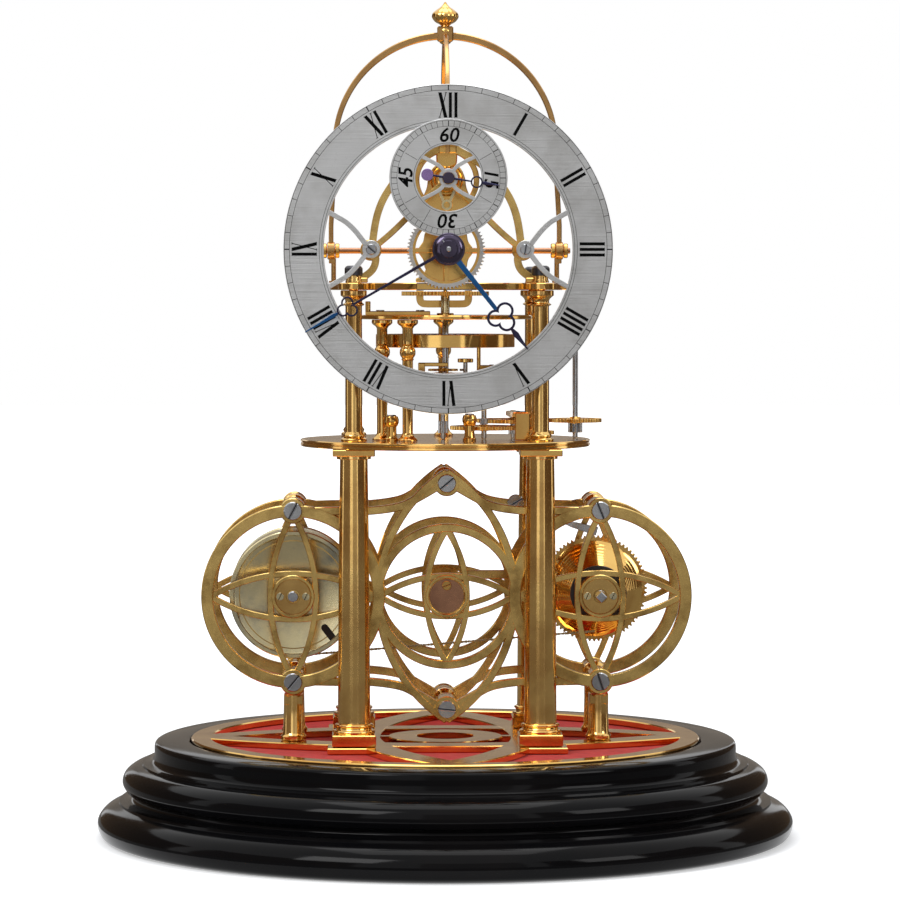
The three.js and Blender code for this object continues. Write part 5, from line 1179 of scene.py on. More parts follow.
@dataclass
class PowerTrain:
    """The barrel, the fusee with its great wheel, the chain and the upright drive."""

    barrel_radius: float = 25.4
    barrel_rim: float = 2.0
    hook_slot: Line = ((12.4, -13.2), (15.6, -17.4))
    hook_width: float = 2.9
    cone_front: float = -12.9
    cone_back: float = 14.0
    groove: Line = ((0.1, 0.0), (0.25, 0.25), (0.45, 0.9), (0.65, 0.9), (0.85, 0.25))
    groove_turns: int = 11
    great_radius: float = 21.6
    great_teeth: int = 72
    chain_links: int = 40
    link: Line = (
        (-0.5, 0.0), (-0.3, 0.48), (0.0, 0.3), (0.3, 0.48), (0.5, 0.0), (0.3, -0.48), (0.0, -0.3),
        (-0.3, -0.48),
    )

    def build(self) -> None:
        """Makes every piece of the drive between the frames."""
        self.barrel()
        self.barrel_arbor()
        self.fusee()
        self.great_wheel()
        self.chain()
        self.contrate_wheel()
        self.upright_arbor()

    def barrel(self) -> None:
        """Turns the drum with its raised rims and cover, and lays the hook slot as a near-black sheet of
        painted shade.
        """
        piece = Piece("barrel_drum", PALE_BRASS, "mainspring_barrel", "barrel")
        box, length, radius = piece.box, piece.box.deep, self.barrel_radius
        rim, wall = radius - self.barrel_rim, radius - 0.35
        profile = [(2.4, 0.0), (6.2, 0.0), (6.6, 0.3), (6.6, 0.9), (rim - 0.6, 1.1), (rim, 0.9), (rim, 0.3)]
        profile += [(rim + 0.3, 0.0), (radius - 0.4, 0.0), (radius, 0.4), (radius, 2.6), (wall, 2.9)]
        profile += [(wall, length - 2.9), (radius, length - 2.6), (radius, length - 0.4)]
        profile += [(radius - 0.4, length), (2.4, length)]
        shell = lathe([(r, length - h) for r, h in profile], 112, closed=True)
        piece.add(shell, ahead(box.x, box.y1, box.z))
        face = box.y0 + 1.75
        # Painted shade: the hook slot is a near-black bar and two pins on the cover, where the slot lies in
        # shadow.
        piece.add(bar(self.hook_slot, self.hook_width, 0.9, 0.1), ahead(box.x, face, box.z), SHADOWED_STEEL)
        for x, z in self.hook_slot:
            piece.add(rod(1.44, 0.88, 24, 0.1), ahead(box.x + x, face, box.z + z), SHADOWED_STEEL)
        piece.add(ring_bar(21.6, 21.2, 0.2, 96, 0.04), ahead(box.x, box.y0 + 1.2, box.z), SATIN_BRASS)
        piece.place()

    def barrel_arbor(self) -> None:
        """Makes the arbor with its ratchet."""
        piece = Piece("barrel_arbor_piece", POLISHED_STEEL, "barrel_arbor")
        box = piece.box
        piece.add(rod(2.15, box.deep, 32, 0.3), ahead(box.x, box.y1, box.z))
        piece.add(plate(toothed(5.4, 24, 0.7), 4.6, 0.1), ahead(box.x, -17.7, box.z))
        piece.place()

    def fusee(self) -> None:
        """Turns the fusee cone with its grooves, its stop and its square."""
        piece = Piece("fusee_cone", POLISHED_BRASS, "fusee", "fusee_arbor")
        box, front, back = piece.box, self.cone_front, self.cone_back
        profile = [(0.0, box.y0 + 5.0), (2.15, box.y0 + 5.0), (2.15, front - 2.4), (7.7, front - 2.4)]
        profile += [(8.0, front - 2.1), (8.0, front - 0.1), (10.0, front)]
        for turn in range(self.groove_turns):
            for share, sink in self.groove:
                along = (turn + share) / self.groove_turns
                radius = 205.8 / (19.6 - 9.1 * along) - sink - 0.15
                profile.append((radius, front + along * (back - front)))
        profile += [(19.4, back - 0.2), (19.4, back), (2.15, back), (2.15, box.y1), (0.0, box.y1)]
        piece.add(lathe([(r, -y) for r, y in profile], 96), ahead(box.x, 0.0, box.z))
        piece.add(block(3.3, 3.3, 6.2, 0.25), ahead(box.x, box.y0 + 6.2, box.z, 45.0), POLISHED_STEEL)
        piece.add(rod(2.2, box.y1 - 24.0, 28, 0.2), ahead(box.x, box.y1, box.z), POLISHED_STEEL)
        piece.add(rod(2.25, 12.0, 28, 0.2), ahead(box.x, -16.0, box.z), POLISHED_STEEL)
        piece.add(ring_bar(11.2, 6.9, 1.3, 72, 0.15), ahead(box.x, front - 0.4, box.z), DARK_STEEL)
        piece.place()

    def great_wheel(self) -> None:
        """Cuts the great wheel."""
        piece = Piece("great_wheel_piece", POLISHED_BRASS, "great_wheel", "fusee_arbor")
        box = piece.box
        wheel = Wheel(
            self.great_radius, self.great_teeth, 1.0, box.deep, solid=True, collet=5.0, collet_rise=0.05
        )
        wheel.onto(piece, ahead(box.x, box.y1, box.z))
        piece.place()

    def chain(self) -> None:
        """Strings the flat links of the chain from the barrel to the fusee."""
        piece = Piece("chain_links", CHAIN_STEEL, "drive_chain")
        box = piece.box
        start, end = Vector((box.x0 + 0.4, box.z0 + 0.7)), Vector((box.x1 - 0.4, box.z1 - 0.7))
        run = end - start
        slope = math.degrees(math.atan2(run.y, run.x))
        length = run.length / self.chain_links + 0.9
        link = [(x * length, y) for x, y in self.link]
        for i in range(self.chain_links):
            middle = start + run * ((i + 0.5) / self.chain_links)
            for depth in (-0.28,) if i % 2 else (-1.0, 0.45):
                piece.add(plate(link, 0.5), ahead(middle.x, box.y + depth + 0.5, middle.y, slope))
            joint = start + run * (i / self.chain_links)
            piece.add(rod(0.26, 2.1, 8, 0.05), ahead(joint.x, box.y + 1.05, joint.y), POLISHED_STEEL)
        piece.place()

    def contrate_wheel(self) -> None:
        """Makes the crown-toothed wheel on its arbor."""
        piece = Piece("contrate_wheel_piece", POLISHED_BRASS, "contrate_wheel", "contrate")
        x, z, front, back = piece.box.x, piece.box.z, piece.box.y0, piece.box.y1
        teeth = toothed(8.9, 36, 0.6)
        piece.add(open_plate(teeth, circle(6.9, len(teeth)), 2.9, 0.08), ahead(x, front + 3.0, z))
        piece.add(rod(7.1, 1.3, 64, 0.1), ahead(x, front + 2.97, z))
        piece.add(pinion(2.35, 8, 4.3), ahead(x, 17.5, z), POLISHED_STEEL)
        piece.add(rod(1.1, piece.box.deep - 1.7, 24, 0.2), ahead(x, back, z), POLISHED_STEEL)
        piece.add(rod(2.6, 2.2, 28, 0.3), ahead(x, front + 5.0, z))
        piece.place()

    def upright_arbor(self) -> None:
        """Makes the upright arbor with its pinion and drive wheel."""
        piece = Piece("upright_drive", POLISHED_STEEL, "upright_arbor", "upright")
        box = piece.box
        piece.add(rod(1.1, box.tall, 24, 0.2), at(box.x, box.y, box.z0))
        piece.add(pinion(1.95, 8, 2.9), at(box.x, box.y, box.z0 + 1.0))
        wheel = Wheel(7.15, 32, 0.8, 1.5, solid=True, collet=2.2, collet_rise=0.25)
        wheel.onto(piece, at(box.x, box.y, box.z1 - 2.15), POLISHED_BRASS)
        piece.place()


@dataclass
class UpperPlates:
    """The middle, sub and top plates with the columns and pillars between them."""

    steps: int = 48
    ear: float = 6.1
    arm: Point = (52.6, 9.8)
    arm_start: float = 40.0
    slot_half: float = 12.0
    slot_back: float = -9.0
    top_radius: float = 46.95
    mid_thick: float = 2.8
    mid_rise: float = 6.0
    mid_bosses: Line = ((-1.0, -7.5), (15.2, -7.5))
    studs: tuple[Place, ...] = ((9.0, -24.5, 10.8), (-21.7, -25.0, 10.4))
    bridge: Line = (
        (-9.8, 7.0), (-9.8, 3.4), (-9.0, 1.9), (-7.0, 1.5), (0.0, 1.5), (7.0, 1.5), (9.0, 1.9), (9.8, 3.4),
        (9.8, 7.0),
    )
    column_foot: Line = ((0.0, 0.0), (5.0, 0.0), (5.15, 0.3), (5.15, 0.9), (4.7, 1.3), (4.2, 1.5))
    shaft: Line = ((4.0, 1.7), (4.4, 2.2), (4.1, 2.9), (3.5, 3.8), (3.4, 4.6), (3.35, 20.0), (3.25, 52.6))
    collar: Line = ((3.3, 53.1), (4.0, 53.4), (4.1, 53.8), (3.5, 54.2), (3.3, 54.8), (3.6, 55.8), (4.6, 56.8))
    column_head: Line = (
        (5.1, 57.1), (5.15, 57.6), (5.15, 58.9), (4.9, 59.2), (1.75, 59.2), (1.75, 62.2), (3.2, 62.2),
        (3.25, 62.6), (2.95, 63.4), (2.9, 64.7), (2.9, 64.9), (0.0, 64.9),
    )
    nut: Line = ((0.0, 0.0), (3.3, 0.0), (3.55, 0.25), (3.55, 2.9), (3.1, 3.6), (2.4, 4.0), (0.0, 4.05))
    ball_rise: float = 34.8

    def build(self) -> None:
        """Makes the plates and what holds them apart."""
        self.middle_plate()
        self.top_plate()
        self.sub_plate()
        self.stirrup()
        for corner in CORNERS:
            self.column(corner)
        for number in (1, 2, 3):
            self.pillar(number)

    def middle_plate(self) -> None:
        """Turns the round middle plate with its small bosses and studs."""
        piece = Piece("middle_plate", POLISHED_BRASS, "mid_plate")
        box, thick = piece.box, self.mid_thick
        low = box.z0 + self.mid_rise
        bead, neck = box.x1 - 0.08, box.x1 - 0.5
        profile = [(0.0, 0.0), (neck, 0.0), (bead, 0.3), (bead, 1.1), (neck, 1.35), (neck, 1.55)]
        profile += [(bead, 1.8), (bead, 2.5), (box.x1 - 0.45, thick), (0.0, thick)]
        piece.add(lathe(profile, 160), at(z=low))
        for x, y in self.mid_bosses:
            piece.add(rod(1.95, 1.5, 28, 0.3), at(x, y, low - 0.88))
        bush = lathe([(1.5, 0.0), (2.3, 0.0), (2.55, 0.25), (2.55, 6.4), (1.5, 6.4)], 32, closed=True)
        drive = Span.of("upright_arbor")
        piece.add(bush, at(drive.x, drive.y, box.z0 + 0.02))
        for x, y, tall in self.studs:
            stud = [(0.0, -0.5), (2.65, -0.5), (2.65, 0.9), (2.3, 1.2), (2.0, 2.2), (1.95, tall - 4.8)]
            stud += [(2.4, tall - 4.4), (2.85, tall - 3.2), (2.9, tall - 2.0), (2.5, tall - 0.7)]
            piece.add(lathe([*stud, (0.0, tall - 0.1)], 36), at(x, y, low + thick))
            piece.screw(at(x, y, low + thick + tall - 0.75), 1.9, 0.7, 30.0 + x, POLISHED_STEEL)
        piece.place()

    def top_plate(self) -> None:
        """Cuts the round top plate with its front slot, ears and side arm."""
        piece = Piece("top_plate_piece", POLISHED_BRASS, "top_plate")
        box, thick = piece.box, piece.box.tall
        half = self.slot_half
        start = math.asin(half / self.top_radius) - math.pi / 2
        outline = arc(self.top_radius, start, math.pi - start, 120)
        outline += [(-half, self.slot_back), (half, self.slot_back)]
        piece.add(plate(outline, thick, 0.3), at(z=box.z0))
        for across in SIDES:
            for back in SIDES:
                ear = rod(self.ear, thick - 0.1, 48, 0.3)
                piece.add(ear, at(across * COLUMN_X, back * COLUMN_Y, box.z0 + 0.05))
        arm = bar([(self.arm_start, self.arm[1]), self.arm], 5.9, thick - 0.16, 0.3)
        piece.add(arm, at(z=box.z0 + 0.08))
        piece.add(rod(2.95, thick - 0.22, 36, 0.3), at(*self.arm, box.z0 + 0.11))
        bush = lathe([(1.5, 0.0), (3.4, 0.0), (3.6, 0.15), (3.6, 0.3), (1.5, 0.4)], 40, closed=True)
        piece.add(bush, at(z=box.z1 - 0.06), PALE_BRASS)
        piece.place()

    def sub_plate(self) -> None:
        """Makes the plate over the balance with its spring bar, in the plate's brass."""
        piece = Piece("sub_plate_piece", POLISHED_BRASS, "sub_plate")
        low = piece.box.z0
        piece.add(rod(34.7, 1.6, 128, 0.3), at(z=low))
        piece.add(ring_bar(3.4, 1.7, 1.5, 40, 0.2), at(z=low + 0.9))
        piece.add(block(25.9, 5.9, 1.7, 0.25), at(-19.0, 0.0, low + 1.5))
        piece.add(rod(1.05, 4.4, 24, 0.2), at(-30.9, 0.0, low + 2.7))
        for x, turn in ((-26.0, 40.0), (-10.0, 100.0)):
            piece.screw(at(x, 0.0, low + 3.15), 1.7, 0.5, turn, POLISHED_STEEL)
        piece.place()

    def stirrup(self) -> None:
        """Bends the stirrup under the top plate."""
        piece = Piece("stirrup", POLISHED_BRASS, "stirrup_bracket")
        shell = bar(smooth_run(self.bridge, 5), 2.9, 3.9, 0.3)
        piece.add(shell, ahead(0.0, piece.box.y1 - 0.05, piece.box.z0 - 0.1))
        piece.place()

    def column(self, corner: str) -> None:
        """Turns one upper column with the nut over the top plate.

        Args:
            corner: Which of the four.
        """
        piece = Piece(f"upper_column_piece_{corner}", TURNED_BRASS, f"upper_column_{corner}")
        box = piece.box
        profile = [*self.column_foot, *smooth_run(self.shaft, 3), *smooth_run(self.collar, 3)]
        piece.add(lathe([*profile, *self.column_head], self.steps), at(box.x, box.y, box.z0))
        piece.add(lathe(self.nut, 36), at(box.x, box.y, box.z1 - 4.06), DARK_STEEL)
        piece.add(ring_bar(2.3, 1.3, 0.1, 32, 0.02), at(box.x, box.y, box.z1 - 0.16), POLISHED_STEEL)
        piece.place()

    def pillar(self, number: int) -> None:
        """Turns one slim pillar between the middle plate and the sub plate.

        Args:
            number: Which of the three.
        """
        piece = Piece(f"slim_pillar_{number}", TURNED_BRASS, f"plate_pillar_{number}")
        box, ball, top = piece.box, self.ball_rise, piece.box.tall
        neck = ((2.1, 3.2), (2.5, 2.8), (2.2, 2.4))
        profile = [(0.0, 0.0), (3.9, 0.0), (3.95, 0.5), (3.5, 1.1), (3.0, 1.4), (2.3, 2.4), (2.1, 3.2)]
        profile += [(r, ball - h) for r, h in neck]
        for turn in (-1.3, -0.9, -0.45, 0.0, 0.45, 0.9, 1.3):
            profile.append((2.2 + 0.95 * math.cos(turn), ball + 1.9 * math.sin(turn)))
        profile += [(r, ball + h) for r, h in reversed(neck)]
        head = ((2.1, 3.4), (2.6, 2.6), (3.6, 1.9), (4.1, 1.3), (4.1, 0.3), (3.9, 0.0), (0.0, 0.0))
        profile += [(r, top - h) for r, h in head]
        piece.add(lathe(profile, 36), at(box.x, box.y, box.z0))
        piece.place()


@dataclass
class GoingTrain:
    """Wheels on upright arbors over the middle plate."""

    thick: float = 1.56
    arbor: float = 1.08
    cock_foot: Point = (30.0, -19.5)
    cock_line: Line = ((29.4, -21.0), (28.4, -14.0), (27.6, -6.0), (27.3, 4.2))

    def build(self) -> None:
        """Makes the wheels and their cock."""
        second = Wheel(14.6, 60, 0.65, self.thick, rim=1.7, collet=2.0, collet_rise=0.5)
        third = Wheel(13.6, 60, 0.65, self.thick, rim=1.7, collet=2.0, collet_rise=0.5)
        outer = Wheel(10.7, 44, 0.65, self.thick, rim=1.6, collet=2.2, collet_rise=0.6)
        self.wheel("second", second, 165.42, pinion(1.9, 8, 1.9), 160.85).place()
        self.wheel("third", third, 163.02, pinion(1.72, 8, 2.1), 165.25).place()
        spot = UpperPlates.arm
        piece = self.wheel("outer", outer, 165.42, pinion(2.95, 12, 3.9), 161.25, spot)
        piece.add(rod(1.9, 2.0, 24, 0.3), at(*spot, piece.box.z1 - 6.0), POLISHED_BRASS)
        piece.place()
        self.cock()

    def wheel(
        self, name: str, wheel: Wheel, rise: float, leaves: Shell, leaves_rise: float, spot: Point | None = None
    ) -> Piece:
        """Makes a crossed-out wheel on its arbor.

        Args:
            name: Its name in the train.
            wheel: The wheel.
            rise: The height of its underside.
            leaves: Its pinion.
            leaves_rise: The height of the pinion's underside.
            spot: Where it stands, or None for the middle of its solid.

        Returns:
            The piece, not placed yet.
        """
        piece = Piece(f"{name}_wheel_piece", POLISHED_BRASS, f"{name}_wheel", name)
        x, y = spot or (piece.box.x, piece.box.y)
        wheel.onto(piece, at(x, y, rise))
        piece.add(rod(self.arbor, piece.box.tall, 24, 0.2), at(x, y, piece.box.z0), POLISHED_STEEL)
        piece.add(leaves, at(x, y, leaves_rise), POLISHED_STEEL)
        return piece

    def cock(self) -> None:
        """Makes the cock that reaches over the second wheel."""
        piece = Piece("train_cock_piece", POLISHED_BRASS, "train_cock")
        low, high = piece.box.z0, piece.box.z1
        piece.add(block(5.9, 4.9, piece.box.tall - 0.1, 0.35), at(*self.cock_foot, low))
        piece.add(bar(smooth_run(self.cock_line, 8), 6.6, 2.1, 0.3, 5.2), at(z=high - 2.13))
        end = self.cock_line[-1]
        piece.add(rod(2.9, 2.0, 40, 0.3), at(*end, high - 2.09))
        piece.screw(at(29.5, -18.2, high - 0.25), 2.0, 0.6, 25.0, BLUED_STEEL)
        piece.screw(at(*end, high - 0.2), 1.1, 0.4, 70.0, POLISHED_STEEL)
        piece.place()


@dataclass
class Escapement:
    """The platform with its escape wheel, detent, balance and spring."""

    platform_radius: float = 21.9
    platform_low: float = 183.6
    platform_thick: float = 1.6
    escape: Point = (-1.0, -7.5)
    escape_low: float = 186.42
    escape_tooth: Line = ((0.0, 4.3), (0.35, 4.75), (0.55, 6.0), (0.62, 5.7), (0.72, 4.5))
    pivot: Point = (7.8, -9.5)
    detent_tip: Point = (5.7, -8.0)
    rim: tuple[float, float, float] = (27.75, 26.7, 25.8)
    rim_low: float = 195.8
    rim_high: float = 201.0
    cut_half: float = 1.75
    cut_middle: float = 8.15
    arm: Line = ((-25.9, -1.9), (-6.0, -1.6), (-3.6, -3.2), (3.6, -3.2), (6.0, -1.6), (25.9, -1.9))
    weight_reach: float = 24.1
    weight_angle: float = 111.6
    screw_reach: float = 27.1
    screw_start: float = 20.0
    screw_step: float = 9.4
    middle: float = 198.4
    staff: Line = (
        (0.0, 185.32), (0.5, 185.4), (0.6, 186.2), (1.15, 186.6), (1.15, 195.9), (2.2, 196.1), (2.35, 196.4),
        (2.35, 197.6), (2.1, 198.0), (1.15, 198.1), (1.15, 205.8), (0.65, 206.6), (0.65, 207.4),
        (0.0, 207.45),
    )
    spring_start: float = 3.2
    spring_end: float = 12.0
    spring_turns: int = 5
    wire: float = 0.42

    def build(self) -> None:
        """Makes every piece of the escapement."""
        self.platform()
        self.escape_wheel()
        self.detent()
        self.balance()
        self.balance_spring()

    def platform(self) -> None:
        """Makes the copper-toned platform, its ears and its cocks."""
        piece = Piece("platform_piece", COPPER, "escapement_platform")
        low, thick = self.platform_low, self.platform_thick
        top = low + thick
        piece.add(rod(self.platform_radius, thick, 96, 0.25), at(z=low))
        for number in (1, 2, 3):
            pillar = Span.of(f"plate_pillar_{number}")
            way = Vector((pillar.x, pillar.y))
            line = [way.normalized() * 18.0, way - way.normalized()]
            piece.add(bar(line, 4.9, thick - 0.08, 0.2), at(z=low + 0.04))
            piece.add(ring_bar(3.75, 2.2, thick - 0.14, 40, 0.2), at(*way, low + 0.07))
        y = self.escape[1]
        for shell, x, z in (
            (block(6.3, 4.7, 1.7, 0.25), 16.45, 187.02),
            (block(2.4, 4.7, 2.6, 0.2), 18.45, top - 0.3),
            (block(2.7, 5.9, 4.5, 0.25), -9.6, top - 0.1),
            (block(11.9, 3.1, 1.5, 0.25), -5.0, 188.24),
        ):
            piece.add(shell, at(x, y, z), POLISHED_BRASS)
        piece.screw(at(18.3, y, 188.5), 0.95, 0.45, 20.0, BLUED_STEEL)
        piece.screw(at(-9.2, y, 189.3), 1.1, 0.45, 65.0, BLUED_STEEL)
        piece.add(rod(0.78, 12.2, 20, 0.1), at(13.4, 0.0, top - 0.2), POLISHED_BRASS)
        piece.place()

    def escape_wheel(self) -> None:
        """Cuts the pointed escape wheel on its arbor."""
        piece = Piece("escape_wheel_piece", POLISHED_STEEL, "escape_wheel", "escape")
        box, low = piece.box, self.escape_low
        outline = cut_rim(15, self.escape_tooth)
        rim = open_plate(outline, circle(3.2, len(outline)), 0.86, 0.04)
        piece.add(rim, at(*self.escape, low), POLISHED_BRASS)
        for turn in (0.0, 45.0, 90.0, 135.0):
            spoke = bar([(-3.4, 0.0), (3.4, 0.0)], 0.8, 0.8, 0.04)
            piece.add(spoke, at(*self.escape, low + 0.03, turn=turn), POLISHED_BRASS)
        piece.add(rod(0.97, box.tall, 24, 0.15), at(*self.escape, box.z0))
        piece.add(pinion(2.15, 10, 4.9), at(*self.escape, 161.65))
        piece.add(rod(1.5, 1.6, 24, 0.2), at(*self.escape, low - 0.32), POLISHED_BRASS)
        piece.place()

    def detent(self) -> None:
        """Makes the detent lever on its pivot."""
        piece = Piece("detent_piece", POLISHED_STEEL, "detent", "detent_lever")
        piece.add(rod(0.88, piece.box.tall - 0.6, 20, 0.1), at(*self.pivot, piece.box.z0))
        piece.add(rod(3.1, 1.55, 40, 0.2), at(*self.pivot, 189.82), POLISHED_BRASS)
        piece.screw(at(*self.pivot, 191.0), 1.1, 0.35, 50.0, POLISHED_STEEL)
        piece.add(bar([self.pivot, self.detent_tip], 0.9, 0.86, 0.05, 0.5), at(z=self.escape_low))
        piece.place()

    def half_rim(self, inner: float, outer: float, start: float, tall: float) -> Shell:
        """One free half of the cut rim.

        Args:
            inner: Its inner radius.
            outer: Its outer radius.
            start: The angle where it starts, in degrees.
            tall: Its height.

        Returns:
            The shell.
        """
        end = start + 180.0 - 2 * self.cut_half
        line = arc((inner + outer) / 2, math.radians(start), math.radians(end), 72)
        return bar(line, outer - inner, tall, 0.15)

    def balance(self) -> None:
        """Makes the balance: cut rim of two metals, arm, weights and staff."""
        piece = Piece("balance_piece", POLISHED_BRASS, "balance_wheel", "balance")
        low, tall = self.rim_low, self.rim_high - self.rim_low
        outer, joint, inner = self.rim
        first = self.cut_middle + self.cut_half
        for start in (first, first + 180.0):
            piece.add(self.half_rim(joint, outer, start, tall - 0.1), at(z=low + 0.05))
            steel = self.half_rim(inner + 0.05, joint + 0.05, start, tall - 0.3)
            piece.add(steel, at(z=low + 0.15), POLISHED_STEEL)
        outline = [*self.arm, *((x, -y) for x, y in reversed(self.arm))]
        piece.add(plate(outline, 1.7, 0.2), at(z=198.65))
        for half_turn in (0.0, 180.0):
            angle = self.weight_angle + half_turn
            x, y = polar(self.weight_reach, math.radians(angle))
            piece.add(rod(2.2, 3.9, 36, 0.4), at(x, y, low + 0.65))
            piece.screw(at(x, y, self.rim_high - 0.75), 1.3, 0.3, angle, POLISHED_STEEL)
            for k in range(9):
                place = at(turn=self.screw_start + half_turn + k * self.screw_step)
                outwards = at(self.screw_reach, 0.0, self.middle) @ Matrix.Rotation(math.pi / 2, 4, "Y")
                piece.add(rod(0.7, 0.62, 12, 0.1), place @ outwards, PALE_BRASS)
        piece.add(lathe(self.staff, 32), at(), POLISHED_STEEL)
        piece.add(rod(3.3, 2.6, 40, 0.3), at(z=self.middle - 0.2))
        piece.place()

    def balance_spring(self) -> None:
        """Winds the blued ribbon from the collet to its outer stud."""
        piece = Piece("spring_ribbon", BLUED_STEEL, "balance_spring")
        steps = self.spring_turns * 48
        growth = (self.spring_end - self.spring_start) / steps
        turn = FULL_TURN * self.spring_turns / steps
        line = [polar(self.spring_start + growth * i, turn * i) for i in range(steps + 1)]
        piece.add(bar(line, self.wire * 0.8, self.wire * 1.8, 0.0), at(z=197.0 - self.wire * 0.9))
        piece.place()


@dataclass
class MotionWork:
    """The crown wheel under the top plate and the wheel that drives the hands."""

    arbor: Line = (
        (0.0, 0.0), (0.75, 0.0), (0.75, 0.85), (1.7, 0.95), (1.75, 1.4), (1.75, 9.4), (1.5, 10.0),
        (0.75, 10.1),
    )
    wheel_back: float = -16.14
    bell_foot: Line = ((11.9, 0.1), (11.9, 1.7))
    bell: Line = ((10.0, 2.6), (8.4, 4.4), (6.9, 7.8), (5.4, 11.4), (4.9, 13.6), (4.2, 16.0), (2.4, 17.6))
    bell_top: Point = (0.0, 17.9)
    rose_radius: float = 10.3
    rose_wave: float = 0.6
    rose_lobes: int = 8
    pipe: Line = ((1.4, 0.0), (2.75, 0.0), (2.95, 0.3), (2.95, 11.6), (2.6, 11.95), (1.4, 11.95))
    screw_x: float = 8.8

    def build(self) -> None:
        """Makes the wheels and the cock."""
        self.crown_wheel()
        self.motion_wheel()
        self.motion_cock()

    def crown_wheel(self) -> None:
        """Makes the crown wheel and its arbor."""
        piece = Piece("crown_wheel_piece", POLISHED_BRASS, "crown_wheel", "crown")
        wheel = Wheel(17.5, 72, 0.8, 1.7, rim=2.2, arm_width=2.0, hub=4.2, collet=3.2, collet_rise=0.0)
        wheel.onto(piece, at(z=piece.box.z0 + 0.05))
        piece.place()
        piece = Piece("crown_arbor_piece", PALE_BRASS, "crown_arbor", "crown")
        top = piece.box.tall
        piece.add(lathe([*self.arbor, (0.75, top), (0.0, top)], 32), at(z=piece.box.z0))
        piece.place()

    def motion_wheel(self) -> None:
        """Makes the silver-toothed wheel on the minute arbor."""
        piece = Piece("motion_wheel_piece", SILVERED, "motion_wheel", "minute")
        z, back = piece.box.z, self.wheel_back
        teeth = toothed(15.5, 64, 0.9)
        piece.add(open_plate(teeth, circle(13.2, len(teeth)), 1.7, 0.08), ahead(0.0, back, z))
        wheel = Wheel(14.4, 64, 0.3, 1.55, rim=1.9, arm_width=1.5, hub=3.6, collet=2.55, collet_rise=1.4)
        wheel.onto(piece, ahead(0.0, back - 0.08, z, 45.0), POLISHED_BRASS)
        piece.add(rod(0.97, piece.box.deep, 24, 0.2), ahead(0.0, piece.box.y1, z), POLISHED_STEEL)
        piece.place()

    def motion_cock(self) -> None:
        """Makes the bell-shaped cock of the minute arbor, with its scalloped rose and pipe."""
        piece = Piece("motion_cock_piece", POLISHED_BRASS, "motion_cock")
        back, low = piece.box.y1, piece.box.z0
        axis = Span.of("motion_wheel").z
        side = [*self.bell_foot, *smooth_run([self.bell_foot[-1], *self.bell], 4)[1:]]
        outline = [*side, self.bell_top, *mirrored(side)[::-1]]
        piece.add(plate(outline, 2.9, 0.3), ahead(0.0, back - 2.02, low))
        turns = [math.pi * i / 64 for i in range(128)]
        waves = [self.rose_wave * math.cos(self.rose_lobes * turn) for turn in turns]
        scallops = [polar(self.rose_radius + wave, turn) for wave, turn in zip(waves, turns)]
        piece.add(open_plate(scallops, circle(1.6, len(turns)), 1.4, 0.25), ahead(0.0, back - 1.2, axis))
        piece.add(lathe(self.pipe, 40, closed=True), ahead(0.0, back - 0.02, axis))
        for way, turn in zip(SIDES, (30.0, 110.0)):
            place = ahead(way * self.screw_x, back - 4.9, low + 2.2)
            piece.screw(place, 1.4, 0.6, turn, BLUED_STEEL)
        piece.place()


@dataclass(frozen=True)
class LetterForm:
    """A letter's width and its strokes, each with foot, head and weight."""

    width: float
    strokes: tuple[tuple[float, float, float], ...]


class Letter(Enum):
    """The upright letters of the hours, with one thick and one hair stroke."""

    I = LetterForm(2.15, ((1.07, 1.07, 1.18),))
    V = LetterForm(3.5, ((1.85, 0.7, 1.25), (1.95, 3.0, 0.3)))
    X = LetterForm(3.7, ((2.95, 0.75, 1.3), (0.65, 3.1, 0.3)))


NUMERALS = ("XII", "I", "II", "III", "IIII", "V", "VI", "VII", "VIII", "IX", "X", "XI")
SECONDS = ("60", "45", "30", "15")
SECONDS_RISE = 27.5


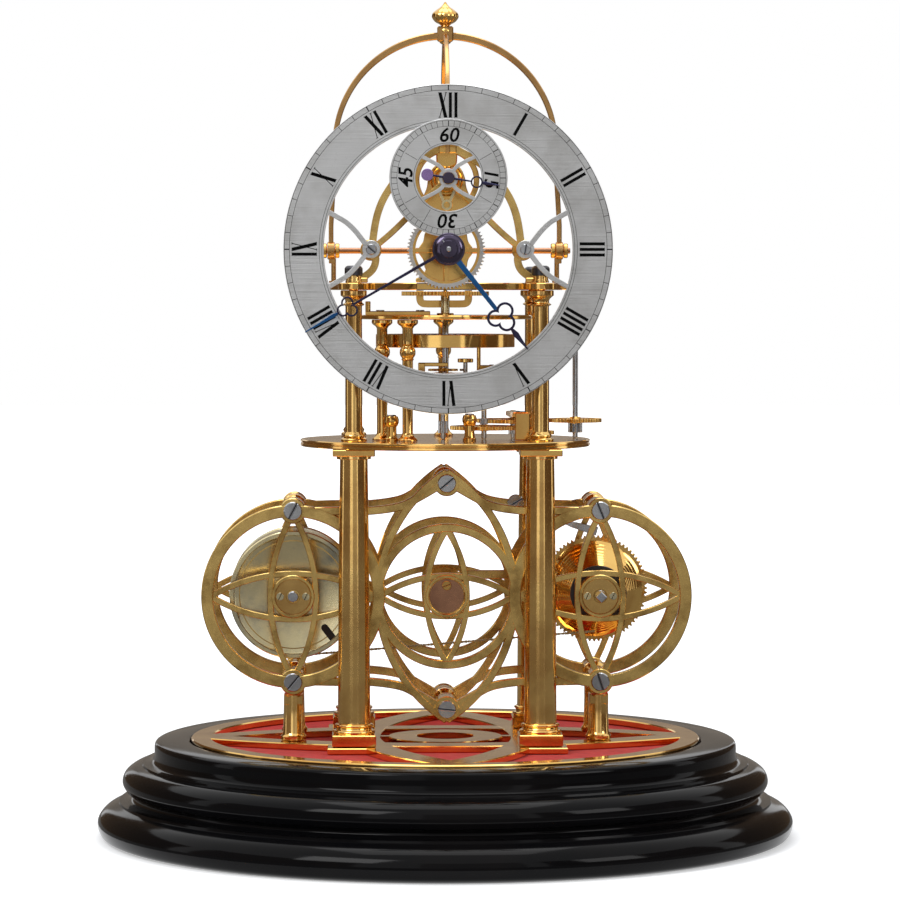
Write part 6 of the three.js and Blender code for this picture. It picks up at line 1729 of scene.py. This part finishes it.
@dataclass
class Dial:
    """The hour ring, the seconds ring and the gothic frame that holds them."""

    ring: Point = (63.7, 48.1)
    track: Point = (63.4, 61.4)
    track_line: float = 0.16
    numeral_low: float = 50.9
    numeral_high: float = 60.4
    inner_lines: Point = (49.9, 48.9)
    print_rise: float = 0.05
    ink_step: float = 0.004
    arm: Line = (
        (49.3, 15.4), (46.2, 14.3), (42.7, 12.4), (39.4, 10.4), (36.2, 7.4), (33.7, 4.3), (31.8, 1.8),
    )
    washer_x: float = 29.8
    seconds_thick: float = 1.6
    seconds_ring: Point = (22.8, 12.8)
    seconds_track: Point = (22.1, 19.9)
    seconds_line: float = 0.12
    seconds_arm: Line = ((1.7, 2.6), (3.4, 4.5), (6.0, 6.1), (10.9, 8.5))
    digit_size: float = 7.7
    post: Point = (17.4, 3.0)
    frame_back: float = -24.0
    foot: Line = ((-36.0, 1.2), (-32.3, 2.5), (-29.0, 5.4), (-27.9, 9.5))
    outer: Line = ((-29.3, 0.4), (-27.3, 13.8), (-22.6, 23.9), (-14.2, 33.2), (0.0, 41.5))
    inner: Line = ((-29.8, 0.0), (-22.0, 6.5), (-14.5, 13.8), (-7.5, 21.0), (0.0, 27.5))
    ring_post: Line = (
        (0.0, 0.0), (1.65, 0.0), (1.65, 22.6), (2.1, 23.0), (2.2, 23.8), (2.2, 24.2), (1.1, 24.25),
        (1.1, 26.2), (0.0, 26.2),
    )
    fork_rise: float = 17.7
    bell: Line = ((12.2, -13.6), (10.2, -8.6), (7.9, -3.2), (7.2, 1.0), (5.2, 5.0), (1.2, 7.1))
    head: Line = ((4.1, 12.0), (4.1, 8.2), (3.6, 6.0), (1.0, 4.8))
    turned: Line = (
        (2.0, 0.0), (6.4, 0.0), (6.4, 2.6), (6.0, 3.0), (5.6, 2.6), (5.2, 2.6), (5.0, 3.6), (4.6, 4.0),
        (4.2, 3.5), (3.8, 3.5), (3.6, 4.3), (2.0, 4.5),
    )

    def build(self) -> None:
        """Makes the dials and their frame."""
        self.hour_ring()
        self.seconds_dial()
        self.dial_frame()

    @property
    def axis(self) -> float:
        """The height of the hands' axis."""
        return Span.of("motion_wheel").z

    def hour_ring(self) -> None:
        """Makes the silvered ring with its printed minutes and hours."""
        piece = Piece("hour_dial", SILVERED, "chapter_ring")
        back, thick = piece.box.y1, piece.box.deep
        layers = Layers(piece, ahead(0.0, back, self.axis), thick)
        layers.ring(*self.ring, 180, 0.12)
        layers.bars(four_ways(smooth_run(self.arm, 6)), 1.95, 0.12)
        for side in SIDES:
            washer = ring_bar(3.5, 1.3, thick - 0.3, 48, 0.2)
            piece.add(washer, ahead(side * self.washer_x, back - 0.15, self.axis))
        face = ahead(0.0, piece.box.y0 + 0.02, self.axis)
        self.track_print(piece, face, self.track, self.track_line)
        for radius in self.inner_lines:
            self.ring_print(piece, face, radius, 0.14)
        for hour, numeral in enumerate(NUMERALS):
            self.numeral(piece, face @ at(turn=-30.0 * hour), numeral)
        piece.place()

    def ring_print(self, piece: Piece, face: Matrix, radius: float, width: float) -> None:
        """Prints a ring on a dial's face."""
        ink = ring_bar(radius + width / 2, radius - width / 2, self.print_rise, 180, 0.0)
        piece.add(ink, face, BLACK_PRINT)

    def bar_print(self, piece: Piece, face: Matrix, spot: Point, size: Point, rise: float = 0.0) -> None:
        """Prints a bar on a dial's face.

        Args:
            piece: The dial that it is printed on.
            face: The dial's face, turned as the bar is.
            spot: The bar's middle.
            size: Its width and height.
            rise: How much higher than other print it stands.
        """
        piece.add(block(*size, self.print_rise + rise, 0.0), face @ at(*spot), BLACK_PRINT)

    def track_print(self, piece: Piece, face: Matrix, track: Point, width: float) -> None:
        """Prints a minute track: two rings and a mark each minute.

        Args:
            piece: The dial that it is printed on.
            face: The dial's face.
            track: The outer and inner radius.
            width: The width of the lines.
        """
        outer, inner = track
        for radius in track:
            self.ring_print(piece, face, radius, width)
        for minute in range(60):
            size = (outer - inner, width * (1.3 if minute % 5 else 2.6))
            self.bar_print(piece, face @ at(turn=6.0 * minute), ((outer + inner) / 2, 0.0), size)

    def numeral(self, piece: Piece, place: Matrix, letters: str) -> None:
        """Prints one hour, its top towards the rim.

        Args:
            piece: The dial that it is printed on.
            place: The dial's face, turned to the hour.
            letters: The numeral.
        """
        forms = [Letter[letter].value for letter in letters]
        x = -sum(form.width for form in forms) / 2
        low, high = self.numeral_low, self.numeral_high
        for form in forms:
            for rank, (foot, head, weight) in enumerate(form.strokes):
                line = [(x + foot, low), (x + head, high)]
                ink = bar(line, weight, self.print_rise + self.ink_step * rank, 0.0)
                piece.add(ink, place, BLACK_PRINT)
                for spot in line:
                    self.bar_print(piece, place, spot, (weight * 0.5 + 0.75, 0.22), 3 * self.ink_step)
            x += form.width

    def seconds_dial(self) -> None:
        """Makes the small ring with its spider, numbers and posts."""
        piece = Piece("seconds_dial", SILVERED, "seconds_ring")
        z, thick = self.axis + SECONDS_RISE, self.seconds_thick
        back = piece.box.y0 + thick
        layers = Layers(piece, ahead(0.0, back, z), thick)
        layers.ring(*self.seconds_ring, 128, 0.12)
        layers.bars(four_ways(smooth_run(self.seconds_arm, 6)), 1.45, 0.12)
        piece.add(ring_bar(3.7, 2.45, thick - 0.3, 48, 0.15), ahead(0.0, back - 0.15, z))
        x, rise = self.post
        for side in SIDES:
            post = rod(0.97, piece.box.deep - thick + 0.4, 20, 0.1)
            piece.add(post, ahead(side * x, piece.box.y1, z + rise), POLISHED_BRASS)
        face = ahead(0.0, piece.box.y0 + 0.02, z)
        self.track_print(piece, face, self.seconds_track, self.seconds_line)
        piece.add(ring_bar(13.55, 13.4, self.print_rise, 128, 0.0), face, BLACK_PRINT)
        for hour in range(12):
            if hour % 3:
                self.bar_print(piece, face @ at(turn=30.0 * hour), (16.6, 0.0), (5.2, 0.16))
        for quarter, digits in enumerate(SECONDS):
            piece.add(self.number(digits), face @ at(turn=90.0 * quarter) @ at(0.0, 13.95), BLACK_PRINT)
        piece.place()

    def number(self, digits: str) -> Shell:
        """Cuts a number from the built-in lettering, standing on 0.

        Args:
            digits: The number.

        Returns:
            The shell.
        """
        curve = bpy.data.curves.new("digits", "FONT")
        curve.body = digits
        curve.size = self.digit_size
        curve.shear = 0.18
        curve.offset = 0.016 * self.digit_size
        curve.align_x = "CENTER"
        curve.extrude = self.print_rise / 2
        curve.resolution_u = 3
        holder = bpy.data.objects.new("digits", curve)
        bpy.context.scene.collection.objects.link(holder)
        bpy.context.view_layer.update()
        data = bpy.data.meshes.new_from_object(holder.evaluated_get(bpy.context.evaluated_depsgraph_get()))
        shell = bmesh.new()
        shell.from_mesh(data)
        bmesh.ops.remove_doubles(shell, verts=shell.verts, dist=WELD)
        bpy.data.objects.remove(holder)
        bpy.data.curves.remove(curve)
        bpy.data.meshes.remove(data)
        return shell

    def dial_frame(self) -> None:
        """Makes the gothic frame with its feet, posts, screws and beam."""
        piece = Piece("dial_frame_piece", POLISHED_BRASS, "dial_frame")
        box, z, back, washer = piece.box, self.axis, self.frame_back, self.washer_x
        layers = Layers(piece, ahead(0.0, back, z), 3.0, lift=0.03, finish=SATIN_BRASS)
        outer = [(x, box.z0 - z + rise) for x, rise in self.foot] + [*self.outer]
        for points, width in ((outer, 2.9), (self.inner, 2.4)):
            run = smooth_run(points, 6)
            layers.bars((run, mirrored(run)), width, 0.3)
        self.seconds_bell(piece, ahead(0.0, back + 1.8, z + SECONDS_RISE))
        for side in SIDES:
            piece.add(rod(4.2, 2.7, 40, 0.3), ahead(side * washer, back - 0.15, z))
            piece.add(block(7.9, 4.9, 1.9, 0.3), at(side * 35.0, -25.5, box.z0))
            piece.screw(at(side * 37.2, -25.5, box.z0 + 1.75), 1.4, 0.6, 40.0, BLUED_STEEL)
            piece.add(lathe(self.ring_post, 28), ahead(side * washer, back - 3.0, z))
            head = ahead(side * washer, box.y0 + 1.2, z)
            piece.screw(head, 2.1, 1.2, 20.0 + 60.0 * side, POLISHED_STEEL)
        fork = ahead(0.0, back - 0.5, z + self.fork_rise)
        piece.add(ring_bar(2.3, 1.1, 1.9, 36, 0.2), fork, PALE_BRASS)
        for side in SIDES:
            prong = bar([(side * 1.3, 1.4), (side * 3.3, 6.0)], 1.4, 1.7, 0.15)
            piece.add(prong, fork @ at(z=0.1), PALE_BRASS)
        beam = block(6.9, 18.2, 5.9, 0.35)
        piece.add(beam, at(0.0, box.y0 / 2 - 5.9, z + SECONDS_RISE + 10.05))
        piece.place()

    def seconds_bell(self, piece: Piece, place: Matrix) -> None:
        """Adds the bell, the rim and the turned boss behind the seconds ring.

        Args:
            piece: The frame's piece.
            place: The place of their backs, on the seconds axis.
        """
        piece.add(plate(closed_over(smooth_run(self.bell, 5)), 1.9, 0.3), place)
        front = plate(closed_over(smooth_run(self.head, 4)[::-1]), 4.4, 0.5)
        parts = (ring_bar(12.9, 10.7, 1.5, 96), front, lathe(self.turned, 64, closed=True))
        for number, shell in enumerate(parts, 1):
            piece.add(shell, place @ at(z=0.06 * number))


@dataclass
class Hands:
    """The blued hands; their angles are clockwise from twelve."""

    minute_angle: float = 240.0
    minute_back: float = -58.8
    hour_angle: float = 141.6
    hour_back: float = -57.2
    seconds_angle: float = 98.5
    seconds_thick: float = 0.66
    thick: float = 0.86
    blade_thick: float = 0.8
    lobe_spread: float = 2.66
    lobe_radius: float = 3.35
    lobe_line: float = 0.95
    hour_pipe: Line = ((1.4, 0.0), (5.15, 0.0), (5.15, 1.3), (2.4, 1.4), (2.35, 11.6), (1.4, 11.6))
    dome: Line = (
        (1.15, 0.0), (5.6, 0.0), (5.6, 0.5), (5.2, 0.9), (4.2, 1.2), (3.5, 1.3), (3.2, 1.75), (1.15, 1.88),
    )
    pin: Line = ((0.0, 0.0), (0.62, 0.1), (0.5, 1.6), (0.16, 5.4), (0.0, 5.45))
    pin_angle: float = 124.0

    def build(self) -> None:
        """Makes the three hands."""
        axis = Span.of("motion_wheel").z
        self.hour(axis)
        self.minute(axis)
        self.seconds(axis + SECONDS_RISE)

    @staticmethod
    def three_lobes(centre: float, spread: float, radius: float) -> list[Point]:
        """The outline round three overlapping circles.

        Args:
            centre: The height of their middle over the axis.
            spread: How far each circle lies from the middle.
            radius: Their radius, larger than the spread.

        Returns:
            The outline.
        """
        turns = (0.0, FULL_TURN / 3, -FULL_TURN / 3)
        lobes = [Vector((math.sin(turn), math.cos(turn))) * spread for turn in turns]
        outline = []
        for way in (Vector(spot) for spot in circle(1.0, 96)):
            chords = ((lobe.dot(way), radius**2 - lobe.cross(way) ** 2) for lobe in lobes)
            reach = max(along + math.sqrt(max(0.0, rest)) for along, rest in chords)
            outline.append((way.x * reach, centre + way.y * reach))
        return outline

    def trefoil(self, piece: Piece, place: Matrix, low: float, size: float) -> None:
        """Adds the open trefoil.

        Args:
            piece: The hand.
            place: The hand's own place, turned to its angle.
            low: The height of its middle over the axis.
            size: Its size against the hour hand's.
        """
        spread = self.lobe_spread * size
        outer = self.three_lobes(low, spread, self.lobe_radius * size)
        inner = self.three_lobes(low, spread, (self.lobe_radius - self.lobe_line) * size)
        piece.add(open_plate(outer, inner, self.thick, 0.08), place)

    @staticmethod
    def blade(piece: Piece, place: Matrix, points: Line, thick: float, finish: Finish | None = None) -> None:
        """Adds a blade from pairs of half width and height over the axis."""
        piece.add(plate(closed_over(points), thick, 0.12), place, finish)

    def hour(self, z: float) -> None:
        """Makes the hour hand with its pipe and dark dome.

        Args:
            z: The height of its axis.
        """
        piece = Piece("hour_hand_piece", BLUED_STEEL, "hour_hand", "hour")
        place = ahead(0.0, self.hour_back, z, -self.hour_angle)
        self.trefoil(piece, place, 33.4, 1.0)
        # This part of the blade is painted with a highlight: a brighter blue stands in for light caught on the
        # blued steel.
        self.blade(piece, place, ((1.15, 0.0), (0.95, 15.0), (0.8, 30.0)), self.blade_thick, PAINTED_HIGHLIGHT_BLUE)
        self.blade(piece, place, ((0.45, 38.9), (1.15, 42.0), (0.85, 43.8), (0.2, 49.3)), self.blade_thick)
        piece.add(rod(6.3, 0.88, 56, 0.25), place, COLLET_STEEL)
        piece.add(lathe(self.hour_pipe, 40, closed=True), ahead(0.0, piece.box.y1, z), POLISHED_BRASS)
        piece.place()

    def minute(self, z: float) -> None:
        """Makes the minute hand with its domed collet and bright pin.

        Args:
            z: The height of its axis.
        """
        piece = Piece("minute_hand_piece", BLUED_STEEL, "minute_hand", "minute")
        place = ahead(0.0, self.minute_back, z, -self.minute_angle)
        self.trefoil(piece, place, 45.1, 0.72)
        self.blade(piece, place, ((0.65, 0.0), (0.55, 20.0), (0.42, 42.5)), self.blade_thick)
        # The tip is painted with a highlight: a brighter blue stands in for light caught on the blued steel.
        tip = ((0.35, 49.0), (0.8, 51.5), (0.6, 54.0), (0.2, 63.9))
        self.blade(piece, place, tip, self.blade_thick, PAINTED_HIGHLIGHT_BLUE)
        piece.add(lathe(self.dome, 56, closed=True), ahead(0.0, self.minute_back, z), COLLET_STEEL)
        across = Matrix.Rotation(math.pi / 2, 4, "Y") @ at(z=-1.0)
        place = ahead(0.0, piece.box.y0 + 0.5, z, self.pin_angle) @ across
        piece.add(lathe(self.pin, 16), place, POLISHED_STEEL)
        piece.place()

    def seconds(self, z: float) -> None:
        """Makes the seconds hand with its ring, counterweight and arbor.

        Args:
            z: The height of its axis.
        """
        piece = Piece("seconds_hand_piece", BLUED_STEEL, "seconds_hand", "seconds")
        box, thick = piece.box, self.seconds_thick
        place = ahead(0.0, box.y0 + 0.7, z, -self.seconds_angle)
        piece.add(ring_bar(2.35, 1.75, thick, 36, 0.08), place @ at(0.0, 11.0))
        piece.add(rod(2.35, thick, 36, 0.12), place @ at(0.0, -8.3), VIOLET_STEEL)
        self.blade(piece, place, ((0.4, -7.0), (0.45, 0.0), (0.3, 9.0)), thick - 0.04)
        self.blade(piece, place, ((0.25, 13.0), (0.7, 14.2), (0.14, 19.9)), thick - 0.04)
        piece.add(rod(2.3, 0.68, 40, 0.2), place, COLLET_STEEL)
        piece.add(rod(0.78, box.deep - 0.8, 20, 0.1), ahead(0.0, box.y1, z), POLISHED_STEEL)
        piece.add(pinion(1.9, 8, 2.9), ahead(0.0, -30.05, z), POLISHED_STEEL)
        piece.place()


@dataclass
class Canopy:
    """Two hoops that cross under the finial, and the rod between their feet."""

    radius: float = 44.0
    thick: float = 3.0
    foot_width: float = 1.9
    slim: float = 1.2
    eye: float = 3.6
    eye_x: float = 45.6
    post_x: float = 44.6
    foot: Line = ((-45.6, 3.0), (-45.6, 10.0), (-44.8, 24.0), (-44.05, 34.0))
    front_foot: float = 37.5
    nut: Line = ((1.1, 0.0), (2.6, 0.0), (2.95, 0.3), (2.95, 1.4), (2.6, 1.75), (1.1, 1.75))
    nut_x: Point = (42.25, 47.25)
    neck: Line = (
        (0.0, 0.0), (2.7, 0.0), (2.75, 0.5), (2.5, 1.2), (1.8, 1.7), (1.65, 2.4), (2.3, 3.0), (2.5, 3.3),
        (0.0, 3.6),
    )
    onion: Line = (
        (1.9, 2.9), (3.9, 3.9), (5.1, 5.3), (5.35, 6.4), (4.9, 7.6), (3.4, 8.9), (1.9, 9.9), (0.9, 10.9),
        (0.3, 11.9),
    )
    flutes: int = 8
    flute_deep: float = 0.06
    button: Line = ((0.0, 0.0), (1.5, 0.0), (2.2, 0.5), (2.5, 1.3), (0.0, 1.35))

    def build(self) -> None:
        """Makes the hoops, the rod and the finial."""
        self.side_hoop()
        self.cross_hoop()
        self.cross_rod()
        self.finial()

    def arch(self, top: float, left: list[Point], right: list[Point], thick: float) -> Shell:
        """A half circle with feet, as an upright plate that narrows towards them.

        Args:
            top: The height of its top.
            left: Points of the left foot, in order.
            right: Points of the right foot, in order.
            thick: The plate's thickness.

        Returns:
            The shell.
        """
        steps = 48
        centre, wide = top - self.radius - self.thick / 2, self.thick - 0.06
        bow = [(x, centre + y) for x, y in arc(self.radius, math.pi, 0.0, 2 * steps)]
        rise = strip(left + bow[: steps + 1], self.foot_width, wide)
        fall = strip(bow[steps:] + right, wide, self.foot_width)
        inner = len(left) + steps + 1
        return plate(rise[:inner] + fall[1:-1] + rise[inner:], thick, 0.35)

    def side_hoop(self) -> None:
        """Makes the hoop from side to side with its eyes and posts."""
        piece = Piece("side_hoop_piece", AGED_BRASS, "side_hoop")
        low, eye_z, half = piece.box.z0, Span.of("cross_rod").z, self.thick / 2
        left = [(x, eye_z + rise) for x, rise in self.foot]
        shell = self.arch(piece.box.z1, left, mirrored(left)[::-1], self.thick - 0.12)
        piece.add(shell, ahead(0.0, half - 0.06, 0.0))
        under = eye_z - self.eye
        for side in SIDES:
            ring = ring_bar(self.eye - 0.05, 1.4, self.thick - 0.06, 48, 0.3)
            piece.add(ring, at(side * self.eye_x - half + 0.03, 0.0, eye_z, Facing.RIGHT))
            piece.add(block(2.6, 2.0, 3.0, 0.2), at(side * (self.eye_x - 0.4), 0.0, under - 1.5))
            piece.add(rod(0.97, under - low + 0.6, 20, 0.1), at(side * self.post_x, 0.0, low))
            piece.add(rod(1.9, 0.8, 28, 0.2), at(side * self.post_x, 0.0, low))
        piece.place()

    def cross_hoop(self) -> None:
        """Makes the hoop from front to back."""
        piece = Piece("cross_hoop_piece", AGED_BRASS, "cross_hoop")
        low, thick = piece.box.z0, self.thick - self.slim
        left = [(-self.radius, Span.of("motion_wheel").z + self.front_foot)]
        shell = self.arch(piece.box.z1, left, [(self.radius, low + 0.05)], thick)
        piece.add(shell, at(-thick / 2, 0.0, 0.0, Facing.RIGHT))
        piece.add(rod(2.6, 1.2, 36, 0.3), at(0.0, 43.0, low))
        piece.place()

    def cross_rod(self) -> None:
        """Makes the copper rod with its four brass nuts."""
        piece = Piece("cross_rod_piece", COPPER, "cross_rod")
        box, wide = piece.box, self.nut[-1][1]
        piece.add(rod(1.18, box.x1 - box.x0, 28, 0.3), at(box.x0, 0.0, box.z, Facing.RIGHT))
        for x in self.nut_x:
            for start in (-x - wide, x):
                nut = lathe(self.nut, 36, closed=True)
                piece.add(nut, at(start, 0.0, box.z, Facing.RIGHT), POLISHED_BRASS)
        piece.place()

    def finial(self) -> None:
        """Turns the onion finial, flutes it and adds the button below."""
        piece = Piece("finial_piece", POLISHED_BRASS, "finial")
        base = piece.box.z1 - 12.0
        piece.add(lathe(self.neck, 40), at(z=base))
        piece.add(block(6.4, 4.8, 6.0, 0.5), at(z=base - 3.8), AGED_BRASS)
        onion = lathe([(0.0, 2.9), *smooth_run(self.onion, 4), (0.0, 11.95)], 64)
        for corner in onion.verts:
            ridge = abs(math.cos(self.flutes / 2 * math.atan2(corner.co.y, corner.co.x))) ** 0.6
            corner.co.xy *= 1 - self.flute_deep * (1 - ridge)
        piece.add(onion, at(z=base))
        piece.add(rod(0.88, 6.0, 20, 0.1), at(z=base - 5.0))
        piece.add(lathe(self.button, 36), at(z=piece.box.z0 + 0.02))
        piece.place()


@dataclass
class Studio:
    """The floor, the lamps, the cards and the camera; their sizes are metres."""

    camera_place: Place = (-0.0365, -1.6, 0.2186)
    camera_aim: Place = (0.0019, 0.0, 0.1546)
    lens: float = 160.0
    sensor: float = 36.0
    nearest: float = 0.05
    farthest: float = 30.0
    lamp_aim: Place = (0.0, 0.0, 0.16)
    lamps: tuple[tuple[str, Place, float, float], ...] = (
        ("key_light", (-0.9, -1.1, 1.25), 0.8, 13.0),
        ("fill_light", (1.25, -0.9, 0.7), 0.6, 5.0),
        ("top_light", (0.0, 0.15, 1.6), 1.0, 7.0),
    )
    room_light: Colour = (0.9, 0.94, 1.0)
    room_strength: float = 0.45
    white: Colour = (1.0, 1.0, 1.0)
    floor_radius: float = 6.0
    floor_shade: Colour = (0.86, 0.86, 0.86)
    card_reach: float = 2.2
    cards: tuple[tuple[float, float, float, Colour], ...] = (
        (-9.0, 24.0, 1.5, (0.44, 0.43, 0.42)),
        (31.0, 98.0, 1.5, (0.1, 0.07, 0.05)),
        (110.0, 162.0, 1.3, (0.12, 0.08, 0.05)),
        (-162.0, -100.0, 1.3, (0.12, 0.08, 0.05)),
        (-90.0, -30.0, 1.5, (0.2, 0.16, 0.13)),
        (165.0, 195.0, 0.5, (0.3, 0.26, 0.22)),
    )
    mat_outer: float = 2.15
    mat_inner: float = 0.15
    mat_rise: float = 0.002
    mat_shade: Colour = (0.22, 0.21, 0.2)

    def build(self) -> None:
        """Sets the whole studio."""
        self.world()
        self.floor()
        self.camera()
        for lamp in self.lamps:
            self.softbox(*lamp)
        for number, card in enumerate(self.cards):
            self.card(f"card_{number}", *card)
        self.mat()

    def world(self) -> None:
        """Lights the room softly and shows white behind the object."""
        world = bpy.data.worlds.new("studio_world")
        world.use_nodes = True
        bpy.context.scene.world = world
        graph = Graph(world.node_tree)
        seen = graph.seen_by("Is Camera Ray", "Is Glossy Ray", "Is Transmission Ray")
        soft = {"Color": with_alpha(self.room_light), "Strength": self.room_strength}
        room = graph.node("ShaderNodeBackground", soft).outputs[0]
        bright = {"Color": with_alpha(self.white), "Strength": 1.0}
        white = graph.node("ShaderNodeBackground", bright).outputs[0]
        both = graph.node("ShaderNodeMixShader", {0: seen, 1: room, 2: white})
        graph.node("ShaderNodeOutputWorld", {"Surface": both.outputs[0]})

    @staticmethod
    def stand(name: str, shell: Shell, surface: str) -> tuple[bpy.types.Object, Graph]:
        """Makes a part of the studio from a shell, with an empty material.

        Args:
            name: The part's name.
            shell: Its form, which is used up.
            surface: The name of its material.

        Returns:
            The object and the graph of its material.
        """
        data = bpy.data.meshes.new(name)
        shell.to_mesh(data)
        shell.free()
        material = bpy.data.materials.new(surface)
        material.use_nodes = True
        data.materials.append(material)
        made = bpy.data.objects.new(name, data)
        bpy.context.scene.collection.objects.link(made)
        return made, Graph(material.node_tree)

    def floor(self) -> None:
        """Lays the pale floor, white where it is seen directly and away from the object."""
        shell = bmesh.new()
        bmesh.ops.create_circle(shell, cap_ends=True, segments=96, radius=self.floor_radius)
        _, graph = self.stand("studio_floor", shell, "pale_floor")
        near, far, glow_near, glow_more = 0.2, 1.3, 0.45, 0.6
        seen = graph.seen_by("Is Camera Ray", "Is Glossy Ray")
        paper = graph.node("ShaderNodeBsdfDiffuse", {"Color": with_alpha(self.floor_shade)}).outputs[0]
        place = graph.node("ShaderNodeTexCoord").outputs["Object"]
        reach = graph.node("ShaderNodeVectorMath", {0: place}, operation="LENGTH").outputs["Value"]
        strength = graph.math("MULTIPLY", graph.ramp(reach, near, far), glow_more)
        light = {"Color": with_alpha(self.white), "Strength": graph.math("ADD", strength, glow_near)}
        glow = graph.node("ShaderNodeEmission", light).outputs[0]
        lit = graph.node("ShaderNodeAddShader", {0: paper, 1: glow}).outputs[0]
        both = graph.node("ShaderNodeMixShader", {0: seen, 1: paper, 2: lit})
        graph.node("ShaderNodeOutputMaterial", {"Surface": both.outputs[0]})

    @staticmethod
    def aimed(name: str, data: bpy.types.ID, place: Place, aim: Place) -> bpy.types.Object:
        """Puts up a camera or lamp that looks at a point.

        Args:
            name: Its name.
            data: The camera or lamp.
            place: Where it stands.
            aim: The point that it looks at.

        Returns:
            The object.
        """
        made = bpy.data.objects.new(name, data)
        made.location = place
        made.rotation_euler = (Vector(aim) - Vector(place)).to_track_quat("-Z", "Y").to_euler()
        bpy.context.scene.collection.objects.link(made)
        return made

    def camera(self) -> None:
        """Stands the camera where the photograph was taken from."""
        data = bpy.data.cameras.new("studio_camera")
        data.lens = self.lens
        data.sensor_width = self.sensor
        data.clip_start = self.nearest
        data.clip_end = self.farthest
        made = self.aimed("studio_camera", data, self.camera_place, self.camera_aim)
        bpy.context.scene.camera = made

    def softbox(self, name: str, place: Place, size: float, power: float) -> None:
        """Hangs a square soft lamp that looks at the clock.

        Args:
            name: Its name.
            place: Where it hangs.
            size: Its side.
            power: Its power, in watts.
        """
        data = bpy.data.lights.new(name, "AREA")
        data.size = size
        data.energy = power
        self.aimed(name, data, place, self.lamp_aim)

    def card(self, name: str, start: float, end: float, height: float, shade: Colour) -> None:
        """Stands a curved dark card round the table.

        Args:
            name: Its name.
            start: Where it starts, in degrees from the front towards the right.
            end: Where it ends, in degrees.
            height: Its height.
            shade: Its colour.
        """
        shell = bmesh.new()
        x, y = polar(self.card_reach, math.radians(start - 90.0))
        corners = [shell.verts.new((x, y, z)) for z in (0.0, height)]
        bmesh.ops.spin(
            shell, geom=[*corners, shell.edges.new(corners)], cent=(0.0, 0.0, 0.0), axis=(0.0, 0.0, 1.0),
            dvec=(0.0, 0.0, 0.0), angle=math.radians(end - start), steps=16, use_merge=False,
        )
        self.only_in_gloss(name, shell, shade)

    def mat(self) -> None:
        """Lays a dark mat round the base, so that the gloss has a ground."""
        shell = bmesh.new()
        edges = [edge for r in (self.mat_outer, self.mat_inner) for edge in closed_line(shell, circle(r, 64))]
        bmesh.ops.bridge_loops(shell, edges=edges)
        bmesh.ops.translate(shell, verts=shell.verts, vec=(0.0, 0.0, self.mat_rise))
        self.only_in_gloss("mat", shell, self.mat_shade)

    def only_in_gloss(self, name: str, shell: Shell, shade: Colour) -> None:
        """Sets up a card that glows with its own shade, unlit, and that only polished surfaces see, so it shows
        only as a reflection.

        Args:
            name: Its name.
            shell: Its form, which is used up.
            shade: Its colour.
        """
        made, graph = self.stand(name, shell, name)
        # The card glows at its own shade rather than being lit; only reflections show it.
        card_glow = graph.node("ShaderNodeEmission", {"Color": with_alpha(shade), "Strength": 1.0})
        graph.node("ShaderNodeOutputMaterial", {"Surface": card_glow.outputs[0]})
        made.visible_camera = False
        made.visible_diffuse = False
        made.visible_shadow = False


def main() -> None:
    """Builds the clock and its studio, one sub-assembly after another."""
    logging.basicConfig(level=logging.INFO, format="%(message)s")
    bpy.context.scene.view_settings.view_transform = "Standard"
    for assembly in (
        BaseStand(), LowerPillars(), MovementFrames(), PowerTrain(), UpperPlates(), GoingTrain(),
        Escapement(), MotionWork(), Dial(), Hands(), Canopy(), Studio(),
    ):
        LOG.info("%s", type(assembly).__name__)
        assembly.build()


if __name__ == "__main__":
    main()
